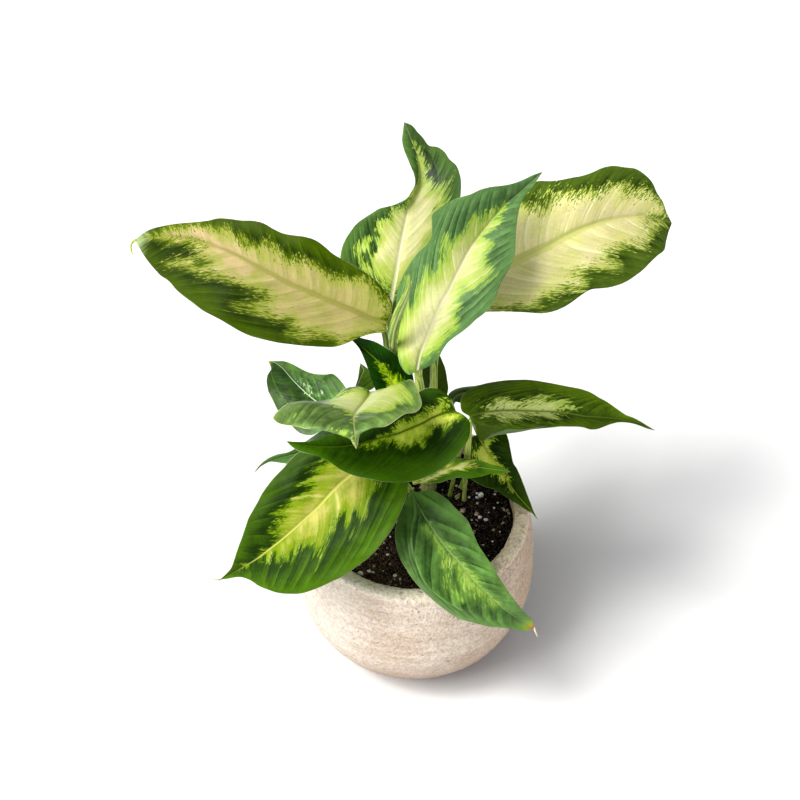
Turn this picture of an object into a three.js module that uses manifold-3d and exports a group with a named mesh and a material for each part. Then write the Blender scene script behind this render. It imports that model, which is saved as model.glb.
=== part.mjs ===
// Potted dieffenbachia: a spreading, variegated foliage plant in a round
// cement pot. Millimetres, +Z up. The origin is the centre of the pot's
// flat base. Every leaf grew as one piece (stalk and blade), so it is one
// solid; the canes, the soil and the pot are solids of their own.
import * as THREE from 'three';
import { mergeVertices } from 'three/addons/utils/BufferGeometryUtils.js';
import Module from 'manifold-3d';

// ---- driving dimensions -------------------------------------------------
const POT_HEIGHT = 117.5;       // top of the rounded lip
const POT_BELLY_R = 80;         // widest radius
const POT_BELLY_Z = 62;         // height of the widest point
const POT_FOOT_R = 42;          // flat that the pot stands on
const POT_LIP_OUTER_R = 75.2;   // outside of the lip
const POT_LIP_INNER_R = 65;     // mouth
const POT_WALL = 10;            // wall and floor thickness
const POT_SIDES = 48;           // facets round the pot
const SOIL_Z = 107;             // soil level at the middle
const SOIL_FALL = 2;            // how much lower the soil is at the wall
const CANE_FOOT_Z = 98;         // how deep the canes stand in the soil
const GAP = 0.3;                // clearance between touching pieces
const BLADE_T = 1.3;            // blade thickness at the midrib
const BLADE_CROWN = 0.035;      // crowning of each half blade, per width
const STALK_SIDES = 6;
const CANE_SIDES = 10;

// Leaf blades: ribs run from the blade's base to its tip. across = 0 is the
// midrib, +1 and -1 are the two margins, and a rib between them is a crease.
// stalk: centre line and radius, from the blade's base down to the cane.
const LEAVES = {
  leaf_left_large: {
   ribs: [
    { across: -1, line: [[-17.5, 27, 259.9], [-15.9, 34.3, 272.7], [-25.3, 41.7, 282.4], [-38.2, 47.8, 288.7], [-51.8, 53.6, 293.7], [-64.6, 60.2, 298.8], [-80, 63.4, 299.8], [-94.1, 70.2, 302.7], [-110.1, 74.5, 300.7], [-126.1, 78.5, 296.3], [-142.7, 82.8, 290.5], [-159.5, 86.8, 283.1], [-174.4, 87.5, 271.9]] },
    { across: 0, line: [[-17.5, 27, 259.9], [-30.4, 29.3, 263.6], [-42.8, 33, 267.5], [-55.4, 37.1, 270.8], [-67.9, 41.7, 273.8], [-80.3, 46.6, 276.8], [-92.4, 52.3, 280.3], [-104.5, 58.7, 283.2], [-117.2, 65.5, 284.6], [-130.7, 72.3, 284.3], [-144.9, 78.5, 282.1], [-159.6, 83.7, 277.9], [-174.4, 87.5, 271.9]] },
    { across: 1, line: [[-17.5, 27, 259.9], [-26.8, 18.7, 259.1], [-40.9, 13.3, 257], [-55.6, 11.1, 255.5], [-70.7, 12.2, 255.9], [-85.8, 14.6, 256.6], [-100.6, 18.3, 258.1], [-114.1, 25.5, 261.3], [-128, 33.8, 263], [-141.1, 44.6, 264.9], [-153, 57.5, 267.1], [-164.9, 71.4, 268.9], [-174.4, 87.5, 271.9]] },
   ],
   stalk: [[-17.5, 27, 259.9, 2.2], [-18.4, 27.4, 244.2, 2.3], [-15.6, 26.9, 228.9, 2.4], [-12.6, 26.3, 213.5, 2.5], [-9.6, 25.7, 198.1, 2.5], [-6.6, 25.1, 182.7, 2.6], [-3.5, 24.5, 167.4, 2.7], [-0.5, 23.9, 152, 2.8]],
  },
  leaf_top_back: {
   ribs: [
    { across: -1, line: [[-17.1, 48, 242.9], [-7.5, 51.5, 251.2], [0.7, 56.1, 260.2], [7.5, 61.7, 269.6], [13.5, 68.1, 278.9], [18.6, 74.9, 288.1], [23.1, 82, 297.5], [27, 89.5, 306.5], [27.2, 99.4, 313.9], [20.5, 110.4, 317.7], [11.4, 117.6, 321.3], [2.4, 123.5, 326.8], [-7.2, 127.3, 332.9]] },
    { across: 0, line: [[-17.1, 48, 242.9], [-15.2, 54.2, 251.3], [-13.3, 60.3, 259.6], [-11.5, 66.4, 267.9], [-9.8, 72.5, 276.2], [-7.8, 78.6, 284.4], [-5.8, 84.6, 292.6], [-2.9, 90.7, 300.3], [0.7, 97.1, 307.4], [2.3, 104.3, 314.4], [0.3, 111.9, 321], [-3.5, 119.6, 326.9], [-7.2, 127.3, 332.9]] },
    { across: 1, line: [[-17.1, 48, 242.9], [-28.8, 51.1, 248.8], [-38.5, 55.8, 256.6], [-44.9, 62.1, 266.6], [-46, 69.2, 277.8], [-40.8, 75.4, 288.4], [-31.7, 80, 296.9], [-20.3, 83.5, 302.5], [-7.8, 85.7, 304.8], [-0.6, 93.1, 312.6], [-3.9, 102.4, 320.7], [-8.2, 114, 327], [-7.2, 127.3, 332.9]] },
   ],
   stalk: [[-17.1, 48, 242.9, 2], [-15.1, 45.3, 230.9, 2.1], [-12.1, 42.6, 219, 2.2], [-8.9, 40, 207.2, 2.3], [-5.5, 37.5, 195.3, 2.3], [-2.2, 34.9, 183.6, 2.4], [1.3, 32.3, 171.8, 2.5], [4.7, 29.8, 160, 2.6]],
  },
  leaf_centre: {
   ribs: [
    { across: -1, line: [[0.5, -0, 246.4], [11.3, 0.9, 253.6], [18, 5.8, 263.2], [27.3, 10.3, 269.9], [36.6, 15.3, 276.1], [45.1, 20.9, 282.5], [49.6, 28.6, 290.7], [55.7, 36.5, 297.8], [58.7, 46.2, 304.7], [59.5, 57.2, 311.2], [61.9, 68.8, 316.9], [68.6, 79.9, 320.9], [76.3, 91.2, 324.3]] },
    { across: 0, line: [[0.5, -0, 246.4], [2.7, 7, 256.1], [7.4, 13.8, 264.9], [12.1, 21, 273.3], [17.5, 28, 281.2], [22.9, 35.3, 288.9], [28.1, 42.6, 296.6], [34.1, 50.1, 303.6], [41.4, 57.9, 309.3], [49.1, 66.1, 314.2], [57.8, 74.3, 318.1], [66.9, 82.7, 321.4], [76.3, 91.2, 324.3]] },
    { across: 1, line: [[0.5, -0, 246.4], [-9.9, 2.5, 250.1], [-11.1, 18.3, 255.7], [-11.7, 30.6, 265.1], [-10.9, 38.7, 278.5], [-4.1, 44.2, 292.3], [5.6, 47.9, 304.6], [8.6, 54.3, 317.8], [17.8, 62.6, 324.3], [31.9, 68.5, 326.3], [46.3, 74.9, 326.8], [61.5, 81.4, 325.1], [76.3, 91.2, 324.3]] },
   ],
   stalk: [[0.5, 0, 246.4, 2.5], [1.5, 3.3, 233.7, 2.5], [3.5, 5.2, 220.8, 2.6], [4.7, 7.3, 207.8, 2.6], [5.9, 9.3, 194.9, 2.7], [7.1, 11.3, 181.9, 2.7], [8.3, 13.3, 169, 2.8], [9.6, 15.3, 156, 2.8]],
  },
  leaf_right_large: {
   ribs: [
    { across: -1, line: [[27, 52, 263.2], [33.2, 41.3, 258.2], [46.1, 38.7, 257.7], [59.5, 38.4, 258], [72.9, 38.1, 257.3], [86.1, 39.9, 257.9], [97.8, 45.7, 261.7], [109.6, 51.8, 264.3], [123.4, 56.3, 262.8], [136, 65.1, 262.8], [147, 77.2, 264], [156.8, 90.9, 265.3], [161.8, 107.1, 268.2]] },
    { across: 0, line: [[27, 52, 263.2], [36.8, 55.9, 268.3], [47.4, 59.3, 271.6], [57.9, 63.5, 274.8], [68.5, 67.9, 277.5], [79.3, 72.4, 279.8], [89.7, 77.7, 282.6], [100.4, 83.3, 284.6], [111.9, 89, 284.7], [123.9, 94.5, 283.1], [136.5, 100, 280.1], [149.2, 104.3, 275.1], [161.8, 107.1, 268.2]] },
    { across: 1, line: [[27, 52, 263.2], [27, 61, 276.4], [32.4, 70.6, 287.7], [40.9, 80, 297.1], [52, 88.8, 304.5], [66, 95.3, 309], [81.3, 98.8, 310.2], [97.3, 102.7, 310.3], [112.7, 109.7, 310.6], [129.2, 115.4, 307.2], [144.5, 116.4, 298.2], [154, 111.9, 283.8], [161.8, 107.1, 268.2]] },
   ],
   stalk: [[27, 52, 263.2, 2.2], [22.2, 48.7, 247.4, 2.3], [17.4, 45.4, 231.6, 2.3], [11.7, 42, 216, 2.4], [11.8, 38.6, 199.6, 2.5], [11.9, 35.2, 183, 2.6], [12.1, 31.8, 166.5, 2.6], [12.3, 28.4, 150, 2.7]],
  },
  leaf_left_mid: {
   ribs: [
    { across: -1, line: [[-45.9, 8, 192.8], [-40.5, 11.4, 200.9], [-41.6, 18.4, 206.7], [-47.2, 26.9, 209.2], [-55.5, 32.5, 208.8], [-65.3, 36, 205.6], [-74.6, 43.8, 202.9], [-84.2, 53, 198.8], [-94.8, 59.6, 191.8]] },
    { across: 0, line: [[-45.9, 8, 192.8], [-52, 13.6, 193.3], [-58.3, 19.1, 193.7], [-64.6, 24.7, 194.1], [-70.5, 30.7, 194.8], [-76.1, 37.4, 195.4], [-81.5, 45.1, 195.4], [-87.3, 53.2, 194.6], [-94.8, 59.6, 191.8]] },
    { across: 1, line: [[-45.9, 8, 192.8], [-54.4, 3.5, 189.7], [-64.1, 1.2, 186.4], [-74, 5.2, 185.2], [-81.9, 13.3, 186.8], [-88.4, 22.9, 188.6], [-93.3, 34.5, 189.9], [-94.9, 47.4, 191.2], [-94.8, 59.6, 191.8]] },
   ],
   stalk: [[-45.9, 8, 192.8, 1.8], [-38.5, 10.5, 184.6, 1.9], [-31, 13, 176.4, 1.9], [-23.9, 15.7, 167.9, 2], [-17.2, 18.7, 159.3, 2.1], [-10.5, 21.6, 150.6, 2.2], [-3.8, 24.6, 141.8, 2.2], [2.7, 27.4, 133, 2.3]],
  },
  leaf_front_wavy: {
   ribs: [
    { across: -1, line: [[-27.7, -8, 237], [-35.7, -9.5, 243], [-43.7, -16.2, 247.2], [-50.2, -26, 250], [-58.1, -33.5, 255.9], [-65.7, -42.8, 262.4], [-73, -49.4, 272], [-79.4, -59.4, 276.8], [-78.5, -70, 279.5], [-70.1, -75, 282.5], [-62, -78.5, 283.7], [-53.8, -79.5, 284.1], [-46, -81, 283], [-38.2, -81.9, 281.3], [-34.1, -85.8, 275.1]] },
    { across: 0, line: [[-27.7, -8, 237], [-28.5, -15.7, 241.8], [-29.8, -23.5, 247.1], [-31.1, -31.4, 252.6], [-32.5, -39.5, 258.6], [-33.9, -48.2, 265.4], [-35, -56.9, 272], [-35.7, -64.8, 277.5], [-35.4, -72.2, 282.1], [-35.1, -77.2, 284], [-34.8, -80.7, 284.3], [-34.5, -82.8, 283], [-34.4, -84.5, 281.1], [-34.2, -85.6, 278.6], [-34.1, -85.8, 275.1]] },
    { across: 1, line: [[-27.7, -8, 237], [-20.9, -10.6, 242], [-14.1, -14.9, 248.4], [-8, -18.5, 256.6], [-2.2, -24.3, 264.1], [0.9, -36, 268.5], [2.8, -48.5, 272.9], [0.2, -59.5, 276.9], [-6.1, -66.6, 282.7], [-11.6, -72.6, 284.8], [-16.9, -77.3, 284.9], [-23.2, -78.3, 285.2], [-29.3, -79.1, 284.8], [-32.5, -82.6, 280.7], [-34.1, -85.8, 275.1]] },
   ],
   stalk: [[-27.7, -8, 237, 2], [-23.7, -3.9, 223.2, 2.1], [-19.6, 0.3, 209.3, 2.2], [-15.6, 4.4, 195.5, 2.3], [-11.6, 8.4, 181.6, 2.3], [-7.6, 12.4, 167.8, 2.4], [-3.5, 16.4, 153.9, 2.5], [0.5, 20.4, 140, 2.6]],
  },
  leaf_front_dark: {
   ribs: [
    { across: -1, line: [[23.3, -30, 244], [19.4, -23.3, 249.4], [11.2, -19.5, 252.1], [2.2, -20.9, 251.4], [-6.3, -24.8, 249], [-14.3, -29.2, 246.2], [-22.5, -33.3, 243.3], [-30.8, -36.7, 240.3], [-39.7, -38.6, 237.2], [-49.1, -38.9, 234], [-58, -39.9, 229.6], [-67.7, -38.2, 225.9], [-77.6, -34.9, 222.6]] },
    { across: 0, line: [[23.3, -30, 244], [14.8, -31, 242.3], [6.9, -33.4, 239.8], [-0.9, -36.1, 237.1], [-8.9, -38.4, 234.7], [-17.2, -39.8, 232.7], [-25.6, -41.2, 230.7], [-34, -42.5, 228.6], [-42.6, -42.7, 226.8], [-51.4, -41.9, 225.3], [-60.2, -40.6, 223.9], [-68.9, -37.8, 223.3], [-77.6, -34.9, 222.6]] },
    { across: 1, line: [[23.3, -30, 244], [31.6, -38.8, 242.5], [28.8, -49.8, 237.8], [21.4, -58.3, 233.5], [11.9, -64.5, 229.6], [1, -68.1, 226.9], [-10.7, -69, 225.4], [-22.5, -67.4, 224.9], [-34.3, -64.1, 224.3], [-45.3, -57.9, 224.4], [-55.7, -50, 224.7], [-67.4, -44, 223], [-77.6, -34.9, 222.6]] },
   ],
   stalk: [[23.3, -30, 244, 2], [24.3, -22.1, 225.7, 2], [25.2, -14.3, 207.3, 2.1], [26.1, -6.5, 189, 2.1], [26.9, 1.3, 170.6, 2.1], [26.5, 6.4, 151.3, 2.1], [24.9, 9.6, 131.7, 2.2], [23.2, 12.8, 112, 2.2]],
  },
  leaf_lower_left: {
   ribs: [
    { across: -1, line: [[-17, -18, 202], [-28.7, -14.6, 204.8], [-41.3, -14.2, 204.4], [-53.7, -15.7, 202], [-65.5, -18.4, 198.2], [-76.1, -23.2, 193], [-84.5, -30.1, 186.6], [-92.7, -36.8, 179.5], [-99.2, -43.8, 170.7], [-104.8, -50.6, 160.7], [-109.4, -57.2, 149.5], [-114, -63.3, 137.5], [-123, -66.2, 125.6]] },
    { across: 0, line: [[-17, -18, 202], [-25.4, -23.7, 197.3], [-33.8, -29.2, 192.3], [-42.2, -34.4, 187], [-50.4, -39.6, 181.4], [-58, -45.4, 175.5], [-66.2, -50.6, 169.7], [-74.7, -55.3, 163.5], [-83.3, -59.2, 156.5], [-92.5, -62.2, 149.1], [-102.1, -64.4, 141.4], [-112.3, -65.7, 133.5], [-123, -66.2, 125.6]] },
    { across: 1, line: [[-17, -18, 202], [-4.8, -29.3, 201.8], [-4, -43.4, 195.5], [-7.6, -56.2, 188.1], [-13.8, -67.5, 180.1], [-22.7, -76.9, 172.2], [-34.4, -83.6, 165.1], [-47.1, -88.7, 157.7], [-61.2, -90.9, 150.1], [-76.5, -89.2, 142.9], [-92.1, -81.9, 138], [-106.5, -70.7, 134.9], [-123, -66.2, 125.6]] },
   ],
   stalk: [[-17, -18, 202, 2.1], [-16.8, -12.3, 190.1, 2.1], [-16.5, -6.6, 178.1, 2.2], [-16.3, -0.9, 166.1, 2.2], [-16, 4.8, 154.1, 2.3], [-15.8, 10.4, 142.1, 2.3], [-15.6, 16, 130, 2.4], [-15.4, 21.6, 118, 2.4]],
  },
  leaf_lower_right: {
   ribs: [
    { across: -1, line: [[-3.5, -28, 169.9], [-8, -39.2, 166], [-12, -50.3, 161.5], [-12.3, -61, 155.9], [-8.4, -70.4, 149.5], [-2, -78.1, 142.8], [6.3, -84.2, 136.3], [15.4, -89.2, 129.7], [25.6, -92.7, 123.1], [37.3, -92.5, 116.5], [49.6, -90.4, 109.4], [62.3, -87, 101.9], [74.4, -81.2, 95.2]] },
    { across: -0.5, line: [[-3.5, -28, 169.9], [-0, -39, 166.6], [-0.3, -50, 163.3], [-1.7, -60.7, 159.1], [-0.1, -70.1, 153.5], [3.8, -78.3, 147.1], [10, -84.8, 140.7], [19, -88.6, 135], [29.1, -90, 128.6], [39.9, -88.7, 120.5], [51.1, -87.1, 112.4], [62.5, -84.9, 103.9], [74.4, -81.2, 95.2]] },
    { across: 0, line: [[-3.5, -28, 169.9], [0.4, -36.7, 166.4], [5.2, -44.5, 162.6], [10.6, -51.4, 158.3], [16.2, -57.6, 153.5], [22.3, -63.1, 148.2], [28.9, -67.9, 142.8], [35, -73, 136.9], [41.8, -77.1, 130.6], [49, -79.9, 123], [56.7, -81.6, 114.3], [65.2, -81.9, 105], [74.4, -81.2, 95.2]] },
    { across: 1, line: [[-3.5, -28, 169.9], [5.8, -30.8, 170.7], [15.4, -33.6, 170.5], [23, -39.8, 167.4], [30.3, -45.6, 163.1], [35.3, -52.5, 157.7], [39.3, -59.8, 151.8], [45.1, -65.7, 145.7], [50.4, -71.4, 138.6], [56.3, -75.4, 129.7], [62.6, -78.2, 119.2], [69.9, -79.5, 107.6], [74.4, -81.2, 95.2]] },
   ],
   stalk: [[-3.5, -28, 169.9, 1.9], [-4.6, -21.3, 163, 1.9], [-5.7, -14.6, 156.2, 2], [-6.1, -7.8, 149.4, 2], [-6.5, -1, 142.6, 2.1], [-6.8, 5.8, 135.7, 2.1], [-7.1, 12.6, 128.9, 2.2], [-7.5, 19.4, 122, 2.2]],
  },
  leaf_right_mid: {
   ribs: [
    { across: -1, line: [[32.8, 0, 205.7], [36.6, -7, 198.6], [43.4, -10.7, 196.1], [53.5, -8, 197.5], [64, -7.8, 199.5], [74.4, -7.5, 202.3], [84.9, -7.2, 203.5], [95.7, -5.7, 202.7], [106.2, -7, 201.6], [116.9, -3.4, 199.8], [127.9, 2.3, 197.3], [138.7, 2.3, 194.4], [149.1, 1, 191]] },
    { across: -0.8, line: [[32.8, 0, 205.7], [40.9, -6.8, 205.8], [50.2, -10.3, 205.8], [59.9, -11.3, 205.8], [69.8, -9.9, 205.1], [79.7, -7, 204], [89.7, -4.9, 202.9], [99.7, -4, 201.8], [109.3, -4.8, 200.5], [119.4, -0.1, 198.8], [129.7, 3.2, 196.5], [139.7, 3.2, 193.9], [149.1, 1, 191]] },
    { across: 0, line: [[32.8, 0, 205.7], [42.4, 3.9, 204.6], [52.2, 6.3, 203.6], [62.1, 7.3, 202.6], [71.9, 7.8, 201.6], [81.8, 8.2, 200.6], [91.6, 8, 199.6], [101.2, 6.7, 198.5], [111, 6.4, 197.2], [120.9, 6.7, 195.7], [130.8, 6.5, 194.1], [140.5, 5.5, 192.5], [149.2, 1.3, 191]] },
    { across: 1, line: [[32.8, 0, 205.7], [27.6, 11.6, 206.9], [36.3, 22.1, 206.7], [47.9, 28, 206.1], [60.2, 30.7, 205.4], [72.5, 31.2, 204.6], [84.7, 30.2, 203.9], [96.5, 27.4, 202.8], [108.1, 24.2, 201.3], [118.5, 18.1, 199.4], [128.2, 11.1, 197], [139, 6.7, 194.2], [149.1, 1, 191]] },
   ],
   stalk: [[32.8, 0, 205.7, 2], [33.2, 1.9, 192, 2], [33.4, 3.7, 178.4, 2.1], [33.3, 5.4, 164.8, 2.1], [33.1, 7, 151.1, 2.1], [32.6, 8.5, 137.4, 2.1], [32.7, 9.6, 123.7, 2.2], [32.6, 10.5, 110, 2.2]],
  },
  leaf_right_low: {
   ribs: [
    { across: -1, line: [[41, 31, 152.9], [33.7, 27, 146.9], [32.5, 19.7, 139.3], [35.7, 9.9, 135.3], [43.8, 0.9, 136.7], [53.5, -3.2, 135.7], [62.4, -6.8, 130.7], [71.4, -9.8, 125.2], [79.8, -12.5, 118]] },
    { across: 0, line: [[41, 31, 152.9], [44.8, 25.4, 147.7], [49.6, 20.4, 142.7], [54.7, 13.8, 140.1], [58.8, 5.2, 138.9], [63.4, -1.1, 135.5], [68.7, -5.6, 130.5], [74.5, -9.3, 125], [79.8, -12.5, 118]] },
    { across: 1, line: [[41, 31, 152.9], [50.6, 32.6, 155.1], [59.5, 30.5, 153.5], [61.9, 20.8, 150], [63.5, 9.9, 147.9], [68, 2.3, 143.5], [71.5, -3.9, 136.6], [75.3, -9, 128.1], [79.8, -12.5, 118]] },
   ],
   stalk: [[41, 31, 152.9, 1.4], [39.5, 29.4, 147, 1.5], [38.1, 27.8, 141.1, 1.5], [36.8, 26.3, 135, 1.6], [35.5, 24.8, 129, 1.7], [34.2, 23.3, 123, 1.8], [32.9, 21.8, 117, 1.8], [31.6, 20.3, 111, 1.9]],
  },
  leaf_small_right: {
   ribs: [
    { across: -1, line: [[-2.1, -12, 154.7], [5.8, -13.4, 156.7], [13.7, -14.1, 158], [21.3, -12.5, 159.4], [29, -11.3, 160], [36.8, -11.1, 159.3], [44.7, -8, 158.1], [52.7, -4.8, 155.8], [61, -1, 152.8]] },
    { across: 0, line: [[-2.1, -12, 154.7], [5.1, -8.9, 157], [12.5, -6.2, 158.7], [20.3, -4.1, 159.7], [28.3, -2.5, 160.3], [36.4, -2.3, 159.7], [44.5, -2.3, 158], [52.7, -1.8, 155.6], [61, -1, 152.8]] },
    { across: 1, line: [[-2.1, -12, 154.7], [4.5, -8.1, 158.7], [11.6, -4.3, 161.6], [19.3, -1.2, 163.6], [27.8, 0.2, 164.4], [36.4, 0.6, 163.7], [44.8, 0.1, 161.2], [53.2, -0.1, 157.6], [61, -1, 152.8]] },
   ],
   stalk: [[-2.1, -12, 154.7, 1.3], [-1, -8, 150.4, 1.4], [0, -3.9, 146, 1.4], [1.1, 0.1, 141.6, 1.5], [2.1, 4.1, 137.2, 1.6], [3.2, 8.1, 132.8, 1.7], [4.2, 12.1, 128.4, 1.7], [5.3, 16.1, 124, 1.8]],
  },
  leaf_under_left: {
   ribs: [
    { across: -1, line: [[-8.5, -2, 220.8], [-2.8, 2.2, 225.6], [-1.5, 7, 232.6], [-4.7, 11.3, 239.5], [-11.1, 12, 247.1], [-18, 13.4, 252.6], [-25.7, 18, 253.4], [-34, 23.4, 251.1], [-42.7, 30.3, 247]] },
    { across: 0, line: [[-8.5, -2, 220.8], [-11.5, 1.7, 225.8], [-14.7, 5.4, 230.6], [-18.2, 9.1, 235.3], [-22, 12.7, 239.6], [-26.7, 16.5, 242.6], [-31.8, 20.9, 244.6], [-37, 25.6, 246.2], [-42.7, 30.3, 247]] },
    { across: 1, line: [[-8.5, -2, 220.8], [-15.7, -1.1, 220.4], [-21.9, 1.4, 222.8], [-25.6, 4.9, 228], [-28, 8.7, 234], [-30.3, 13.1, 239.3], [-33.3, 18.3, 243.4], [-37.6, 24.1, 245.8], [-42.7, 30.3, 247]] },
   ],
   stalk: [[-8.5, -2, 220.8, 1.6], [-6.7, 0.6, 209.6, 1.7], [-4.9, 3.3, 198.3, 1.8], [-3.1, 5.9, 187.1, 1.9], [-1.3, 8.4, 175.8, 1.9], [0.5, 11, 164.5, 2], [2.4, 13.5, 153.3, 2.1], [4.2, 16, 142, 2.2]],
  },
  leaf_left_tip: {
   ribs: [
    { across: -1, line: [[-23.7, 22, 172.1], [-32.5, 29.1, 173.7], [-44, 29, 171], [-54.9, 26.4, 167], [-64.9, 22.3, 162.2], [-74.5, 17.9, 156.6], [-85.4, 16.9, 150.8], [-96.6, 16.5, 144.3], [-104.8, 11.8, 136.4]] },
    { across: 0, line: [[-23.7, 22, 172.1], [-34.1, 21.2, 168.3], [-44.4, 20.1, 164.3], [-54.6, 18.7, 160.3], [-64.6, 16.6, 156], [-74.9, 15.5, 151.7], [-85.7, 15.9, 147.3], [-96.2, 15.6, 142.3], [-104.8, 11.8, 136.4]] },
    { across: 1, line: [[-23.7, 22, 172.1], [-31.2, 14, 168.2], [-40.1, 8.2, 164.1], [-50, 4.4, 160], [-60.6, 2.4, 155.8], [-72.3, 4.7, 152.1], [-84, 9.8, 148.5], [-95.8, 14.6, 143.8], [-104.8, 11.8, 136.4]] },
   ],
   stalk: [[-23.7, 22, 172.1, 1.5], [-22.5, 22, 166.1, 1.6], [-21.3, 22.1, 160.1, 1.6], [-20.1, 22.1, 154.1, 1.7], [-19, 22.3, 148.1, 1.8], [-17.8, 22.4, 142, 1.9], [-16.7, 22.6, 136, 1.9], [-15.5, 22.8, 130, 2]],
  },
  leaf_small_back_left: {
   ribs: [
    { across: -1, line: [[-40.4, 55, 165.2], [-36, 53.9, 167.1], [-31.7, 53.8, 169.1], [-27.7, 54.5, 171], [-24.9, 57.3, 173], [-26.3, 61.9, 174], [-28.8, 66.6, 174.3], [-32.1, 70.8, 174.1], [-35.8, 75.1, 173.4]] },
    { across: 0, line: [[-40.4, 55, 165.2], [-39.2, 57.3, 166.4], [-38, 59.6, 167.6], [-36.8, 62, 168.7], [-35.7, 64.4, 169.9], [-34.6, 66.9, 171.1], [-33.5, 69.3, 172.3], [-34.4, 72.1, 172.9], [-35.8, 75.1, 173.4]] },
    { across: 1, line: [[-40.4, 55, 165.2], [-39.6, 56.8, 166.9], [-38.8, 58.8, 168.4], [-38.1, 61, 169.7], [-37.5, 63.4, 170.9], [-37, 66, 171.8], [-36.7, 68.9, 172.5], [-36.2, 71.9, 173.1], [-35.8, 75.1, 173.4]] },
   ],
   stalk: [[-40.4, 55, 165.2, 1.2], [-35.1, 53.4, 159.8, 1.3], [-29.7, 51.9, 154.5, 1.4], [-24.4, 50.3, 149.2, 1.5], [-19, 48.7, 143.9, 1.6], [-13.6, 47.2, 138.6, 1.7], [-8.3, 45.6, 133.3, 1.8], [-2.9, 44, 128, 1.9]],
  },
  leaf_back_right: {
   ribs: [
    { across: -1, line: [[23.9, 42, 171.8], [32, 41.8, 169.6], [40.1, 40.1, 167.8], [48.7, 40.6, 165], [57.5, 46.1, 160.3], [66.5, 55.1, 153.6], [75.7, 67.5, 144.7], [85.1, 81.7, 134.3], [94.8, 96.8, 123.1]] },
    { across: 0, line: [[23.9, 42, 171.8], [30.4, 55.2, 165.3], [39, 58.9, 161.2], [47.8, 62.4, 157.1], [56.8, 66.4, 152.7], [65.9, 72.4, 147.1], [75.3, 79.7, 140], [84.9, 88, 131.8], [94.8, 96.8, 123.1]] },
    { across: 1, line: [[23.9, 42, 171.8], [24.2, 57.3, 165.7], [33.6, 67.4, 158.6], [43.6, 74.4, 152.6], [53.7, 80.7, 147], [64, 86.8, 141.1], [74.3, 91.2, 135], [84.6, 94.5, 128.9], [94.8, 96.8, 123.1]] },
   ],
   stalk: [[23.9, 42, 171.8, 1.7], [22, 42.3, 165.9, 1.8], [20.1, 42.7, 159.9, 1.8], [18.2, 43, 153.9, 1.9], [16.3, 43.2, 147.9, 2], [14.4, 43.5, 142, 2.1], [12.5, 43.8, 136, 2.1], [10.6, 44, 130, 2.2]],
  },
  leaf_back: {
   ribs: [
    { across: -1, line: [[14.1, 70, 207.9], [23, 70.4, 212.4], [29, 76.9, 217], [32.7, 86.2, 221], [33.9, 96.8, 224.5], [34.5, 109.7, 226.2], [34.5, 125.7, 225], [33.7, 144.3, 221.6], [32.1, 164.5, 216.9]] },
    { across: 0, line: [[14.1, 70, 207.9], [16.1, 77.1, 213.2], [18.1, 85.4, 217.4], [19.9, 94.7, 220.8], [21.8, 104.3, 223.8], [24, 115.8, 225.2], [26.5, 130.1, 224], [29.2, 146.6, 221], [32.1, 164.5, 216.9]] },
    { across: 1, line: [[14.1, 70, 207.9], [7.4, 73.4, 214.2], [5.9, 81.8, 219.7], [6.7, 91.7, 224.1], [9.4, 102.2, 227.5], [13.3, 114.5, 228.8], [18.1, 129.6, 227.1], [24.3, 146.8, 222.9], [32.1, 164.5, 216.9]] },
   ],
   stalk: [[14.1, 70, 207.9, 2], [13.5, 66.1, 199.5, 2], [13, 62.3, 191.2, 2.1], [12.5, 58.8, 182.7, 2.1], [11.9, 55.6, 174, 2.2], [11.1, 52.6, 165.4, 2.2], [10.4, 49.6, 156.7, 2.3], [9.7, 46.6, 148, 2.3]],
  },
  leaf_under_right: {
   ribs: [
    { across: -1, line: [[11.6, 62, 147.6], [18, 62.4, 149.7], [21.7, 64.5, 155.2], [22, 67, 161.7], [21, 69.9, 168.3], [19.1, 73, 174.1], [16.5, 76.6, 179.1], [13.6, 80.6, 183.5], [10, 84.8, 187]] },
    { across: 0, line: [[11.6, 62, 147.6], [11.9, 64.6, 152.9], [12.3, 67.2, 158.2], [12.6, 69.7, 163.5], [12.6, 72.3, 168.8], [12.2, 75, 173.9], [11.7, 78.1, 178.5], [10.9, 81.4, 182.8], [10, 84.8, 187]] },
    { across: 1, line: [[11.6, 62, 147.6], [6.6, 62.5, 152.5], [4, 64.2, 158.7], [2.6, 66.4, 164.9], [2.2, 69.1, 171], [3.1, 72.2, 176.3], [4.4, 76, 180.8], [7, 80.3, 184.2], [10, 84.8, 187]] },
   ],
   stalk: [[11.6, 62, 147.6, 1.6], [10.6, 60.2, 144.2, 1.7], [9.6, 58.4, 140.9, 1.7], [8.6, 56.6, 137.5, 1.8], [7.7, 54.9, 134.2, 1.9], [6.7, 53.1, 130.8, 2], [5.7, 51.4, 127.4, 2], [4.8, 49.8, 124, 2.1]],
  },
};

const ROLLED_LEAF = [[6, 22.6, 171.2, 3], [2.8, 21.7, 183.5, 2.9], [-0.4, 20.8, 195.8, 2.8], [-3.6, 19.9, 208.1, 2.7], [-6.9, 18.9, 220.4, 2.5], [-10.1, 18, 232.7, 2.4], [-13.3, 17, 245, 2.2], [-13.7, 14.6, 254.3, 2.6], [-13.6, 11.8, 263.5, 3.1], [-12.9, 10, 272.7, 3.3], [-11.1, 10.4, 282.1, 3.3], [-8.4, 11.7, 291.1, 2.8], [-5.1, 13.8, 299.9, 1.7], [-3.9, 16, 309.1, 0.5]];

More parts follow.
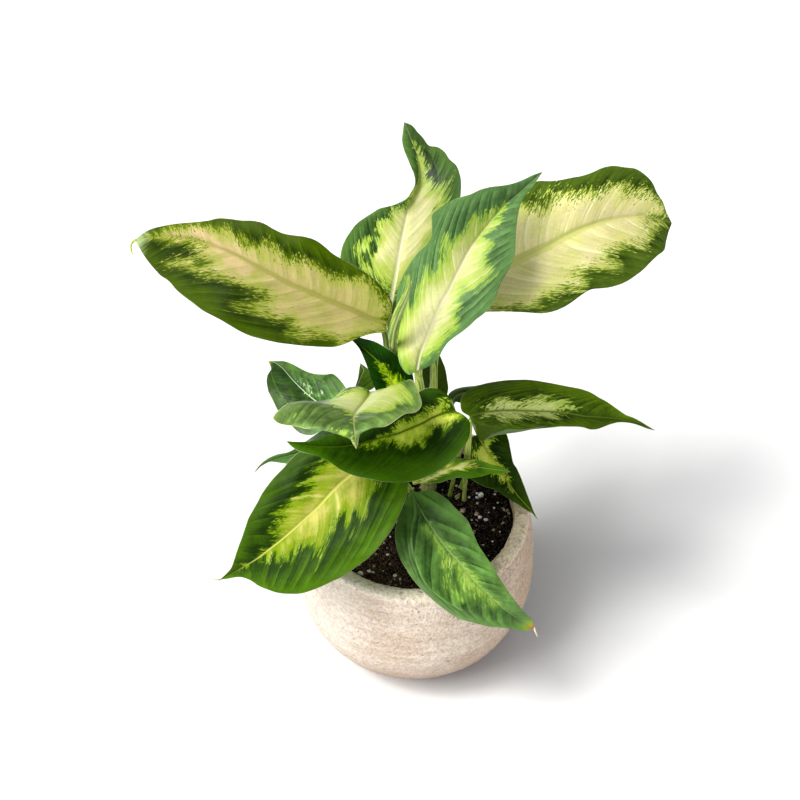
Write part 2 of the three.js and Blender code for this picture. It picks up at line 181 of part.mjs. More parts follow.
const CANES = {
  cane_main: [[9.6, 22.3, 98, 5.2], [9.2, 22.3, 118, 5], [8, 22.4, 140, 4.7], [6.8, 22.6, 158, 4.4], [6, 22.6, 170, 4]],
  cane_left: [[-9.5, 25, 98, 4.4], [-9.6, 25.5, 115, 4.2], [-10, 26, 130, 3.9], [-10.4, 26.2, 142, 3.5]],
  cane_right: [[28.5, 15.2, 98, 3.8], [28.5, 15.2, 108, 3.6], [28.8, 15.4, 114, 3.2]],
  cane_back: [[3, 43, 98, 4.6], [3.4, 43, 120, 4.4], [4.2, 42.6, 140, 4.1], [5, 42, 156, 3.6]],
};

// ---- helpers --------------------------------------------------------------
const wasm = await Module();
wasm.setup();

function toSolid(geometry) {
  const g = geometry.clone();
  for (const name of ['normal', 'uv']) if (g.getAttribute(name)) g.deleteAttribute(name);
  const m = mergeVertices(g, 1e-4);
  return new wasm.Manifold(new wasm.Mesh({
    numProp: 3,
    vertProperties: new Float32Array(m.getAttribute('position').array),
    triVerts: new Uint32Array(m.index.array),
  }));
}

function toGeometry(solid) {
  const mesh = solid.getMesh();
  const g = new THREE.BufferGeometry();
  const n = mesh.vertProperties.length / mesh.numProp;
  const pos = new Float32Array(n * 3);
  for (let i = 0; i < n; i++) for (let j = 0; j < 3; j++) pos[i * 3 + j] = mesh.vertProperties[i * mesh.numProp + j];
  g.setAttribute('position', new THREE.BufferAttribute(pos, 3));
  g.setIndex(new THREE.BufferAttribute(new Uint32Array(mesh.triVerts), 1));
  g.computeVertexNormals();
  return g;
}

// A round rod of changing radius along a centre line of [x, y, z, r].
// The section is carried along without twisting; both ends are flat.
function taperedRod(points, sides) {
  const c = points.map((p) => new THREE.Vector3(p[0], p[1], p[2]));
  const r = points.map((p) => p[3]);
  const last = c.length - 1;
  const tangent = c.map((_, i) => new THREE.Vector3().subVectors(c[Math.min(i + 1, last)], c[Math.max(i - 1, 0)]).normalize());
  const pos = [];
  let side = new THREE.Vector3(1, 0, 0);
  if (Math.abs(side.dot(tangent[0])) > 0.8) side = new THREE.Vector3(0, 1, 0);
  for (let i = 0; i <= last; i++) {
    side.addScaledVector(tangent[i], -side.dot(tangent[i])).normalize();
    const up = new THREE.Vector3().crossVectors(tangent[i], side);
    for (let k = 0; k < sides; k++) {
      const a = (2 * Math.PI * k) / sides;
      const p = c[i].clone().addScaledVector(side, r[i] * Math.cos(a)).addScaledVector(up, r[i] * Math.sin(a));
      pos.push(p.x, p.y, p.z);
    }
  }
  const index = [];
  for (let i = 0; i < last; i++) {
    for (let k = 0; k < sides; k++) {
      const a = i * sides + k;
      const b = i * sides + ((k + 1) % sides);
      index.push(a, b, b + sides, a, b + sides, a + sides);
    }
  }
  const foot = pos.length / 3;
  pos.push(c[0].x, c[0].y, c[0].z, c[last].x, c[last].y, c[last].z);
  for (let k = 0; k < sides; k++) {
    const k2 = (k + 1) % sides;
    index.push(foot, k2, k);
    index.push(foot + 1, last * sides + k, last * sides + k2);
  }
  const g = new THREE.BufferGeometry();
  g.setAttribute('position', new THREE.Float32BufferAttribute(pos, 3));
  g.setIndex(index);
  return g;
}

const vec = (p) => new THREE.Vector3(p[0], p[1], p[2]);

// The middle surface of a blade: rows[j][i], j across the blade and i along it.
function bladeRows(ribs, acrossSteps) {
  const n = ribs[0].line.length;
  const rows = [];
  for (let j = 0; j <= acrossSteps; j++) {
    const v = -1 + (2 * j) / acrossSteps;
    let k = 0;
    while (k < ribs.length - 2 && v > ribs[k + 1].across) k++;
    const t = (v - ribs[k].across) / (ribs[k + 1].across - ribs[k].across);
    const row = [];
    for (let i = 0; i < n; i++) row.push(vec(ribs[k].line[i]).lerp(vec(ribs[k + 1].line[i]), t));
    rows.push(row);
  }
  return rows;
}

// A closed leaf blade: upper and lower skins that meet at the margins, at
// the base and at the tip. The two halves are crowned between midrib and
// margin, and the blade is thickest at the midrib.
function bladeGeometry(ribs, acrossSteps) {
  const rows = bladeRows(ribs, acrossSteps);
  const nv = acrossSteps;
  const nu = rows[0].length - 1;
  const normalAt = (j, i) => {
    const i0 = Math.max(1, i - 1);
    const i1 = Math.min(nu - 1, i + 1);
    const along = new THREE.Vector3().subVectors(rows[j][i1 === i0 ? i0 + 1 : i1], rows[j][i0]);
    const ii = Math.min(Math.max(i, 1), nu - 1);
    const across = new THREE.Vector3().subVectors(rows[nv][ii], rows[0][ii]);
    return along.cross(across).normalize();
  };
  const pos = [];
  const top = [];
  const bottom = [];
  const put = (p) => { pos.push(p.x, p.y, p.z); return pos.length / 3 - 1; };
  const basePoint = put(rows[nv / 2][0]);
  const tipPoint = put(rows[nv / 2][nu]);
  for (let j = 0; j <= nv; j++) {
    top.push([]);
    bottom.push([]);
    const v = -1 + (2 * j) / nv;
    for (let i = 0; i <= nu; i++) {
      if (i === 0 || i === nu) {
        const q = i === 0 ? basePoint : tipPoint;
        top[j].push(q);
        bottom[j].push(q);
        continue;
      }
      const normal = normalAt(j, i);
      const width = rows[0][i].distanceTo(rows[nv][i]);
      const crown = BLADE_CROWN * width * Math.sin(Math.PI * Math.abs(v));
      const mid = rows[j][i].clone().addScaledVector(normal, crown);
      if (j === 0 || j === nv) {
        const q = put(mid);
        top[j].push(q);
        bottom[j].push(q);
      } else {
        const half = (BLADE_T / 2) * (1 - 0.4 * Math.abs(v)) * Math.min(1, 0.45 + 4 * Math.min(i / nu, 1 - i / nu));
        top[j].push(put(mid.clone().addScaledVector(normal, half)));
        bottom[j].push(put(mid.clone().addScaledVector(normal, -half)));
      }
    }
  }
  const index = [];
  const tri = (a, b, c) => { if (a !== b && b !== c && a !== c) index.push(a, b, c); };
  for (let j = 0; j < nv; j++) {
    for (let i = 0; i < nu; i++) {
      tri(top[j][i], top[j][i + 1], top[j + 1][i + 1]);
      tri(top[j][i], top[j + 1][i + 1], top[j + 1][i]);
      tri(bottom[j][i], bottom[j + 1][i + 1], bottom[j][i + 1]);
      tri(bottom[j][i], bottom[j + 1][i], bottom[j + 1][i + 1]);
    }
  }
  const g = new THREE.BufferGeometry();
  g.setAttribute('position', new THREE.Float32BufferAttribute(pos, 3));
  g.setIndex(index);
  return { geometry: g, rows, normalAt };
}

// A whole leaf: the blade joined to its stalk, which runs on under the
// first part of the midrib.
function leafGeometry({ ribs, stalk }) {
  const { geometry, rows, normalAt } = bladeGeometry(ribs, 6);
  const nu = rows[0].length - 1;
  const rod = stalk.map((p) => [...p]).reverse();
  const r0 = stalk[0][3];
  const reach = Math.max(2, Math.round(nu * 0.3));
  for (let i = 1; i <= reach; i++) {
    const r = r0 * (0.8 - (0.5 * i) / reach);
    const p = rows[3][i].clone().addScaledVector(normalAt(3, i), -0.35 * r);
    rod.push([p.x, p.y, p.z, r]);
  }
  const blade = toSolid(geometry);
  const stem = toSolid(taperedRod(rod, STALK_SIDES));
  return toGeometry(blade.add(stem));
}

// ---- pot --------------------------------------------------------------------
function potOutside() {
  const p = [[POT_FOOT_R, 0]];
  for (let i = 1; i <= 9; i++) {
    const a = ((Math.PI / 2) * i) / 9;
    p.push([POT_FOOT_R + (POT_BELLY_R - POT_FOOT_R) * Math.sin(a), POT_BELLY_Z * (1 - Math.cos(a))]);
  }
  const shoulder = POT_HEIGHT - 5;
  for (let i = 1; i <= 5; i++) {
    const k = i / 5;
    p.push([POT_BELLY_R - (POT_BELLY_R - POT_LIP_OUTER_R) * k * k, POT_BELLY_Z + (shoulder - POT_BELLY_Z) * k]);
  }
  return p;
}

function potProfile() {
  const out = potOutside();
  const lipMid = (POT_LIP_OUTER_R + POT_LIP_INNER_R) / 2;
  const lipHalf = (POT_LIP_OUTER_R - POT_LIP_INNER_R) / 2;
  const p = [[0, 0], ...out];
  for (let i = 1; i < 6; i++) {
    const a = (Math.PI * i) / 6;
    p.push([lipMid + lipHalf * Math.cos(a), POT_HEIGHT - 5 + 5 * Math.sin(a)]);
  }
  return [...p, ...potInside(0), [0, POT_WALL]];
}

// The inner wall from the mouth down to the floor, moved inwards by gap.
function potInside(gap) {
  const p = [
    [POT_LIP_INNER_R, POT_HEIGHT - 5],
    [POT_LIP_INNER_R - 0.4, POT_HEIGHT - 14],
  ];
  const depth = POT_HEIGHT - 14 - POT_WALL;
  for (let i = 1; i <= 6; i++) {
    const a = ((Math.PI / 2) * i) / 6;
    p.push([POT_LIP_INNER_R - 0.4 - 30 * (1 - Math.cos(a)), POT_HEIGHT - 14 - depth * Math.sin(a)]);
  }
  return p.map(([r, z]) => [r - gap, z]);
}

const lathe = (profile) => new THREE.LatheGeometry(profile.map(([r, z]) => new THREE.Vector2(r, z)), POT_SIDES).rotateX(Math.PI / 2);

// ---- soil ---------------------------------------------------------------------
function soilSolid() {
  const wall = potInside(GAP).slice(1);
  const p = [[0, POT_WALL + GAP]];
  for (let i = wall.length - 1; i >= 0; i--) {
    const [r, z] = wall[i];
    p.push([r, i === wall.length - 1 ? POT_WALL + GAP : z]);
  }
  p.push([POT_LIP_INNER_R - 0.3 - GAP, SOIL_Z - SOIL_FALL]);
  for (const k of [0.8, 0.5, 0.2]) p.push([POT_LIP_INNER_R * k, SOIL_Z - SOIL_FALL * k * k]);
  p.push([0, SOIL_Z]);
  let soil = toSolid(lathe(p));
  for (const line of Object.values(CANES)) {
    const [x, y, , r] = line[0];
    const hole = [[x, y, CANE_FOOT_Z - GAP, r + GAP], [x, y, SOIL_Z + 5, r + GAP]];
    soil = soil.subtract(toSolid(taperedRod(hole, CANE_SIDES)));
  }
  return soil;
}

// ---- build ----------------------------------------------------------------------
const material = (color, roughness) => new THREE.MeshStandardMaterial({ color, roughness, metalness: 0 });
const cement = material(0xd3c1ad, 0.9);
const earth = material(0x2f2018, 0.95);
const caneBark = material(0xa9bb7c, 0.55);
const leafGreen = material(0x3f6b2a, 0.4);
const leafPale = material(0xbfca6e, 0.4);
const newLeaf = material(0x8fae4a, 0.4);
const PALE = new Set(['leaf_left_large', 'leaf_top_back', 'leaf_centre', 'leaf_right_large', 'leaf_front_wavy', 'leaf_lower_left']);

const plant = new THREE.Group();
plant.name = 'potted_dieffenbachia';

function add(name, geometry, mat, parent) {
  const mesh = new THREE.Mesh(geometry, mat);
  mesh.name = name;
  parent.add(mesh);
}

add('pot', toGeometry(toSolid(lathe(potProfile()))), cement, plant);
add('soil', toGeometry(soilSolid()), earth, plant);

const canes = new THREE.Group();
plant.add(canes);
for (const [name, line] of Object.entries(CANES)) {
  // The part in the soil stands straight, so it fits its hole.
  const rod = [[line[0][0], line[0][1], CANE_FOOT_Z, line[0][3]], [line[0][0], line[0][1], SOIL_Z + 1, line[0][3]], ...line.slice(1)];
  add(name, toGeometry(toSolid(taperedRod(rod, CANE_SIDES))), caneBark, canes);
}

const leaves = new THREE.Group();
plant.add(leaves);
for (const [name, data] of Object.entries(LEAVES)) {
  add(name, leafGeometry(data), PALE.has(name) ? leafPale : leafGreen, leaves);
}
add('leaf_new_rolled', toGeometry(toSolid(taperedRod(ROLLED_LEAF, STALK_SIDES))), newLeaf, leaves);

export default plant;
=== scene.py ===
import bpy
import math
import numpy as np
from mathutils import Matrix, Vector


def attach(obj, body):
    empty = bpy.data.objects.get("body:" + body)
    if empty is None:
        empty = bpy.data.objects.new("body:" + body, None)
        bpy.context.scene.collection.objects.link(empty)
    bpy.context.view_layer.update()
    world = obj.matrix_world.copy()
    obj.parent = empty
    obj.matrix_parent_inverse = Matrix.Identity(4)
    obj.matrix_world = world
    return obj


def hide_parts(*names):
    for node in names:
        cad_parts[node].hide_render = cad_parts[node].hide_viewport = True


# Potted dieffenbachia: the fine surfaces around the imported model.
# Lengths below are in millimetres and are turned into metres when a mesh is made.

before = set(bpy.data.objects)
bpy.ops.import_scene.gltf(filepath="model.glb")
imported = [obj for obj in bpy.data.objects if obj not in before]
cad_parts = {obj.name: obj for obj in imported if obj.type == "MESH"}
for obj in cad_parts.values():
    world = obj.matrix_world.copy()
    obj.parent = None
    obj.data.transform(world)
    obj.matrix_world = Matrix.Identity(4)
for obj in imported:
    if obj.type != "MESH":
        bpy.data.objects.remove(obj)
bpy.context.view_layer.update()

MM = 0.001
SEED = 41
POT_HEIGHT = 117.5
POT_BELLY_R = 80.0
POT_BELLY_Z = 62.0
POT_FOOT_R = 42.0
POT_LIP_OUTER_R = 75.2
POT_LIP_INNER_R = 65.0
SOIL_Z = 107.0

# Each leaf: ribs along the blade at a place across it (-1 and 1 are the margins, 0 the midrib),
# the stalk from blade to cane as (x, y, z, radius), and the outlines of its pale areas in
# (along, across) with how full the colour is there (a negative one is a green island).
LEAVES = {
    'leaf_left_large': {
        'ribs': [
            (-1, [(-17.54, 27, 259.9), (-14.9, 29.92, 265.65), (-14.39, 33.35, 271.29), (-18.13, 36.55, 275.83), (-22.14, 39.78, 280.04), (-27.08, 42.66, 283.45), (-32.44, 45.37, 286.3), (-38.16, 47.84, 288.69), (-44.07, 50.15, 290.76), (-49.86, 52.68, 292.91), (-54.9, 55.99, 295.7), (-60.36, 59, 298.05), (-66.75, 60.81, 299.07), (-73.39, 61.96, 299.35), (-79.97, 63.36, 299.75), (-86.1, 66.02, 301.04), (-92, 69.34, 302.48), (-98.61, 71.59, 302.43), (-105.48, 73.06, 301.24), (-112.35, 75.32, 300.37), (-119.28, 77.47, 299.03), (-126.15, 78.46, 296.33), (-133.18, 80.06, 293.83), (-140.33, 82.05, 291.38), (-147.51, 83.99, 288.62), (-154.71, 85.75, 285.46), (-161.9, 87.33, 281.92), (-168.59, 87.96, 277.41), (-174.42, 87.5, 271.86)]),
            (0, [(-17.54, 27, 259.9), (-23.12, 27.78, 261.44), (-28.65, 28.78, 262.95), (-33.95, 30.33, 264.77), (-39.26, 31.98, 266.49), (-44.65, 33.58, 267.98), (-50.05, 35.25, 269.36), (-55.4, 37.1, 270.77), (-60.72, 39.07, 272.18), (-66.08, 41.04, 273.46), (-71.51, 42.95, 274.61), (-76.9, 44.98, 275.79), (-82.04, 47.42, 277.32), (-87.19, 49.89, 278.84), (-92.37, 52.33, 280.31), (-97.58, 54.88, 281.67), (-102.78, 57.68, 282.88), (-108.01, 60.68, 283.9), (-113.49, 63.57, 284.46), (-119.11, 66.47, 284.71), (-124.84, 69.39, 284.67), (-130.72, 72.25, 284.31), (-136.69, 75.1, 283.68), (-142.84, 77.62, 282.53), (-149.05, 80.15, 281.18), (-155.36, 82.23, 279.26), (-161.71, 84.33, 277.22), (-168.06, 85.97, 274.63), (-174.42, 87.5, 271.86)]),
            (1, [(-17.54, 27, 259.9), (-18.27, 21.37, 258.4), (-24.67, 19.29, 258.97), (-30.98, 17.23, 259.02), (-36.95, 14.79, 258.03), (-42.88, 12.57, 256.55), (-49.11, 11.15, 255.52), (-55.61, 11.14, 255.52), (-62.1, 11.47, 255.66), (-68.59, 12, 255.81), (-75.06, 12.8, 256.07), (-81.54, 13.7, 256.29), (-87.96, 15, 256.76), (-94.33, 16.51, 257.35), (-100.62, 18.3, 258.1), (-106.6, 20.92, 259.36), (-112.28, 24.21, 260.77), (-118, 27.76, 261.94), (-124.01, 31.29, 262.63), (-130.03, 35.1, 263.16), (-135.51, 39.74, 264.13), (-141.06, 44.6, 264.93), (-146.34, 49.85, 265.81), (-151.02, 55.74, 267.04), (-156.9, 60.97, 267.26), (-161.79, 67.13, 268.21), (-166.44, 73.6, 269.26), (-170.61, 80.43, 270.51), (-174.42, 87.5, 271.86)]),
        ],
        'stalk': [(-17.54, 27, 259.9, 2.2), (-18.1, 27.25, 249.94, 2.26), (-17.82, 27.29, 240.04, 2.32), (-15.87, 26.92, 230.25, 2.37), (-13.98, 26.56, 220.46, 2.42), (-12.08, 26.18, 210.68, 2.47), (-10.16, 25.82, 200.89, 2.53), (-8.23, 25.43, 191.11, 2.59), (-6.31, 25.05, 181.33, 2.64), (-4.37, 24.66, 171.55, 2.69), (-2.42, 24.27, 161.78, 2.75), (-0.48, 23.89, 152, 2.8)],
        'pale': [
            (1, [(0.99, -0.683), (0.92, -0.317), (0.865, -0.717), (0.79, -0.817), (0.74, -0.717), (0.693, -0.667), (0.652, -0.633), (0.625, -0.467), (0.598, -0.383), (0.565, -0.4), (0.535, -0.567), (0.5, -0.567), (0.463, -0.467), (0.422, -0.483), (0.39, -0.467), (0.365, -0.567), (0.33, -0.583), (0.29, -0.533), (0.255, -0.567), (0.223, -0.7), (0.195, -0.833), (0.163, -0.85), (0.118, -0.817), (0.08, -0.833), (0.05, -0.833), (0.013, 1), (0.033, 0.933), (0.075, 1), (0.12, 1), (0.155, 0.983), (0.198, 0.933), (0.215, 0.8), (0.27, 0.783), (0.33, 0.817), (0.37, 0.833), (0.343, 0.75), (0.375, 0.7), (0.357, 0.583), (0.395, 0.6), (0.44, 0.633), (0.495, 0.683), (0.522, 0.667), (0.575, 0.717), (0.525, 0.617), (0.473, 0.45), (0.453, 0.35), (0.48, 0.317), (0.53, 0.333), (0.583, 0.383), (0.61, 0.4), (0.662, 0.417), (0.74, 0.517), (0.782, 0.533), (0.84, 0.667), (0.792, 0.467), (0.725, 0.35), (0.703, 0.267), (0.74, 0.233), (0.763, 0.183), (0.745, 0.067), (0.79, 0.1), (0.838, 0.083), (0.897, 0.2), (0.917, 0.017)]),
        ],
    },
    'leaf_top_back': {
        'ribs': [
            (-1, [(-17.12, 48, 242.93), (-12.73, 49.3, 246.28), (-8.8, 50.95, 249.98), (-4.94, 52.68, 253.7), (-1.53, 54.71, 257.64), (1.86, 56.8, 261.53), (4.77, 59.17, 265.58), (7.54, 61.68, 269.61), (10.26, 64.31, 273.56), (12.66, 67.13, 277.54), (15.06, 69.97, 281.48), (17.28, 72.89, 285.45), (19.23, 75.9, 289.49), (21.17, 78.93, 293.49), (23.13, 81.97, 297.47), (25.1, 85.07, 301.37), (26.87, 88.34, 305.18), (27.37, 91.97, 309.07), (27.43, 96.22, 312.22), (26.54, 101.02, 314.58), (24.47, 106.14, 316.67), (20.55, 110.4, 317.72), (17.53, 114.64, 319.92), (13.18, 117.33, 321.52), (7.97, 118.65, 321.72), (4.72, 121.62, 324.7), (1.03, 124.17, 327.64), (-2.43, 126.51, 330.95), (-7.25, 127.33, 332.87)]),
            (0, [(-17.12, 48, 242.93), (-16.31, 50.64, 246.52), (-15.5, 53.28, 250.1), (-14.7, 55.91, 253.68), (-13.86, 58.53, 257.25), (-13.02, 61.15, 260.81), (-12.19, 63.77, 264.37), (-11.47, 66.4, 267.93), (-10.77, 69.02, 271.49), (-10.07, 71.64, 275.04), (-9.28, 74.24, 278.58), (-8.41, 76.83, 282.1), (-7.54, 79.41, 285.61), (-6.68, 81.99, 289.12), (-5.81, 84.57, 292.63), (-4.94, 87.19, 296.08), (-3.43, 89.78, 299.29), (-1.79, 92.44, 302.39), (-0.15, 95.18, 305.41), (1.05, 98.11, 308.45), (2.19, 101.13, 311.45), (2.3, 104.31, 314.43), (2.01, 107.59, 317.38), (0.85, 110.83, 320.1), (-0.79, 114.07, 322.68), (-2.43, 117.35, 325.24), (-4.07, 120.65, 327.78), (-5.69, 123.98, 330.31), (-7.25, 127.33, 332.87)]),
            (1, [(-17.12, 48, 242.93), (-22.32, 49.15, 245.19), (-27.28, 50.55, 247.77), (-31.95, 52.26, 250.73), (-36.3, 54.15, 253.92), (-39.57, 56.67, 257.99), (-42.82, 59.21, 262.02), (-44.86, 62.11, 266.59), (-46.13, 65.12, 271.29), (-46.26, 68.2, 276.15), (-45.12, 71.14, 280.96), (-42.82, 73.82, 285.54), (-39.72, 76.22, 289.78), (-36.22, 78.45, 293.76), (-31.67, 80.04, 296.87), (-26.87, 81.5, 299.57), (-22.08, 83.14, 302.09), (-16.63, 83.99, 303.18), (-11.09, 84.56, 303.62), (-6.28, 86.51, 305.67), (-3.18, 89.67, 309.02), (-0.65, 93.15, 312.61), (-1.12, 96.97, 316.27), (-3.19, 100.96, 319.7), (-5.28, 105.47, 322.67), (-7.3, 110.44, 325.3), (-8.43, 115.87, 327.87), (-7.93, 121.54, 330.41), (-7.25, 127.33, 332.87)]),
        ],
        'stalk': [(-17.12, 48, 242.93, 2), (-15.83, 46.26, 235.25, 2.05), (-14.38, 44.54, 227.61, 2.11), (-12.36, 42.88, 220.07, 2.17), (-10.33, 41.22, 212.53, 2.22), (-8.26, 39.57, 205.01, 2.27), (-6.14, 37.93, 197.5, 2.33), (-4.01, 36.3, 189.98, 2.38), (-1.84, 34.66, 182.48, 2.44), (0.34, 33.03, 174.99, 2.49), (2.54, 31.4, 167.49, 2.55), (4.74, 29.78, 160, 2.6)],
        'pale': [
            (1, [(0.897, -0.15), (0.853, -0.067), (0.812, 0.05), (0.77, 0.45), (0.708, 0.25), (0.725, 0.933), (0.62, 0.217), (0.57, 0.15), (0.575, 0.617), (0.53, 0.4), (0.49, 0.433), (0.47, 0.567), (0.445, 0.55), (0.41, 0.483), (0.395, 0.65), (0.378, 0.7), (0.348, 0.75), (0.312, 0.733), (0.26, 0.65), (0.242, 0.517), (0.21, 0.333), (0.163, 0.183), (0.12, 0.017), (0.105, -0.167), (0.165, -0.433), (0.268, -0.617), (0.365, -0.75), (0.42, -0.767), (0.49, -0.65), (0.53, -0.633), (0.575, -0.733), (0.615, -0.667), (0.647, -0.633), (0.647, -0.45), (0.68, -0.283), (0.718, -0.233), (0.745, -0.417), (0.765, -0.417), (0.755, -0.217), (0.785, -0.117), (0.83, -0.15), (0.878, -0.283)]),
            (-1, [(0.333, 0.717), (0.348, 0.517), (0.385, 0.6), (0.395, 0.483), (0.362, 0.417), (0.31, 0.467), (0.27, 0.45), (0.28, 0.583)]),
        ],
    },
    'leaf_centre': {
        'ribs': [
            (-1, [(0.5, 0, 246.38), (5.47, -0.11, 249.14), (9.97, 0.47, 252.4), (13.58, 2, 256.31), (16.07, 4.29, 260.62), (19.06, 6.6, 264.44), (23.01, 8.53, 267.32), (27.27, 10.34, 269.85), (31.4, 12.32, 272.45), (35.29, 14.56, 275.19), (39.5, 16.55, 277.59), (43.18, 18.93, 280.3), (46.08, 21.88, 283.53), (47.79, 25.24, 287.12), (49.57, 28.63, 290.68), (51.95, 31.95, 293.93), (54.87, 35.27, 296.78), (56.95, 39.1, 299.76), (58.45, 43.23, 302.71), (58.75, 47.71, 305.68), (59, 52.36, 308.52), (59.48, 57.16, 311.21), (60.27, 62.08, 313.76), (61.44, 67.1, 316.17), (63.18, 72.09, 318.32), (66.36, 76.77, 319.95), (69.79, 81.43, 321.38), (73.12, 86.24, 322.81), (76.25, 91.24, 324.32)]),
            (0, [(0.5, 0, 246.38), (1.16, 2.99, 250.65), (2.3, 6, 254.77), (4.03, 8.92, 258.66), (6.15, 11.82, 262.38), (8.09, 14.83, 266.1), (10.02, 17.9, 269.75), (12.06, 20.97, 273.31), (14.15, 24.07, 276.81), (16.42, 27.13, 280.2), (19.2, 30, 283.33), (21.39, 33.16, 286.69), (23.59, 36.32, 290.04), (25.82, 39.49, 293.36), (28.1, 42.64, 296.65), (30.37, 45.87, 299.86), (33.1, 49.08, 302.74), (36.13, 52.3, 305.35), (39.25, 55.62, 307.8), (42.47, 59.02, 310.08), (45.73, 62.52, 312.24), (49.14, 66.06, 314.23), (52.55, 69.7, 316.14), (56.45, 73.13, 317.64), (60.41, 76.59, 319.04), (64.32, 80.19, 320.44), (68.19, 83.89, 321.84), (72.12, 87.61, 323.17), (76.25, 91.24, 324.32)]),
            (1, [(0.5, 0, 246.38), (-4.44, -1.97, 245.23), (-8.97, 1.08, 248.72), (-10.95, 6.12, 252.47), (-11.19, 13.78, 253.96), (-11, 20.5, 256.54), (-11.06, 26.43, 259.96), (-11.68, 30.59, 265.14), (-12.33, 34.23, 270.81), (-11.56, 37.69, 276.59), (-9.22, 40.47, 282.48), (-6.3, 42.81, 288.41), (-3.01, 44.95, 294.19), (0.9, 46.84, 299.49), (5.61, 47.94, 304.58), (8.75, 49.8, 310.32), (9.14, 53.02, 316.11), (9.29, 56.98, 320.34), (14.18, 60.44, 322.92), (19.54, 63.67, 324.96), (25.6, 66.19, 325.93), (31.89, 68.48, 326.32), (37.83, 71.52, 327.12), (44.1, 74.12, 327.06), (50.72, 76.27, 326.11), (57.28, 79.01, 325.34), (63.63, 82.69, 325.08), (69.78, 87.04, 325.04), (76.25, 91.24, 324.32)]),
        ],
        'stalk': [(0.5, 0, 246.38, 2.5), (1.18, 2.05, 238.28, 2.53), (2.29, 3.82, 230.19, 2.56), (3.36, 5.06, 221.99, 2.58), (4.13, 6.34, 213.74, 2.61), (4.9, 7.63, 205.49, 2.64), (5.67, 8.92, 197.24, 2.66), (6.46, 10.2, 188.99, 2.69), (7.23, 11.49, 180.75, 2.72), (8.01, 12.76, 172.5, 2.75), (8.8, 14.04, 164.25, 2.77), (9.58, 15.31, 156, 2.8)],
        'pale': [
            (1, [(0.018, 0.933), (0.055, 1), (0.088, 1), (0.138, 1), (0.193, 1), (0.22, 0.917), (0.25, 0.817), (0.292, 0.8), (0.37, 0.867), (0.292, 0.7), (0.278, 0.617), (0.31, 0.533), (0.338, 0.567), (0.378, 0.567), (0.427, 0.667), (0.438, 0.633), (0.41, 0.5), (0.427, 0.433), (0.48, 0.45), (0.522, 0.6), (0.565, 0.667), (0.565, 0.567), (0.547, 0.45), (0.585, 0.35), (0.618, 0.333), (0.652, 0.35), (0.677, 0.383), (0.682, 0.267), (0.718, 0.317), (0.7, 0.133), (0.725, 0.1), (0.758, 0.05), (0.792, 0), (0.76, -0.083), (0.72, -0.133), (0.68, -0.2), (0.645, -0.167), (0.62, -0.267), (0.613, -0.433), (0.583, -0.4), (0.557, -0.4), (0.542, -0.55), (0.53, -0.733), (0.505, -0.717), (0.455, -0.6), (0.42, -0.567), (0.395, -0.35), (0.37, -0.35), (0.325, -0.45), (0.3, -0.467), (0.28, -0.617), (0.253, -0.85), (0.223, -0.867), (0.193, -0.8), (0.158, -0.8), (0.133, -0.767), (0.115, -0.567), (0.08, -0.533), (0.037, -0.15), (0.013, 0.567)]),
        ],
    },
    'leaf_right_large': {
        'ribs': [
            (-1, [(27.02, 52, 263.23), (28.09, 46.49, 260.73), (31.58, 42.24, 258.65), (36.62, 39.63, 257.48), (42.32, 38.85, 257.52), (48.05, 38.67, 257.83), (53.78, 38.57, 258.01), (59.53, 38.42, 257.96), (65.28, 38.3, 257.76), (71.03, 38.14, 257.38), (76.79, 38.08, 257), (82.45, 38.94, 257.34), (87.92, 40.57, 258.29), (93.03, 42.85, 259.77), (97.78, 45.65, 261.66), (102.48, 48.67, 263.49), (107.63, 51.34, 264.48), (113.53, 52.79, 263.88), (119.47, 54.6, 263.12), (125.3, 57.26, 262.67), (130.89, 60.77, 262.56), (136.04, 65.11, 262.84), (140.93, 70, 263.29), (145.5, 75.36, 263.87), (150.13, 80.91, 264.31), (155.13, 86.4, 264.4), (157.22, 93.16, 265.77), (159.28, 100.09, 267.09), (161.81, 107.11, 268.24)]),
            (0, [(27.02, 52, 263.23), (31.17, 53.64, 265.51), (35.32, 55.4, 267.66), (39.79, 56.86, 269.3), (44.35, 58.32, 270.74), (48.91, 59.89, 272.1), (53.39, 61.67, 273.5), (57.89, 63.52, 274.81), (62.42, 65.39, 276.02), (66.99, 67.29, 277.15), (71.58, 69.21, 278.21), (76.2, 71.13, 279.19), (80.83, 73.08, 280.15), (85.23, 75.4, 281.41), (89.67, 77.68, 282.63), (94.24, 79.93, 283.6), (98.84, 82.39, 284.38), (103.62, 84.82, 284.76), (108.55, 87.25, 284.79), (113.52, 89.85, 284.67), (118.7, 92.13, 283.97), (123.94, 94.54, 283.12), (129.26, 96.92, 282), (134.66, 99.22, 280.6), (140.1, 101.62, 279.1), (145.56, 103.22, 276.75), (151.03, 104.79, 274.25), (156.41, 105.92, 271.27), (161.81, 107.11, 268.24)]),
            (1, [(27.02, 52, 263.23), (26.05, 55.73, 269.06), (26.56, 59.69, 274.58), (27.86, 63.82, 279.87), (30.47, 67.87, 284.63), (33.48, 71.96, 289.13), (37.18, 75.95, 293.19), (40.91, 80.04, 297.13), (45.6, 83.78, 300.4), (50.29, 87.62, 303.58), (55.93, 90.72, 305.89), (61.78, 93.7, 307.98), (68.07, 96.11, 309.44), (74.46, 98.34, 310.65), (81.35, 98.81, 310.24), (88.23, 99.95, 310.12), (95.04, 101.91, 310.25), (101.92, 103.96, 309.99), (108.43, 107.05, 310.21), (114.95, 110.88, 310.59), (121.99, 113.81, 309.7), (129.19, 115.36, 307.24), (136.42, 117.07, 304.55), (142.59, 116.66, 299.91), (147.78, 115.35, 294.37), (151.13, 113.04, 288), (155.44, 111.35, 281.75), (158.1, 109, 274.97), (161.81, 107.11, 268.24)]),
        ],
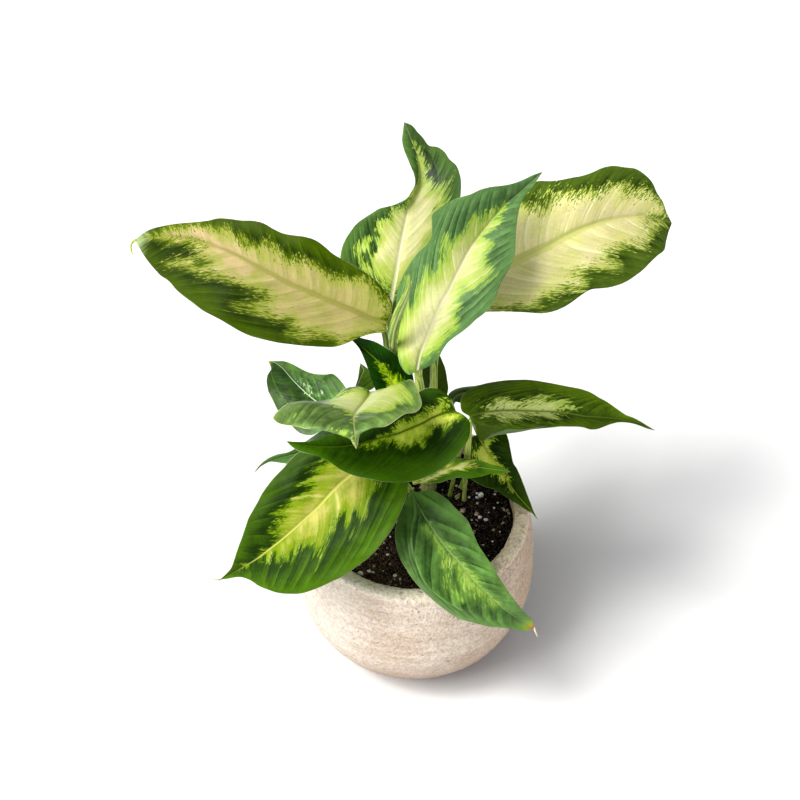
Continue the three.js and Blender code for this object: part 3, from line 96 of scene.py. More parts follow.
        'stalk': [(27.02, 52, 263.23, 2.2), (23.97, 49.89, 253.16, 2.24), (20.92, 47.78, 243.09, 2.29), (17.87, 45.67, 233.03, 2.33), (14.41, 43.51, 223.1, 2.37), (11.67, 41.36, 213.08, 2.42), (11.74, 39.18, 202.55, 2.46), (11.83, 37.02, 192.05, 2.52), (11.94, 34.87, 181.54, 2.56), (12.06, 32.72, 171.03, 2.6), (12.18, 30.57, 160.51, 2.65), (12.3, 28.44, 150, 2.7)],
        'pale': [
            (1, [(0.013, -0.35), (0.115, 0.767), (0.22, 0.933), (0.312, 0.883), (0.383, 0.75), (0.405, 0.617), (0.438, 0.617), (0.465, 0.567), (0.49, 0.683), (0.517, 0.75), (0.537, 0.717), (0.565, 0.617), (0.595, 0.65), (0.613, 0.667), (0.638, 0.517), (0.665, 0.533), (0.693, 0.567), (0.72, 0.617), (0.753, 0.65), (0.753, 0.533), (0.787, 0.5), (0.825, 0.6), (0.865, 0.667), (0.897, 0.783), (0.94, 0.883), (0.945, 0.567), (0.92, 0.233), (0.893, -0.1), (0.948, -0.2), (0.888, -0.333), (0.855, -0.367), (0.853, -0.483), (0.82, -0.583), (0.785, -0.533), (0.743, -0.467), (0.698, -0.467), (0.66, -0.517), (0.638, -0.567), (0.655, -0.633), (0.688, -0.717), (0.7, -0.8), (0.662, -0.75), (0.615, -0.683), (0.573, -0.667), (0.537, -0.65), (0.503, -0.633), (0.542, -0.8), (0.557, -0.9), (0.515, -0.817), (0.46, -0.717), (0.415, -0.7), (0.37, -0.717), (0.343, -0.783), (0.345, -0.85), (0.302, -0.9), (0.263, -0.917), (0.198, -0.95), (0.152, -0.967), (0.098, -0.983), (0.048, -0.833)]),
        ],
    },
    'leaf_left_mid': {
        'ribs': [
            (-1, [(-45.92, 8, 192.85), (-44.06, 8.7, 195.2), (-42.21, 9.42, 197.52), (-40.93, 10.6, 199.79), (-40.04, 12.15, 201.99), (-39.86, 13.97, 203.9), (-40.54, 16.15, 205.47), (-41.62, 18.42, 206.72), (-42.98, 20.81, 207.68), (-44.46, 23.29, 208.43), (-46.22, 25.7, 208.99), (-48.13, 28.05, 209.46), (-50.17, 30.28, 209.8), (-52.72, 32.04, 209.67), (-55.48, 32.54, 208.76), (-58.29, 33.08, 207.79), (-61.12, 33.94, 206.86), (-63.94, 35.16, 206.01), (-66.73, 36.8, 205.2), (-69.41, 38.88, 204.46), (-72.04, 41.26, 203.7), (-74.64, 43.85, 202.88), (-77.16, 46.66, 202.06), (-79.86, 49.3, 200.94), (-82.73, 51.78, 199.52), (-85.68, 53.93, 197.81), (-88.7, 55.8, 195.83), (-91.73, 57.7, 193.81), (-94.79, 59.62, 191.76)]),
            (0, [(-45.92, 8, 192.85), (-47.67, 9.6, 192.98), (-49.41, 11.19, 193.11), (-51.16, 12.79, 193.24), (-52.92, 14.4, 193.37), (-54.7, 15.98, 193.48), (-56.49, 17.56, 193.58), (-58.29, 19.13, 193.68), (-60.09, 20.71, 193.77), (-61.9, 22.29, 193.87), (-63.67, 23.91, 194), (-65.44, 25.54, 194.15), (-67.21, 27.18, 194.29), (-68.87, 28.9, 194.52), (-70.49, 30.67, 194.8), (-72.11, 32.48, 195.04), (-73.74, 34.37, 195.19), (-75.31, 36.38, 195.32), (-76.89, 38.45, 195.39), (-78.47, 40.6, 195.39), (-79.99, 42.84, 195.39), (-81.48, 45.15, 195.37), (-82.97, 47.51, 195.3), (-84.55, 49.86, 195.15), (-86.38, 52.08, 194.76), (-88.23, 54.33, 194.35), (-90.25, 56.33, 193.7), (-92.51, 57.97, 192.74), (-94.79, 59.62, 191.76)]),
            (1, [(-45.92, 8, 192.85), (-48.14, 6.28, 191.86), (-50.35, 4.57, 190.85), (-53.03, 3.75, 190.07), (-55.86, 3.24, 189.33), (-58.7, 2.79, 188.53), (-61.39, 2, 187.52), (-64.06, 1.24, 186.42), (-66.99, 1.62, 185.72), (-69.93, 2.64, 185.24), (-72.72, 4.27, 185.14), (-75.09, 6.38, 185.46), (-77.26, 8.71, 185.97), (-79.56, 10.99, 186.38), (-81.86, 13.29, 186.77), (-84, 15.75, 187.21), (-85.83, 18.49, 187.79), (-87.62, 21.34, 188.29), (-89.13, 24.41, 188.83), (-90.59, 27.64, 189.26), (-91.94, 31.01, 189.62), (-93.29, 34.52, 189.87), (-94.09, 38.15, 190.25), (-94.91, 41.88, 190.55), (-94.92, 45.53, 191.02), (-94.15, 48.83, 191.52), (-92.47, 51.63, 192.03), (-93.16, 55.64, 192.13), (-94.79, 59.62, 191.76)]),
        ],
        'stalk': [(-45.92, 8, 192.85, 1.8), (-41.18, 9.6, 187.61, 1.84), (-36.45, 11.2, 182.38, 1.9), (-31.72, 12.78, 177.13, 1.94), (-27, 14.37, 171.88, 1.98), (-22.71, 16.27, 166.37, 2.03), (-18.42, 18.16, 160.85, 2.07), (-14.14, 20.04, 155.32, 2.12), (-9.87, 21.9, 149.78, 2.17), (-5.62, 23.78, 144.23, 2.21), (-1.48, 25.68, 138.61, 2.26), (2.74, 27.45, 133, 2.3)],
        'pale': [
            (0.3, [(0.738, -0.25), (0.623, -0.417), (0.475, -0.283), (0.403, -0.217), (0.355, -0.45), (0.31, -0.217), (0.352, -0.017), (0.485, -0.017), (0.615, -0.033)]),
        ],
    },
    'leaf_front_wavy': {
        'ribs': [
            (-1, [(-27.69, -8, 237), (-31.52, -8.14, 240.3), (-35.71, -9.52, 242.98), (-39.97, -12.19, 245.45), (-43.72, -16.22, 247.24), (-46.92, -21.12, 248.47), (-50.23, -25.99, 249.95), (-54.09, -29.75, 252.67), (-58.12, -33.47, 255.91), (-61.99, -37.89, 259.17), (-65.68, -42.81, 262.44), (-69.4, -46.03, 267.37), (-72.98, -49.41, 272.02), (-76.38, -54.39, 274.8), (-79.41, -59.42, 276.8), (-81.22, -65.03, 277.97), (-78.49, -69.96, 279.45), (-74.27, -72.98, 281.37), (-70.09, -74.96, 282.51), (-65.94, -76.64, 283.47), (-61.98, -78.49, 283.67), (-57.87, -79.17, 284), (-53.78, -79.52, 284.06), (-49.86, -80.31, 283.59), (-45.95, -80.97, 283.05), (-41.89, -81.08, 282.68), (-38.22, -81.93, 281.29), (-36.16, -84, 278.34), (-34.1, -85.8, 275.06)]),
            (0, [(-27.69, -8, 237), (-28.12, -11.84, 239.38), (-28.54, -15.74, 241.83), (-29.11, -19.62, 244.41), (-29.78, -23.49, 247.09), (-30.44, -27.42, 249.83), (-31.1, -31.39, 252.64), (-31.74, -35.4, 255.51), (-32.48, -39.5, 258.62), (-33.21, -43.79, 261.96), (-33.93, -48.17, 265.42), (-34.52, -52.58, 268.8), (-34.99, -56.93, 272.01), (-35.47, -61.04, 274.97), (-35.73, -64.84, 277.53), (-35.56, -68.59, 279.88), (-35.39, -72.16, 282.05), (-35.25, -75.1, 283.52), (-35.09, -77.2, 284.05), (-34.93, -79.1, 284.35), (-34.78, -80.72, 284.33), (-34.65, -81.91, 283.82), (-34.53, -82.82, 282.99), (-34.45, -83.69, 282.1), (-34.36, -84.46, 281.11), (-34.29, -85.1, 279.96), (-34.22, -85.56, 278.6), (-34.15, -85.81, 276.98), (-34.1, -85.8, 275.06)]),
            (1, [(-27.69, -8, 237), (-24.25, -9.32, 239.25), (-20.9, -10.6, 242.03), (-17.49, -12.6, 245.1), (-14.1, -14.86, 248.44), (-10.88, -16.92, 252.18), (-8, -18.51, 256.55), (-5.09, -20.42, 260.9), (-2.23, -24.26, 264.06), (-0.37, -29.91, 266.25), (0.92, -36.05, 268.47), (2, -42.31, 270.75), (2.85, -48.51, 272.94), (2.37, -54.49, 274.89), (0.24, -59.48, 276.95), (-2.83, -63.34, 279.69), (-6.05, -66.55, 282.68), (-8.98, -69.8, 284.38), (-11.6, -72.6, 284.78), (-14.19, -75.2, 284.91), (-16.93, -77.27, 284.89), (-19.99, -78.23, 284.95), (-23.16, -78.31, 285.22), (-26.32, -78.37, 285.38), (-29.32, -79.09, 284.75), (-31.51, -80.63, 283.11), (-32.5, -82.57, 280.74), (-32.96, -84.38, 278.01), (-34.1, -85.8, 275.06)]),
        ],
        'stalk': [(-27.69, -8, 237, 2), (-25.12, -5.36, 228.2, 2.05), (-22.56, -2.73, 219.4, 2.11), (-19.99, -0.11, 210.59, 2.17), (-17.43, 2.5, 201.79, 2.22), (-14.86, 5.09, 192.97, 2.27), (-12.3, 7.67, 184.15, 2.33), (-9.75, 10.24, 175.33, 2.38), (-7.19, 12.79, 166.5, 2.43), (-4.64, 15.33, 157.67, 2.49), (-2.08, 17.85, 148.84, 2.55), (0.47, 20.38, 140, 2.6)],
        'pale': [
            (1, [(0.425, -0.483), (0.31, -0.633), (0.217, -0.85), (0.168, -0.85), (0.135, -0.8), (0.077, -0.75), (0.018, -1), (0.048, 0.433), (0.068, 0.583), (0.09, 1), (0.165, 0.933), (0.278, 0.817), (0.323, 0.783), (0.393, 0.817), (0.432, 0.783), (0.47, 0.667), (0.51, 0.6), (0.522, 0.433), (0.475, 0.233), (0.46, 0.1), (0.5, 0.033), (0.588, -0.017), (0.482, -0.05), (0.43, -0.217), (0.427, -0.35)]),
            (0.45, [(0.532, -0.783), (0.5, -0.667), (0.47, -0.517), (0.445, -0.45), (0.497, -0.483), (0.527, -0.583), (0.565, -0.717), (0.555, -0.8)]),
            (0.9, [(0.828, -0.967), (0.777, -0.383), (0.812, -0.183), (0.938, -0.05), (0.993, 1), (0.943, -0.317), (0.8, -0.15), (0.71, -0.267), (0.708, -0.383)]),
        ],
    },
    'leaf_front_dark': {
        'ribs': [
            (-1, [(23.29, -30, 244.04), (21.96, -26.98, 246.48), (20.37, -24.02, 248.81), (17.29, -21.84, 250.43), (13.87, -20.05, 251.72), (9.91, -19.22, 252.33), (5.8, -19.25, 252.35), (2.16, -20.9, 251.42), (-1.54, -22.44, 250.47), (-5.13, -24.12, 249.39), (-8.54, -26.07, 248.17), (-11.97, -27.99, 246.95), (-15.46, -29.8, 245.76), (-18.95, -31.59, 244.55), (-22.46, -33.31, 243.32), (-25.96, -34.97, 242.02), (-29.59, -36.34, 240.74), (-33.31, -37.49, 239.42), (-37.08, -38.39, 238.05), (-41.06, -38.7, 236.81), (-45.05, -38.9, 235.43), (-49.1, -38.86, 234.03), (-53.02, -39.12, 232.31), (-56.76, -39.73, 230.27), (-60.75, -39.61, 228.49), (-64.92, -38.91, 226.89), (-69.14, -37.89, 225.38), (-73.38, -36.54, 223.95), (-77.64, -34.88, 222.62)]),
            (0, [(23.29, -30, 244.04), (19.64, -30.29, 243.37), (16.02, -30.69, 242.62), (12.51, -31.5, 241.67), (9.09, -32.47, 240.62), (5.85, -33.83, 239.38), (2.57, -35.11, 238.18), (-0.86, -36.09, 237.13), (-4.3, -37.07, 236.08), (-7.74, -38.06, 235.03), (-11.19, -39, 234), (-14.81, -39.46, 233.22), (-18.44, -39.93, 232.45), (-22.03, -40.52, 231.6), (-25.61, -41.17, 230.73), (-29.19, -41.8, 229.83), (-32.77, -42.39, 228.89), (-36.45, -42.56, 228.12), (-40.16, -42.63, 227.35), (-43.87, -42.67, 226.54), (-47.62, -42.37, 225.89), (-51.39, -41.87, 225.31), (-55.16, -41.35, 224.7), (-58.94, -40.82, 224.08), (-62.68, -39.82, 223.7), (-66.41, -38.59, 223.44), (-70.15, -37.36, 223.17), (-73.89, -36.12, 222.9), (-77.64, -34.88, 222.62)]),
            (1, [(23.29, -30, 244.04), (27.77, -33.11, 243.93), (31.02, -37.18, 243.04), (31.36, -42.17, 241.16), (30.37, -47.02, 239.1), (27.83, -51.13, 237.19), (24.73, -54.88, 235.31), (21.38, -58.35, 233.46), (17.45, -61.19, 231.78), (13.35, -63.75, 230.14), (8.86, -65.68, 228.79), (4.19, -67.3, 227.58), (-0.63, -68.54, 226.54), (-5.63, -69.11, 225.81), (-10.7, -69.03, 225.4), (-15.78, -68.61, 225.09), (-20.85, -67.81, 224.86), (-25.86, -66.47, 224.8), (-30.89, -65.06, 224.58), (-35.88, -63.34, 224.32), (-40.72, -61, 224.24), (-45.26, -57.93, 224.43), (-49.53, -54.37, 224.78), (-54.07, -51.03, 224.81), (-58.91, -48.07, 224.42), (-64, -45.58, 223.6), (-69.16, -43.15, 222.62), (-73.76, -39.46, 222.35), (-77.64, -34.88, 222.62)]),
        ],
        'stalk': [(23.29, -30, 244.04, 2), (23.92, -24.98, 232.37, 2.02), (24.54, -19.98, 220.68, 2.04), (25.15, -14.98, 209, 2.05), (25.74, -10, 197.31, 2.07), (26.28, -5.04, 185.61, 2.09), (26.8, -0.09, 173.9, 2.12), (27.1, 4.4, 162.06, 2.13), (26.4, 6.72, 149.55, 2.15), (25.37, 8.76, 137.03, 2.17), (24.3, 10.78, 124.52, 2.18), (23.23, 12.78, 112, 2.2)],
        'pale': [
            (0.95, [(0.05, 0.167), (0.068, -0.633), (0.128, -0.7), (0.163, -0.6), (0.13, -0.367), (0.182, -0.367), (0.217, -0.5), (0.19, -0.283), (0.233, -0.317), (0.263, -0.317), (0.283, -0.317), (0.328, -0.417), (0.36, -0.45), (0.367, -0.35), (0.42, -0.35), (0.413, -0.15), (0.455, -0.183), (0.482, -0.1), (0.51, -0.017), (0.562, -0.067), (0.575, 0.033), (0.6, 0.083), (0.562, 0.1), (0.562, 0.183), (0.527, 0.133), (0.527, 0.2), (0.487, 0.183), (0.463, 0.133), (0.46, 0.25), (0.41, 0.217), (0.41, 0.333), (0.395, 0.45), (0.367, 0.35), (0.34, 0.4), (0.31, 0.35), (0.302, 0.45), (0.273, 0.35), (0.233, 0.367), (0.19, 0.233), (0.177, 0.367), (0.228, 0.567), (0.253, 0.667), (0.223, 0.633), (0.188, 0.583), (0.15, 0.533), (0.125, 0.45), (0.095, 0.583), (0.07, 0.8), (0.03, 1), (0.018, 0.65)]),
        ],
    },
    'leaf_lower_left': {
        'ribs': [
            (-1, [(-17.02, -18, 202.04), (-21.62, -15.82, 203.91), (-26.9, -14.86, 204.61), (-32.24, -14.15, 204.98), (-37.66, -14.22, 204.64), (-43.09, -14.21, 204.22), (-48.37, -14.98, 203.16), (-53.65, -15.71, 201.99), (-58.8, -16.75, 200.5), (-63.86, -17.95, 198.81), (-68.74, -19.51, 196.87), (-73.31, -21.47, 194.7), (-77.28, -24.16, 192.14), (-80.76, -27.28, 189.37), (-84.53, -30.13, 186.64), (-88.16, -33, 183.75), (-91.63, -35.86, 180.58), (-94.97, -38.66, 177.17), (-97.52, -41.83, 173.39), (-100.12, -44.8, 169.38), (-102.74, -47.62, 165.16), (-104.82, -50.58, 160.69), (-106.84, -53.44, 156.03), (-108.78, -56.24, 151.19), (-110.53, -59.02, 146.19), (-112.52, -61.62, 141.04), (-114.7, -64.08, 135.76), (-118.58, -65.41, 130.64), (-123.05, -66.23, 125.58)]),
            (0, [(-17.02, -18, 202.04), (-20.61, -20.5, 200.06), (-24.19, -22.94, 198.01), (-27.77, -25.33, 195.91), (-31.37, -27.66, 193.75), (-34.96, -29.96, 191.54), (-38.56, -32.21, 189.28), (-42.21, -34.38, 187.01), (-45.91, -36.46, 184.72), (-49.31, -38.83, 182.27), (-52.67, -41.23, 179.78), (-55.9, -43.74, 177.21), (-59.09, -46.26, 174.62), (-62.63, -48.45, 172.15), (-66.23, -50.6, 169.69), (-69.83, -52.67, 167.14), (-73.45, -54.63, 164.43), (-77.11, -56.45, 161.58), (-80.8, -58.15, 158.6), (-84.58, -59.68, 155.52), (-88.54, -60.95, 152.39), (-92.5, -62.16, 149.15), (-96.46, -63.33, 145.78), (-100.65, -64.17, 142.46), (-105.01, -64.77, 139.14), (-109.41, -65.3, 135.77), (-113.8, -65.85, 132.31), (-118.36, -66.13, 128.92), (-123.05, -66.23, 125.58)]),
            (1, [(-17.02, -18, 202.04), (-10.87, -21.96, 202.86), (-6.21, -27.43, 202.09), (-3.57, -33.48, 200.22), (-2.97, -39.56, 197.6), (-4.37, -45.3, 194.5), (-5.21, -51.1, 191.35), (-7.56, -56.18, 188.11), (-10.32, -61.04, 184.72), (-12.85, -65.92, 181.23), (-16.15, -70.33, 177.79), (-20.06, -74.31, 174.43), (-24.22, -78.04, 171.11), (-29.07, -81.12, 167.98), (-34.41, -83.62, 165.06), (-39.69, -86.12, 161.95), (-45.16, -88.22, 158.74), (-51.14, -89.39, 155.7), (-57.12, -90.47, 152.37), (-63.33, -90.96, 149.01), (-69.76, -90.87, 145.63), (-76.48, -89.25, 142.93), (-83.29, -86.81, 140.47), (-89.93, -83.16, 138.63), (-96.46, -79.02, 136.92), (-102.32, -73.82, 135.92), (-108.88, -69.82, 133.73), (-115.95, -67.95, 129.77), (-123.05, -66.23, 125.58)]),
        ],
        'stalk': [(-17.02, -18, 202.04, 2.1), (-16.86, -14.36, 194.42, 2.13), (-16.69, -10.72, 186.8, 2.15), (-16.52, -7.09, 179.18, 2.18), (-16.37, -3.47, 171.55, 2.21), (-16.22, 0.14, 163.92, 2.24), (-16.08, 3.74, 156.28, 2.26), (-15.94, 7.32, 148.63, 2.29), (-15.81, 10.9, 140.98, 2.32), (-15.69, 14.45, 133.32, 2.35), (-15.56, 18.01, 125.66, 2.37), (-15.45, 21.56, 118, 2.4)],
        'pale': [
            (1, [(0.043, 0.1), (0.115, -0.65), (0.235, -0.683), (0.302, -0.583), (0.34, -0.65), (0.385, -0.683), (0.35, -0.533), (0.388, -0.533), (0.385, -0.433), (0.458, -0.5), (0.435, -0.35), (0.478, -0.383), (0.535, -0.483), (0.535, -0.417), (0.562, -0.5), (0.613, -0.55), (0.58, -0.367), (0.598, -0.317), (0.63, -0.383), (0.64, -0.283), (0.665, -0.35), (0.672, -0.25), (0.67, -0.15), (0.705, -0.133), (0.738, -0.067), (0.765, -0.117), (0.797, -0.033), (0.83, 0.033), (0.89, 0.083), (0.818, 0.05), (0.795, 0.083), (0.763, 0.067), (0.748, 0.167), (0.718, 0.15), (0.72, 0.3), (0.7, 0.267), (0.682, 0.367), (0.677, 0.4), (0.652, 0.333), (0.64, 0.4), (0.618, 0.317), (0.595, 0.333), (0.588, 0.4), (0.57, 0.433), (0.588, 0.55), (0.585, 0.6), (0.613, 0.717), (0.58, 0.633), (0.557, 0.55), (0.532, 0.517), (0.495, 0.433), (0.468, 0.433), (0.432, 0.35), (0.403, 0.3), (0.408, 0.4), (0.44, 0.6), (0.405, 0.533), (0.37, 0.45), (0.36, 0.533), (0.357, 0.65), (0.333, 0.65), (0.297, 0.567), (0.27, 0.55), (0.24, 0.533), (0.225, 0.517), (0.203, 0.433), (0.11, 0.35)]),
        ],
    },
    'leaf_lower_right': {
        'ribs': [
            (-1, [(-3.48, -28, 169.86), (-4.84, -32.95, 168.04), (-7.28, -37.64, 166.53), (-9.37, -42.38, 164.81), (-11.07, -47.13, 162.9), (-12.37, -51.87, 160.8), (-12.76, -56.53, 158.44), (-12.25, -61.02, 155.87), (-11.05, -65.27, 153.17), (-9.24, -69.22, 150.4), (-6.62, -72.69, 147.61), (-3.95, -76.07, 144.75), (-0.85, -79.07, 141.9), (2.52, -81.83, 139.05), (6.31, -84.16, 136.26), (10.11, -86.46, 133.44), (14.06, -88.58, 130.63), (18.21, -90.45, 127.88), (22.54, -91.97, 125.03), (27.14, -92.97, 122.08), (32.19, -92.91, 119.34), (37.34, -92.49, 116.49), (42.55, -91.88, 113.47), (47.84, -90.88, 110.42), (53.25, -89.41, 107.41), (58.69, -87.98, 104.19), (64.14, -86.58, 100.77), (69.67, -84.93, 97.36), (74.36, -81.2, 95.25)]),
            (-0.5, [(-3.48, -28, 169.86), (-1.51, -32.56, 168.5), (-0.28, -37.32, 167.08), (0.69, -42.1, 165.55), (0.68, -46.79, 164.12), (-0.83, -51.53, 162.8), (-1.29, -56.19, 161.04), (-1.69, -60.67, 159.1), (-1.26, -64.89, 156.82), (-0.67, -68.89, 154.33), (0.97, -72.48, 151.7), (2.67, -75.99, 148.99), (4.43, -79.41, 146.21), (7.03, -82.26, 143.48), (10.01, -84.84, 140.75), (13.65, -86.69, 138.22), (17.68, -88.11, 135.8), (21.72, -89.5, 133.34), (26, -90.15, 130.58), (30.62, -89.88, 127.53), (35.27, -89.36, 124.11), (39.95, -88.72, 120.51), (44.66, -88.1, 116.93), (49.44, -87.42, 113.54), (54.29, -86.56, 110.05), (59.18, -85.6, 106.39), (64.14, -84.4, 102.68), (69.23, -82.83, 99.01), (74.36, -81.2, 95.25)]),
            (0, [(-3.48, -28, 169.86), (-1.8, -31.77, 168.43), (-0.12, -35.47, 166.92), (1.67, -39.03, 165.35), (3.78, -42.33, 163.73), (5.96, -45.5, 162.03), (8.27, -48.5, 160.24), (10.6, -51.38, 158.34), (12.94, -54.16, 156.32), (15.4, -56.76, 154.21), (17.9, -59.26, 152.01), (20.56, -61.58, 149.77), (23.29, -63.78, 147.49), (26.25, -65.74, 145.2), (28.93, -67.9, 142.79), (31.44, -70.18, 140.28), (34.12, -72.3, 137.77), (36.84, -74.37, 135.24), (39.8, -76.1, 132.56), (42.81, -77.59, 129.62), (45.91, -78.85, 126.44), (49.05, -79.92, 123.02), (52.28, -80.78, 119.41), (55.54, -81.51, 115.6), (59.11, -81.8, 111.73), (62.72, -81.98, 107.71), (66.52, -81.86, 103.63), (70.43, -81.56, 99.49), (74.36, -81.2, 95.25)]),
            (1, [(-3.48, -28, 169.86), (0.11, -30.66, 169.57), (4.36, -30.64, 170.55), (8.76, -31.05, 171.06), (12.91, -32.16, 171.02), (16.61, -34.47, 170.16), (20.07, -36.95, 169), (23.03, -39.82, 167.44), (26.15, -42.38, 165.72), (29.33, -44.72, 163.82), (32.15, -47.3, 161.72), (34.09, -50.43, 159.36), (35.82, -53.61, 156.92), (37.48, -56.76, 154.39), (39.34, -59.76, 151.8), (41.78, -62.35, 149.21), (44.26, -64.88, 146.57), (46.67, -67.41, 143.85), (48.93, -69.85, 140.82), (51.15, -72.07, 137.42), (53.72, -73.83, 133.71), (56.34, -75.36, 129.69), (58.93, -76.74, 125.36), (61.67, -77.85, 120.78), (64.53, -78.74, 115.97), (67.67, -79.31, 111), (71.08, -79.56, 105.91), (74.25, -79.94, 100.57), (74.36, -81.2, 95.25)]),
        ],
        'stalk': [(-3.48, -28, 169.86, 1.9), (-4.17, -23.72, 165.51, 1.93), (-4.86, -19.45, 161.16, 1.95), (-5.56, -15.19, 156.8, 1.98), (-5.98, -10.87, 152.46, 2.01), (-6.19, -6.53, 148.14, 2.04), (-6.41, -2.19, 143.79, 2.06), (-6.63, 2.14, 139.45, 2.09), (-6.84, 6.45, 135.09, 2.12), (-7.05, 10.76, 130.73, 2.15), (-7.26, 15.07, 126.37, 2.17), (-7.47, 19.38, 122, 2.2)],
        'pale': [
            (0.72, [(0.217, -0.208), (0.225, 0), (0.268, 0.017), (0.345, 0), (0.39, 0.033), (0.45, 0.083), (0.51, 0.1), (0.578, 0.05), (0.64, 0.017), (0.713, 0), (0.797, -0.033), (0.745, -0.108), (0.677, -0.125), (0.623, -0.108), (0.615, -0.183), (0.575, -0.117), (0.525, -0.083), (0.48, -0.075), (0.478, -0.133), (0.458, -0.15), (0.492, -0.242), (0.555, -0.308), (0.615, -0.383), (0.55, -0.342), (0.485, -0.267), (0.427, -0.192), (0.378, -0.1), (0.333, -0.083), (0.285, -0.117), (0.253, -0.192)]),
        ],
    },
    'leaf_right_mid': {
        'ribs': [
            (-1, [(32.84, 0, 205.67), (34.76, -2.41, 202.13), (35.94, -5.87, 199.35), (37.93, -9.55, 197.34), (40.92, -12.72, 196.25), (44.71, -9.71, 196.08), (49.04, -8.06, 196.58), (53.55, -7.96, 197.45), (58.05, -7.96, 198.38), (62.56, -7.83, 199.2), (67.02, -7.78, 200.3), (71.42, -7.39, 201.51), (75.88, -7.48, 202.6), (80.38, -7.58, 203.33), (84.95, -7.2, 203.46), (89.57, -6.44, 203.18), (94.2, -5.85, 202.82), (98.82, -5.52, 202.39), (103.36, -5.89, 201.9), (107.67, -7.21, 201.38), (112.25, -6.2, 200.7), (116.86, -3.44, 199.84), (121.48, -0.41, 198.84), (126.27, 1.9, 197.72), (131.05, 2.79, 196.52), (135.68, 2.75, 195.25), (140.15, 2.04, 193.92), (144.51, 1.02, 192.53), (149.13, 0.98, 191.02)]),
            (-0.8, [(32.84, 0, 205.67), (35.84, -3.74, 205.79), (39.63, -6.03, 205.8), (43.45, -8.19, 205.81), (47.48, -9.52, 205.78), (51.58, -10.47, 205.78), (55.74, -11.04, 205.83), (59.92, -11.27, 205.82), (64.13, -11.19, 205.64), (68.38, -10.22, 205.21), (72.63, -9.04, 204.75), (76.87, -7.71, 204.29), (81.15, -6.71, 203.84), (85.43, -5.78, 203.38), (89.72, -4.91, 202.93), (94.01, -4.32, 202.46), (98.3, -3.92, 201.95), (102.51, -4.21, 201.43), (106.54, -5.3, 200.91), (110.79, -4.26, 200.29), (115.11, -2.42, 199.61), (119.43, -0.14, 198.8), (123.83, 1.88, 197.88), (128.22, 3.18, 196.86), (132.52, 3.14, 195.79), (136.84, 3.17, 194.65), (141.07, 2.88, 193.46), (145.1, 1.91, 192.26), (149.13, 0.98, 191.02)]),
            (0, [(32.84, 0, 205.67), (36.91, 1.89, 205.22), (41.05, 3.45, 204.77), (45.22, 4.81, 204.32), (49.42, 5.74, 203.88), (53.64, 6.57, 203.43), (57.86, 7, 203), (62.07, 7.29, 202.57), (66.29, 7.57, 202.14), (70.51, 7.76, 201.71), (74.73, 7.87, 201.28), (78.95, 8.03, 200.85), (83.19, 8.29, 200.41), (87.4, 8.36, 199.99), (91.57, 8, 199.57), (95.73, 7.62, 199.14), (99.84, 6.96, 198.67), (103.96, 6.34, 198.17), (108.19, 6.38, 197.61), (112.43, 6.49, 197.01), (116.69, 6.61, 196.38), (120.94, 6.71, 195.73), (125.2, 6.82, 195.06), (129.41, 6.64, 194.38), (133.59, 6.27, 193.69), (137.77, 5.92, 192.98), (141.75, 4.91, 192.31), (145.46, 3.11, 191.66), (149.17, 1.32, 191.01)]),
            (1, [(32.84, 0, 205.67), (28.71, 3.25, 206.45), (27.64, 9.37, 206.84), (29.07, 15.83, 206.95), (33.07, 20.18, 206.82), (37.87, 23.29, 206.61), (42.81, 26.06, 206.37), (47.94, 28.04, 206.09), (53.17, 29.47, 205.79), (58.44, 30.42, 205.46), (63.72, 30.93, 205.15), (68.99, 31.26, 204.84), (74.25, 31.18, 204.53), (79.48, 30.94, 204.2), (84.66, 30.23, 203.86), (89.69, 28.86, 203.49), (94.76, 27.72, 203.02), (99.86, 26.73, 202.44), (104.89, 25.54, 201.77), (109.65, 23.53, 201.04), (113.92, 20.47, 200.28), (118.49, 18.13, 199.37), (122.69, 15.15, 198.43), (126.81, 12.06, 197.41), (131.07, 9.3, 196.3), (135.96, 8.01, 195.02), (140.47, 5.89, 193.73), (144.79, 3.4, 192.4), (149.13, 0.98, 191.02)]),
        ],
        'stalk': [(32.84, 0, 205.67, 2), (33.08, 1.19, 197, 2.02), (33.25, 2.36, 188.32, 2.04), (33.38, 3.52, 179.65, 2.05), (33.4, 4.62, 170.96, 2.07), (33.3, 5.67, 162.27, 2.09), (33.15, 6.71, 153.58, 2.12), (32.87, 7.66, 144.88, 2.13), (32.61, 8.6, 136.18, 2.15), (32.78, 9.4, 127.47, 2.17), (32.67, 9.97, 118.74, 2.18), (32.56, 10.54, 110, 2.2)],
        'pale': [
            (1, [(0.04, -0.027), (0.152, 0.333), (0.198, 0.4), (0.265, 0.4), (0.295, 0.217), (0.355, 0.4), (0.44, 0.517), (0.465, 0.417), (0.517, 0.45), (0.565, 0.367), (0.585, 0.283), (0.623, 0.117), (0.545, 0.017), (0.517, -0.253), (0.482, -0.387), (0.448, -0.533), (0.365, -0.4), (0.318, -0.267), (0.268, -0.48), (0.185, -0.507), (0.147, -0.32), (0.065, -0.6)]),
        ],
    },
    'leaf_right_low': {
        'ribs': [
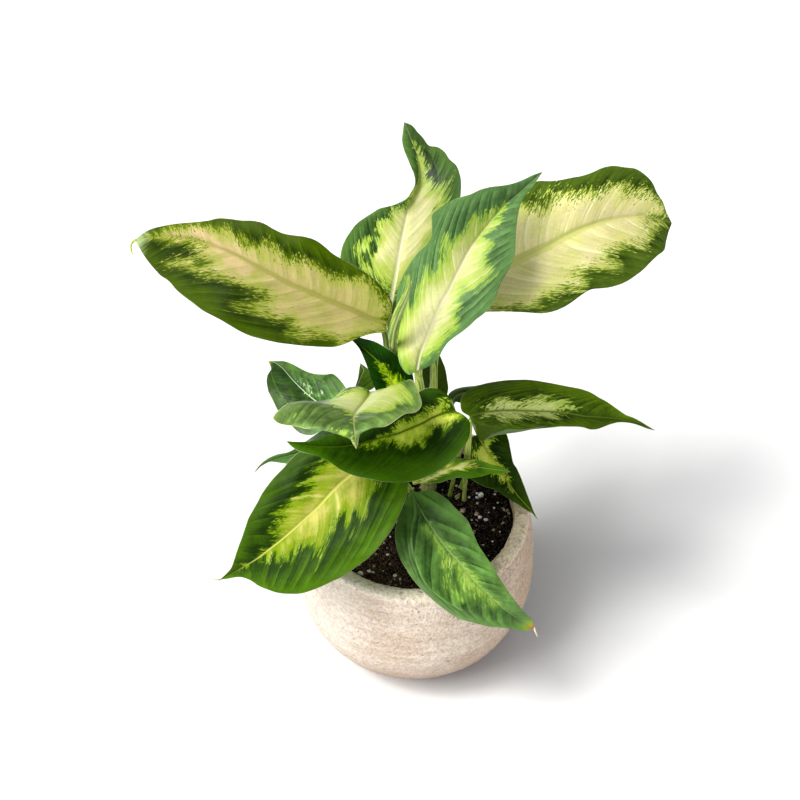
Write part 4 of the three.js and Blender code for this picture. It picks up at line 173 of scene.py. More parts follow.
            (-1, [(41.02, 31, 152.94), (38.31, 30.39, 151.55), (35.73, 29.59, 150.16), (34.37, 27.86, 147.97), (33.17, 26.01, 145.83), (32.58, 23.97, 143.59), (32.03, 21.83, 141.45), (32.54, 19.7, 139.29), (33.03, 17.28, 137.46), (33.86, 14.55, 136.18), (35.07, 11.5, 135.48), (36.25, 8.14, 135.18), (38.58, 5.49, 135.58), (41.04, 2.92, 136.08), (43.75, 0.86, 136.7), (46.54, -0.8, 137.11), (49.45, -1.8, 137.21), (52.19, -2.67, 136.37), (54.73, -3.74, 135), (57.27, -4.79, 133.62), (59.81, -5.83, 132.2), (62.36, -6.83, 130.74), (65.02, -7.65, 129.32), (67.69, -8.41, 127.83), (70.17, -9.35, 126.1), (72.82, -10, 124.41), (75.59, -10.39, 122.73), (77.68, -11.49, 120.42), (79.79, -12.47, 117.97)]),
            (0, [(41.02, 31, 152.94), (41.8, 29.27, 151.4), (42.76, 27.63, 149.89), (44.12, 26.17, 148.45), (45.48, 24.72, 147.02), (46.84, 23.27, 145.58), (48.2, 21.82, 144.15), (49.64, 20.41, 142.74), (51.12, 18.86, 141.57), (52.58, 16.99, 140.78), (54.01, 14.89, 140.28), (55.38, 12.6, 139.95), (56.51, 10.1, 139.64), (57.64, 7.62, 139.33), (58.77, 5.23, 138.91), (59.91, 3.01, 138.29), (61.26, 1.15, 137.42), (62.67, -0.37, 136.16), (64.09, -1.76, 134.74), (65.51, -3.15, 133.32), (67.01, -4.46, 131.89), (68.68, -5.61, 130.48), (70.35, -6.72, 129.02), (72.03, -7.78, 127.48), (73.72, -8.77, 125.87), (75.28, -9.79, 124.1), (76.77, -10.78, 122.19), (78.27, -11.68, 120.15), (79.79, -12.47, 117.97)]),
            (1, [(41.02, 31, 152.94), (43.76, 31.46, 153.6), (46.49, 31.95, 154.24), (49.23, 32.45, 154.86), (52.04, 32.57, 155.09), (54.89, 32.54, 155.13), (57.48, 31.96, 154.69), (59.54, 30.45, 153.52), (60.4, 28.07, 152.14), (61.16, 25.38, 151.08), (61.63, 22.39, 150.28), (62.09, 19.26, 149.66), (62.47, 16.06, 149.13), (62.84, 12.88, 148.57), (63.52, 9.94, 147.93), (65.09, 7.57, 147.2), (66.31, 5.25, 146.04), (67.44, 3.23, 144.44), (68.5, 1.34, 142.62), (69.55, -0.48, 140.7), (70.54, -2.26, 138.68), (71.54, -3.94, 136.55), (72.6, -5.52, 134.31), (73.73, -6.97, 131.95), (74.83, -8.34, 129.45), (75.8, -9.65, 126.79), (76.99, -10.76, 124), (78.38, -11.68, 121.07), (79.79, -12.47, 117.97)]),
        ],
        'stalk': [(41.02, 31, 152.94, 1.4), (40.03, 29.96, 149.18, 1.44), (39.03, 28.91, 145.42, 1.49), (38.17, 27.91, 141.61, 1.53), (37.36, 26.95, 137.78, 1.58), (36.57, 25.99, 133.95, 1.63), (35.76, 25.04, 130.12, 1.67), (34.92, 24.09, 126.3, 1.72), (34.08, 23.15, 122.47, 1.76), (33.24, 22.21, 118.65, 1.8), (32.4, 21.26, 114.82, 1.86), (31.55, 20.32, 111, 1.9)],
        'pale': [
            (1, [(0.2, -0.717), (0.125, -0.433), (0.103, 0.333), (0.165, 0.65), (0.17, 0.317), (0.2, 0.083), (0.288, 0.117), (0.37, 0.133), (0.443, 0.117), (0.512, 0.1), (0.65, -0.15), (0.527, -0.083), (0.422, -0.167), (0.328, -0.383), (0.25, -0.567)]),
        ],
    },
    'leaf_small_right': {
        'ribs': [
            (-1, [(-2.09, -12, 154.72), (2.44, -12.87, 155.95), (6.97, -13.53, 156.92), (11.49, -14, 157.66), (16.01, -14.16, 158.25), (20.23, -12.95, 159.12), (24.54, -11.82, 159.77), (29.04, -11.31, 160.03), (33.41, -11.87, 159.54), (37.93, -10.83, 159.13), (42.45, -9.17, 158.48), (46.92, -6.81, 157.67), (51.57, -5.24, 156.21), (56.26, -3.37, 154.54), (60.95, -0.97, 152.82)]),
            (0, [(-2.09, -12, 154.72), (1.99, -10.3, 156.11), (6.08, -8.47, 157.34), (10.38, -6.98, 158.25), (14.7, -5.41, 159.06), (19.19, -4.35, 159.57), (23.74, -3.42, 159.96), (28.29, -2.46, 160.33), (32.93, -2.36, 160.15), (37.57, -2.37, 159.52), (42.21, -2.36, 158.56), (46.87, -2.17, 157.38), (51.54, -1.87, 155.99), (56.24, -1.46, 154.46), (60.95, -0.97, 152.82)]),
            (1, [(-2.09, -12, 154.72), (1.63, -9.82, 157.1), (5.49, -7.58, 159.15), (9.39, -5.2, 160.96), (13.79, -3.44, 162.27), (18.19, -1.52, 163.41), (22.97, -0.61, 163.98), (27.82, 0.22, 164.35), (32.73, 0.6, 164.22), (37.64, 0.65, 163.43), (42.47, 0.5, 162.11), (47.1, -0.24, 160.14), (51.96, -0.13, 158.13), (56.84, 0.12, 155.86), (60.95, -0.97, 152.82)]),
        ],
        'stalk': [(-2.09, -12, 154.72, 1.3), (-1.42, -9.43, 151.94, 1.34), (-0.75, -6.86, 149.17, 1.39), (-0.08, -4.3, 146.38, 1.43), (0.59, -1.73, 143.6, 1.48), (1.26, 0.82, 140.81, 1.53), (1.92, 3.37, 138.02, 1.57), (2.6, 5.92, 135.22, 1.62), (3.26, 8.47, 132.42, 1.67), (3.93, 11, 129.61, 1.71), (4.6, 13.54, 126.81, 1.76), (5.26, 16.08, 124, 1.8)],
        'pale': [
            (1, [(0.007, -1), (0.155, -0.267), (0.302, -0.05), (0.445, 0.433), (0.628, 0.217), (0.505, -0.3), (0.383, -0.383), (0.255, -0.617), (0.11, -0.983)]),
        ],
    },
    'leaf_under_left': {
        'ribs': [
            (-1, [(-8.47, -2, 220.81), (-5.21, 0.04, 222.81), (-2.79, 2.19, 225.57), (-1.18, 4.47, 229.04), (-1.54, 7.03, 232.62), (-2.47, 9.36, 236.18), (-4.7, 11.32, 239.5), (-7.71, 12.7, 242.42), (-11.06, 11.98, 247.11), (-14.23, 11.27, 251.87), (-18.01, 13.38, 252.57), (-21.78, 15.66, 253.17), (-25.66, 17.96, 253.37), (-29.83, 20.4, 252.52), (-34.05, 23.39, 251.08), (-38.33, 26.73, 249.14), (-42.65, 30.3, 246.96)]),
            (0, [(-8.47, -2, 220.81), (-10, -0.14, 223.3), (-11.52, 1.72, 225.79), (-13.04, 3.57, 228.28), (-14.75, 5.41, 230.62), (-16.5, 7.25, 232.93), (-18.17, 9.1, 235.3), (-19.82, 10.94, 237.68), (-21.99, 12.72, 239.59), (-24.22, 14.58, 241.34), (-26.75, 16.53, 242.59), (-29.29, 18.64, 243.68), (-31.83, 20.86, 244.64), (-34.38, 23.19, 245.5), (-36.99, 25.57, 246.23), (-39.82, 27.92, 246.61), (-42.65, 30.3, 246.96)]),
            (1, [(-8.47, -2, 220.81), (-12.11, -1.66, 220.43), (-15.66, -1.06, 220.41), (-19.03, 0.02, 221.23), (-21.89, 1.4, 222.79), (-24.26, 3.08, 225.04), (-25.61, 4.89, 228.02), (-26.85, 6.76, 231.02), (-28.01, 8.69, 233.98), (-29.15, 10.76, 236.79), (-30.29, 13.07, 239.35), (-31.69, 15.6, 241.53), (-33.26, 18.31, 243.4), (-35.16, 21.18, 244.88), (-37.57, 24.13, 245.76), (-40.06, 27.18, 246.45), (-42.65, 30.3, 246.96)]),
        ],
        'stalk': [(-8.47, -2, 220.81, 1.6), (-7.34, -0.32, 213.65, 1.65), (-6.2, 1.35, 206.49, 1.71), (-5.06, 3.03, 199.33, 1.77), (-3.92, 4.69, 192.17, 1.82), (-2.78, 6.34, 185.01, 1.87), (-1.62, 7.98, 177.85, 1.93), (-0.47, 9.61, 170.68, 1.98), (0.69, 11.22, 163.51, 2.03), (1.85, 12.84, 156.34, 2.09), (3.02, 14.44, 149.17, 2.15), (4.18, 16.04, 142, 2.2)],
        'pale': [
            (1, [(0.537, 0.067), (0.475, -0.083), (0.38, -0.05), (0.302, -0.15), (0.305, -0.333), (0.24, -0.367), (0.182, -0.05), (0.19, 0.167), (0.292, 0.1), (0.41, 0.15)]),
        ],
    },
    'leaf_left_tip': {
        'ribs': [
            (-1, [(-23.74, 22, 172.11), (-27.97, 27.42, 173.89), (-34.17, 29.35, 173.44), (-40.81, 29.57, 172), (-47.19, 28.42, 169.94), (-53.4, 26.95, 167.64), (-59.24, 24.71, 165), (-64.91, 22.28, 162.18), (-70.39, 19.68, 159.08), (-75.95, 17.41, 155.71), (-81.94, 16.29, 152.31), (-88.74, 17.12, 149.11), (-95.14, 16.84, 145.34), (-100.56, 14.95, 141.04), (-104.82, 11.78, 136.43)]),
            (0, [(-23.74, 22, 172.11), (-29.64, 21.54, 169.91), (-35.56, 21.08, 167.71), (-41.44, 20.46, 165.46), (-47.28, 19.69, 163.17), (-53.13, 18.91, 160.86), (-58.87, 17.82, 158.47), (-64.58, 16.62, 156.05), (-70.3, 15.49, 153.53), (-76.4, 15.49, 151.13), (-82.56, 15.72, 148.62), (-88.71, 15.88, 145.95), (-94.73, 15.61, 143.05), (-100.25, 14.5, 139.92), (-104.82, 11.78, 136.43)]),
            (1, [(-23.74, 22, 172.11), (-28, 17.39, 169.9), (-32.3, 12.96, 167.58), (-37.5, 9.78, 165.28), (-42.7, 6.71, 162.86), (-48.44, 4.76, 160.54), (-54.53, 3.55, 158.22), (-60.63, 2.44, 155.78), (-67.25, 3.62, 153.78), (-73.93, 5.13, 151.52), (-80.62, 8.2, 149.55), (-87.39, 11.26, 147.24), (-94.16, 14.35, 144.69), (-100.49, 14.68, 140.96), (-104.82, 11.78, 136.43)]),
        ],
        'stalk': [(-23.74, 22, 172.11, 1.5), (-22.97, 22.01, 168.29, 1.55), (-22.21, 22.03, 164.46, 1.6), (-21.44, 22.06, 160.64, 1.64), (-20.68, 22.09, 156.81, 1.68), (-19.92, 22.15, 152.98, 1.73), (-19.18, 22.23, 149.15, 1.78), (-18.45, 22.31, 145.32, 1.83), (-17.71, 22.43, 141.49, 1.87), (-16.99, 22.54, 137.66, 1.91), (-16.26, 22.66, 133.83, 1.96), (-15.54, 22.8, 130, 2)],
        'pale': [
        ],
    },
    'leaf_small_back_left': {
        'ribs': [
            (-1, [(-40.43, 55, 165.19), (-35.96, 53.89, 167.14), (-31.72, 53.79, 169.12), (-27.69, 54.46, 171.05), (-24.87, 57.25, 173.04), (-26.34, 61.88, 173.97), (-28.81, 66.57, 174.35), (-32.13, 70.8, 174.05), (-35.75, 75.06, 173.43)]),
            (0, [(-40.43, 55, 165.19), (-39.2, 57.31, 166.37), (-37.96, 59.63, 167.55), (-36.82, 62.02, 168.73), (-35.7, 64.43, 169.91), (-34.6, 66.85, 171.08), (-33.51, 69.29, 172.26), (-34.43, 72.13, 172.9), (-35.75, 75.06, 173.43)]),
            (1, [(-40.43, 55, 165.19), (-39.6, 56.79, 166.9), (-38.83, 58.78, 168.41), (-38.12, 60.98, 169.74), (-37.47, 63.37, 170.87), (-37.01, 66.02, 171.78), (-36.68, 68.89, 172.5), (-36.23, 71.9, 173.05), (-35.75, 75.06, 173.43)]),
        ],
        'stalk': [(-40.43, 55, 165.19, 1.2), (-37.04, 54.01, 161.79, 1.26), (-33.63, 53.01, 158.39, 1.33), (-30.23, 52.02, 154.99, 1.39), (-26.82, 51.02, 151.6, 1.46), (-23.41, 50.03, 148.22, 1.52), (-20, 49.03, 144.84, 1.59), (-16.58, 48.02, 141.46, 1.64), (-13.16, 47.02, 138.09, 1.71), (-9.72, 46.01, 134.73, 1.77), (-6.29, 45.01, 131.36, 1.84), (-2.86, 44, 128, 1.9)],
        'pale': [
        ],
    },
    'leaf_back_right': {
        'ribs': [
            (-1, [(23.92, 42, 171.83), (28.61, 43.23, 170.13), (33.14, 41.5, 169.42), (37.77, 40.28, 168.47), (42.58, 40.2, 167.04), (47.46, 40.52, 165.41), (52.44, 42.43, 163.17), (57.55, 46.1, 160.26), (62.71, 50.24, 156.93), (67.82, 56.74, 152.43), (73.03, 63.76, 147.37), (78.35, 71.32, 141.84), (83.73, 79.55, 135.85), (89.22, 88.08, 129.59), (94.81, 96.83, 123.14)]),
            (0, [(23.92, 42, 171.83), (26.92, 50.89, 167.87), (31.6, 56.59, 164.41), (36.56, 58.11, 162.25), (41.54, 59.64, 160.07), (46.58, 61.82, 157.67), (51.66, 64.01, 155.25), (56.76, 66.43, 152.74), (61.95, 69.64, 149.74), (67.22, 73.37, 146.17), (72.57, 77.53, 142.14), (78.01, 82.04, 137.73), (83.54, 86.81, 133.03), (89.14, 91.77, 128.14), (94.81, 96.83, 123.14)]),
            (1, [(23.92, 42, 171.83), (21.74, 50.05, 169.33), (25.45, 59.35, 164.55), (30.81, 65.43, 160.37), (36.47, 69.44, 156.87), (42.18, 73.43, 153.44), (47.93, 77.31, 150.11), (53.73, 80.75, 147), (59.57, 84.07, 143.79), (65.48, 87.58, 140.22), (71.36, 89.94, 136.83), (77.3, 92.52, 133.18), (83.15, 94.21, 129.76), (88.97, 95.54, 126.44), (94.81, 96.83, 123.14)]),
        ],
        'stalk': [(23.92, 42, 171.83, 1.7), (22.71, 42.22, 168.03, 1.74), (21.49, 42.42, 164.23, 1.79), (20.28, 42.63, 160.43, 1.83), (19.07, 42.83, 156.63, 1.88), (17.86, 43.02, 152.83, 1.93), (16.65, 43.2, 149.03, 1.97), (15.44, 43.37, 145.22, 2.02), (14.25, 43.54, 141.42, 2.07), (13.04, 43.7, 137.61, 2.11), (11.84, 43.85, 133.81, 2.16), (10.64, 44.01, 130, 2.2)],
        'pale': [
        ],
    },
    'leaf_back': {
        'ribs': [
            (-1, [(14.06, 70, 207.89), (19.65, 69.03, 210.36), (23.95, 71.13, 213.11), (27.84, 74.56, 215.66), (30.08, 79.46, 218.2), (32.23, 84.79, 220.43), (33.23, 90.67, 222.55), (33.9, 96.84, 224.53), (34.31, 103.72, 225.88), (34.51, 111.78, 226.19), (34.71, 120.86, 225.58), (34.35, 130.81, 224.21), (33.98, 141.53, 222.22), (33.03, 152.77, 219.74), (32.08, 164.53, 216.91)]),
            (0, [(14.06, 70, 207.89), (15.25, 73.87, 211.12), (16.45, 78.2, 213.9), (17.53, 82.94, 216.33), (18.59, 88, 218.46), (19.66, 93.3, 220.37), (20.74, 98.77, 222.14), (21.83, 104.34, 223.85), (22.98, 110.5, 225.01), (24.34, 117.67, 225.21), (25.74, 125.75, 224.61), (27.19, 134.62, 223.34), (28.78, 144.11, 221.53), (30.42, 154.13, 219.34), (32.08, 164.53, 216.91)]),
            (1, [(14.06, 70, 207.89), (9.22, 70.94, 211.51), (6.98, 74.52, 215.07), (5.74, 79.2, 218.28), (6.05, 84.55, 221.06), (6.37, 90.26, 223.51), (7.87, 96.11, 225.6), (9.44, 102.18, 227.5), (11.39, 108.83, 228.69), (13.88, 116.47, 228.75), (16.43, 125.16, 227.89), (19.86, 134.29, 226.07), (23.38, 144.19, 223.62), (27.5, 154.28, 220.51), (32.08, 164.53, 216.91)]),
        ],
        'stalk': [(14.06, 70, 207.89, 2), (13.72, 67.54, 202.58, 2.03), (13.38, 65.09, 197.26, 2.05), (13.07, 62.66, 191.93, 2.07), (12.76, 60.29, 186.57, 2.09), (12.39, 58.23, 181.09, 2.13), (11.98, 56.21, 175.6, 2.16), (11.54, 54.24, 170.09, 2.18), (11.08, 52.3, 164.58, 2.22), (10.63, 50.38, 159.06, 2.24), (10.16, 48.47, 153.53, 2.27), (9.69, 46.57, 148, 2.3)],
        'pale': [
        ],
    },
    'leaf_under_right': {
        'ribs': [
            (-1, [(11.56, 62, 147.58), (15.82, 62.24, 149.05), (19.49, 62.91, 151.21), (21.71, 64.45, 155.17), (22.33, 66.13, 159.43), (21.62, 67.93, 163.92), (20.97, 69.85, 168.27), (19.95, 71.91, 172.3), (18.31, 74.14, 175.89), (16.54, 76.6, 179.14), (14.65, 79.26, 182.1), (12.42, 81.99, 184.69), (10, 84.81, 187.01)]),
            (0, [(11.56, 62, 147.58), (11.8, 63.72, 151.13), (12.03, 65.44, 154.68), (12.25, 67.16, 158.22), (12.47, 68.87, 161.75), (12.68, 70.58, 165.27), (12.57, 72.26, 168.81), (12.34, 74.03, 172.24), (12.12, 75.99, 175.45), (11.73, 78.08, 178.5), (11.15, 80.26, 181.41), (10.57, 82.52, 184.23), (10, 84.81, 187.01)]),
            (1, [(11.56, 62, 147.58), (8.27, 62.29, 150.91), (5.61, 62.96, 154.53), (4.02, 64.19, 158.74), (2.77, 65.59, 162.86), (2.5, 67.27, 166.99), (2.23, 69.05, 170.98), (2.68, 71.08, 174.61), (3.54, 73.43, 177.85), (4.41, 76.04, 180.8), (5.99, 78.81, 183.18), (7.99, 81.73, 185.18), (10, 84.81, 187.01)]),
        ],
        'stalk': [(11.56, 62, 147.58, 1.6), (10.94, 60.85, 145.46, 1.64), (10.32, 59.7, 143.33, 1.69), (9.7, 58.56, 141.2, 1.74), (9.08, 57.43, 139.07, 1.78), (8.45, 56.3, 136.93, 1.83), (7.84, 55.18, 134.79, 1.87), (7.22, 54.08, 132.64, 1.92), (6.61, 52.99, 130.49, 1.97), (5.99, 51.91, 128.33, 2.01), (5.38, 50.83, 126.16, 2.06), (4.77, 49.75, 124, 2.1)],
        'pale': [
        ],
    },
}
ROLLED = [(-13.33, 17, 245.01, 2.2), (-13.65, 15.5, 250.9, 2.48), (-13.76, 13.97, 256.78, 2.74), (-13.66, 12.11, 262.63, 3.02), (-13.3, 10.3, 268.47, 3.26), (-12.68, 10.04, 274.41, 3.3), (-11.49, 10.27, 280.4, 3.3), (-9.97, 10.89, 286.25, 3.13), (-8.04, 11.9, 291.92, 2.73), (-5.89, 13.21, 297.46, 2.08), (-4.37, 14.67, 303.14, 1.21), (-3.9, 16, 309.07, 0.5)]
ROLLED_STALK = [(6, 22.6, 171.2, 3), (4.31, 22.12, 177.93, 2.95), (2.54, 21.62, 184.64, 2.88), (0.78, 21.12, 191.35, 2.82), (-0.99, 20.62, 198.05, 2.75), (-2.75, 20.11, 204.76, 2.69), (-4.51, 19.6, 211.47, 2.62), (-6.28, 19.08, 218.18, 2.56), (-8.04, 18.57, 224.89, 2.49), (-9.8, 18.04, 231.6, 2.43), (-11.57, 17.53, 238.3, 2.36), (-13.33, 17, 245.01, 2.3)]
CANES = {
    'cane_main': [(9.6, 22.3, 98, 5.2), (9.2, 22.3, 118, 5), (8, 22.4, 140, 4.7), (6.8, 22.6, 158, 4.4), (6, 22.6, 170, 4)],
    'cane_left': [(-9.5, 25, 98, 4.4), (-9.6, 25.5, 115, 4.2), (-10, 26, 130, 3.9), (-10.4, 26.2, 142, 3.5)],
    'cane_right': [(28.5, 15.2, 98, 3.8), (28.5, 15.2, 108, 3.6), (28.8, 15.4, 114, 3.2)],
    'cane_back': [(3, 43, 98, 4.6), (3.4, 43, 120, 4.4), (4.2, 42.6, 140, 4.1), (5, 42, 156, 3.6)],
}

# the light: a tall soft source on the left and a little in front (three soft suns one above the
# other) and a pale room; its parts are (direction, how narrow, how bright)
SUNS = [
    dict(azimuth=197.0, elevation=63.0, angle=16.0, power=1.40, colour=(1.0, 0.985, 0.955)),
    dict(azimuth=197.0, elevation=57.0, angle=42.0, power=1.38, colour=(1.0, 0.985, 0.955)),
    dict(azimuth=195.0, elevation=36.0, angle=42.0, power=1.54, colour=(1.0, 0.985, 0.955)),
]
ROOM_COLOUR = (0.955, 0.985, 1.03, 1.0)
ROOM_BASE = 0.09
ROOM = [((-0.45, -0.8, 0.38), 2.0, 0.56), ((0.0, 0.0, 1.0), 1.0, 0.18), ((0.1, 0.5, 0.8), 3.0, 0.12)]


# ---------------------------------------------------------------- small helpers
def lin(r, g, b, a=1.0):
    """A screen colour (0-255) as linear light."""
    def one(c):
        c /= 255.0
        return c / 12.92 if c <= 0.04045 else ((c + 0.055) / 1.055) ** 2.4
    return (one(r), one(g), one(b), a)


def smooth(x, lo, hi):
    t = np.clip((x - lo) / (hi - lo), 0, 1)
    return t * t * (3 - 2 * t)


def spline(points, t):
    """Catmull-Rom through evenly spaced points, at t in 0..1."""
    p = np.asarray(points, float)
    n = len(p) - 1
    x = np.clip(np.asarray(t, float), 0, 1) * n
    i = np.minimum(x.astype(int), n - 1)
    f = (x - i)[:, None]
    ext = np.vstack([2 * p[0] - p[1], p, 2 * p[-1] - p[-2]])
    a, b, c, d = ext[i], ext[i + 1], ext[i + 2], ext[i + 3]
    return 0.5 * (2 * b + (c - a) * f + (2 * a - 5 * b + 4 * c - d) * f ** 2 + (3 * b - a - 3 * c + d) * f ** 3)


def unit(v):
    return v / (np.linalg.norm(v, axis=-1, keepdims=True) + 1e-12)


class Waves:
    """Smooth repeatable noise: a sum of sine waves in three coordinates, about -1 to 1."""

    def __init__(self, seed, size, count=28):
        r = np.random.default_rng(seed)
        d = unit(r.normal(size=(count, 3)))
        self.k = d * (2 * math.pi / (size * r.uniform(0.55, 1.7, size=(count, 1))))
        self.p = r.uniform(0, 2 * math.pi, count)
        self.n = math.sqrt(count / 2.0)

    def __call__(self, x):
        x = np.asarray(x, float)
        flat = x.reshape(-1, 3)
        out = np.zeros(len(flat))
        for k, p in zip(self.k, self.p):
            out += np.sin(flat @ k + p)
        return (out / self.n * 0.75).reshape(x.shape[:-1])


def make_object(name, verts_mm, faces, attrs=None, mats=(), mat_index=None, sharp_angle=None):
    me = bpy.data.meshes.new(name)
    v = np.asarray(verts_mm, np.float32) * MM
    me.from_pydata(v.tolist(), [], faces)
    me.update()
    me.polygons.foreach_set("use_smooth", [True] * len(me.polygons))
    for key, val in (attrs or {}).items():
        a = me.attributes.new(key, "FLOAT", "POINT")
        a.data.foreach_set("value", np.asarray(val, np.float32).ravel())
    for m in mats:
        me.materials.append(m)
    if mat_index is not None:
        me.polygons.foreach_set("material_index", np.asarray(mat_index, np.int32))
    ob = bpy.data.objects.new(name, me)
    bpy.context.scene.collection.objects.link(ob)
    return ob


class Shape:
    """Gathers vertices, faces and per-vertex values for one piece made of several shells."""

    def __init__(self, keys):
        self.v, self.f, self.m, self.keys = [], [], [], keys
        self.a = {k: [] for k in keys}
        self.n = 0

    def add(self, verts, faces, mat=0, **attrs):
        verts = np.asarray(verts, float).reshape(-1, 3)
        off = self.n
        self.v.append(verts)
        self.f += [tuple(int(i) + off for i in q) for q in faces]
        self.m += [mat] * len(faces)
        for k in self.keys:
            x = attrs.get(k, 0.0)
            x = np.asarray(x, float).ravel()
            self.a[k].append(np.full(len(verts), x[0]) if x.size == 1 else x)
        self.n += len(verts)

    def make(self, name, mats):
        return make_object(name, np.concatenate(self.v), self.f, {k: np.concatenate(x) for k, x in self.a.items()}, mats, self.m)


def grid_faces(nu, nv, close_v=False, flip=False):
    """Quads of a grid whose vertex (i, j) has index i * nv + j."""
    out = []
    last = nv if close_v else nv - 1
    for i in range(nu - 1):
        for j in range(last):
            a, b = i * nv + j, i * nv + (j + 1) % nv
            c, d = (i + 1) * nv + (j + 1) % nv, (i + 1) * nv + j
            out.append((a, d, c, b) if flip else (a, b, c, d))
    return out


def frames_along(c):
    """Tangent and two side directions carried along a centre line without twisting."""
    t = unit(np.gradient(c, axis=0))
    side = np.array([1.0, 0, 0])
    if abs(t[0] @ side) > 0.8:
        side = np.array([0, 1.0, 0])
    s = []
    for k in t:
        side = unit(side - k * (side @ k))
        s.append(side)
    s = np.array(s)
    return t, s, np.cross(t, s)


# ---------------------------------------------------------------- shader helpers
class Nodes:
    def __init__(self, name):
        self.mat = bpy.data.materials.new(name)
        self.mat.use_nodes = True
        self.t = self.mat.node_tree
        self.t.nodes.clear()
        self.out = self.t.nodes.new("ShaderNodeOutputMaterial")
        self.bsdf = self.t.nodes.new("ShaderNodeBsdfPrincipled")
        self.t.links.new(self.bsdf.outputs[0], self.out.inputs[0])

    def put(self, sock, val):
        if isinstance(val, bpy.types.NodeSocket):
            self.t.links.new(val, sock)
        elif isinstance(val, (tuple, list)) and sock.type == "VECTOR":
            sock.default_value = val[:3]
        elif isinstance(val, (tuple, list)) and len(val) == 3:
            sock.default_value = tuple(val) + (1.0,)
        else:
            sock.default_value = val

    def set(self, **kw):
        for k, v in kw.items():
            self.put(self.bsdf.inputs[k.replace("_", " ")], v)

    def attr(self, name):
        n = self.t.nodes.new("ShaderNodeAttribute")
        n.attribute_name = name
        return n.outputs["Fac"]

    def geo(self, out="Position"):
        return self.t.nodes.new("ShaderNodeNewGeometry").outputs[out]

    def math(self, op, a, b=None, c=None, clamp=False):
        n = self.t.nodes.new("ShaderNodeMath")
        n.operation = op
        n.use_clamp = clamp
        for s, x in zip(n.inputs, (a, b, c)):
            if x is not None:
                self.put(s, x)
        return n.outputs[0]

    def add(self, *x):
        r = x[0]
        for y in x[1:]:
            r = self.math("ADD", r, y)
        return r

    def mul(self, *x):
        r = x[0]
        for y in x[1:]:
            r = self.math("MULTIPLY", r, y)
        return r

    def sub(self, a, b):
        return self.math("SUBTRACT", a, b)

    def step(self, x, lo, hi, a=0.0, b=1.0):
        n = self.t.nodes.new("ShaderNodeMapRange")
        n.interpolation_type = "SMOOTHSTEP"
        for s, v in zip(("Value", "From Min", "From Max", "To Min", "To Max"), (x, lo, hi, a, b)):
            self.put(n.inputs[s], v)
        return n.outputs["Result"]

    def line(self, x, lo, hi, a=0.0, b=1.0):
        n = self.t.nodes.new("ShaderNodeMapRange")
        n.clamp = True
        for s, v in zip(("Value", "From Min", "From Max", "To Min", "To Max"), (x, lo, hi, a, b)):
            self.put(n.inputs[s], v)
        return n.outputs["Result"]

    def vec(self, x, y, z):
        n = self.t.nodes.new("ShaderNodeCombineXYZ")
        for s, v in zip(n.inputs, (x, y, z)):
            self.put(s, v)
        return n.outputs[0]

    def xyz(self, v):
        n = self.t.nodes.new("ShaderNodeSeparateXYZ")
        self.put(n.inputs[0], v)
        return n.outputs[0], n.outputs[1], n.outputs[2]

    def scaled(self, v, x, y, z):
        n = self.t.nodes.new("ShaderNodeVectorMath")
        n.operation = "MULTIPLY"
        self.put(n.inputs[0], v)
        n.inputs[1].default_value = (x, y, z)
        return n.outputs[0]

    def noise(self, v, scale=1.0, detail=2.0, rough=0.5, distort=0.0):
        n = self.t.nodes.new("ShaderNodeTexNoise")
        self.put(n.inputs["Vector"], v)
        for k, x in (("Scale", scale), ("Detail", detail), ("Roughness", rough), ("Distortion", distort)):
            self.put(n.inputs[k], x)
        return n.outputs["Fac"]

    def cells(self, v, scale=1.0, feature="F1", out="Distance", random=1.0):
        n = self.t.nodes.new("ShaderNodeTexVoronoi")
        n.feature = feature
        self.put(n.inputs["Vector"], v)
        self.put(n.inputs["Scale"], scale)
        self.put(n.inputs["Randomness"], random)
        return n.outputs[out]

    def mix(self, f, a, b, mode="MIX"):
        n = self.t.nodes.new("ShaderNodeMix")
        n.data_type = "RGBA"
        n.blend_type = mode
        n.clamp_factor = True
        self.put(n.inputs[0], f)
        self.put(n.inputs[6], a)
        self.put(n.inputs[7], b)
        return n.outputs[2]

    def ramp(self, f, stops):
        n = self.t.nodes.new("ShaderNodeValToRGB")
        self.put(n.inputs[0], f)
        e = n.color_ramp.elements
        while len(e) < len(stops):
            e.new(0.5)
        for k, (p, c) in zip(e, stops):
            k.position = p
            k.color = c
        return n.outputs[0]

    def gain(self, col, f):
        """A colour made brighter or darker by the number f."""
        n = self.t.nodes.new("ShaderNodeHueSaturation")
        self.put(n.inputs["Color"], col)
        self.put(n.inputs["Value"], f)
        return n.outputs[0]

    def bump(self, h, strength=1.0, distance=0.001):
        n = self.t.nodes.new("ShaderNodeBump")
        n.inputs["Strength"].default_value = strength
        n.inputs["Distance"].default_value = distance
        self.put(n.inputs["Height"], h)
        return n.outputs[0]


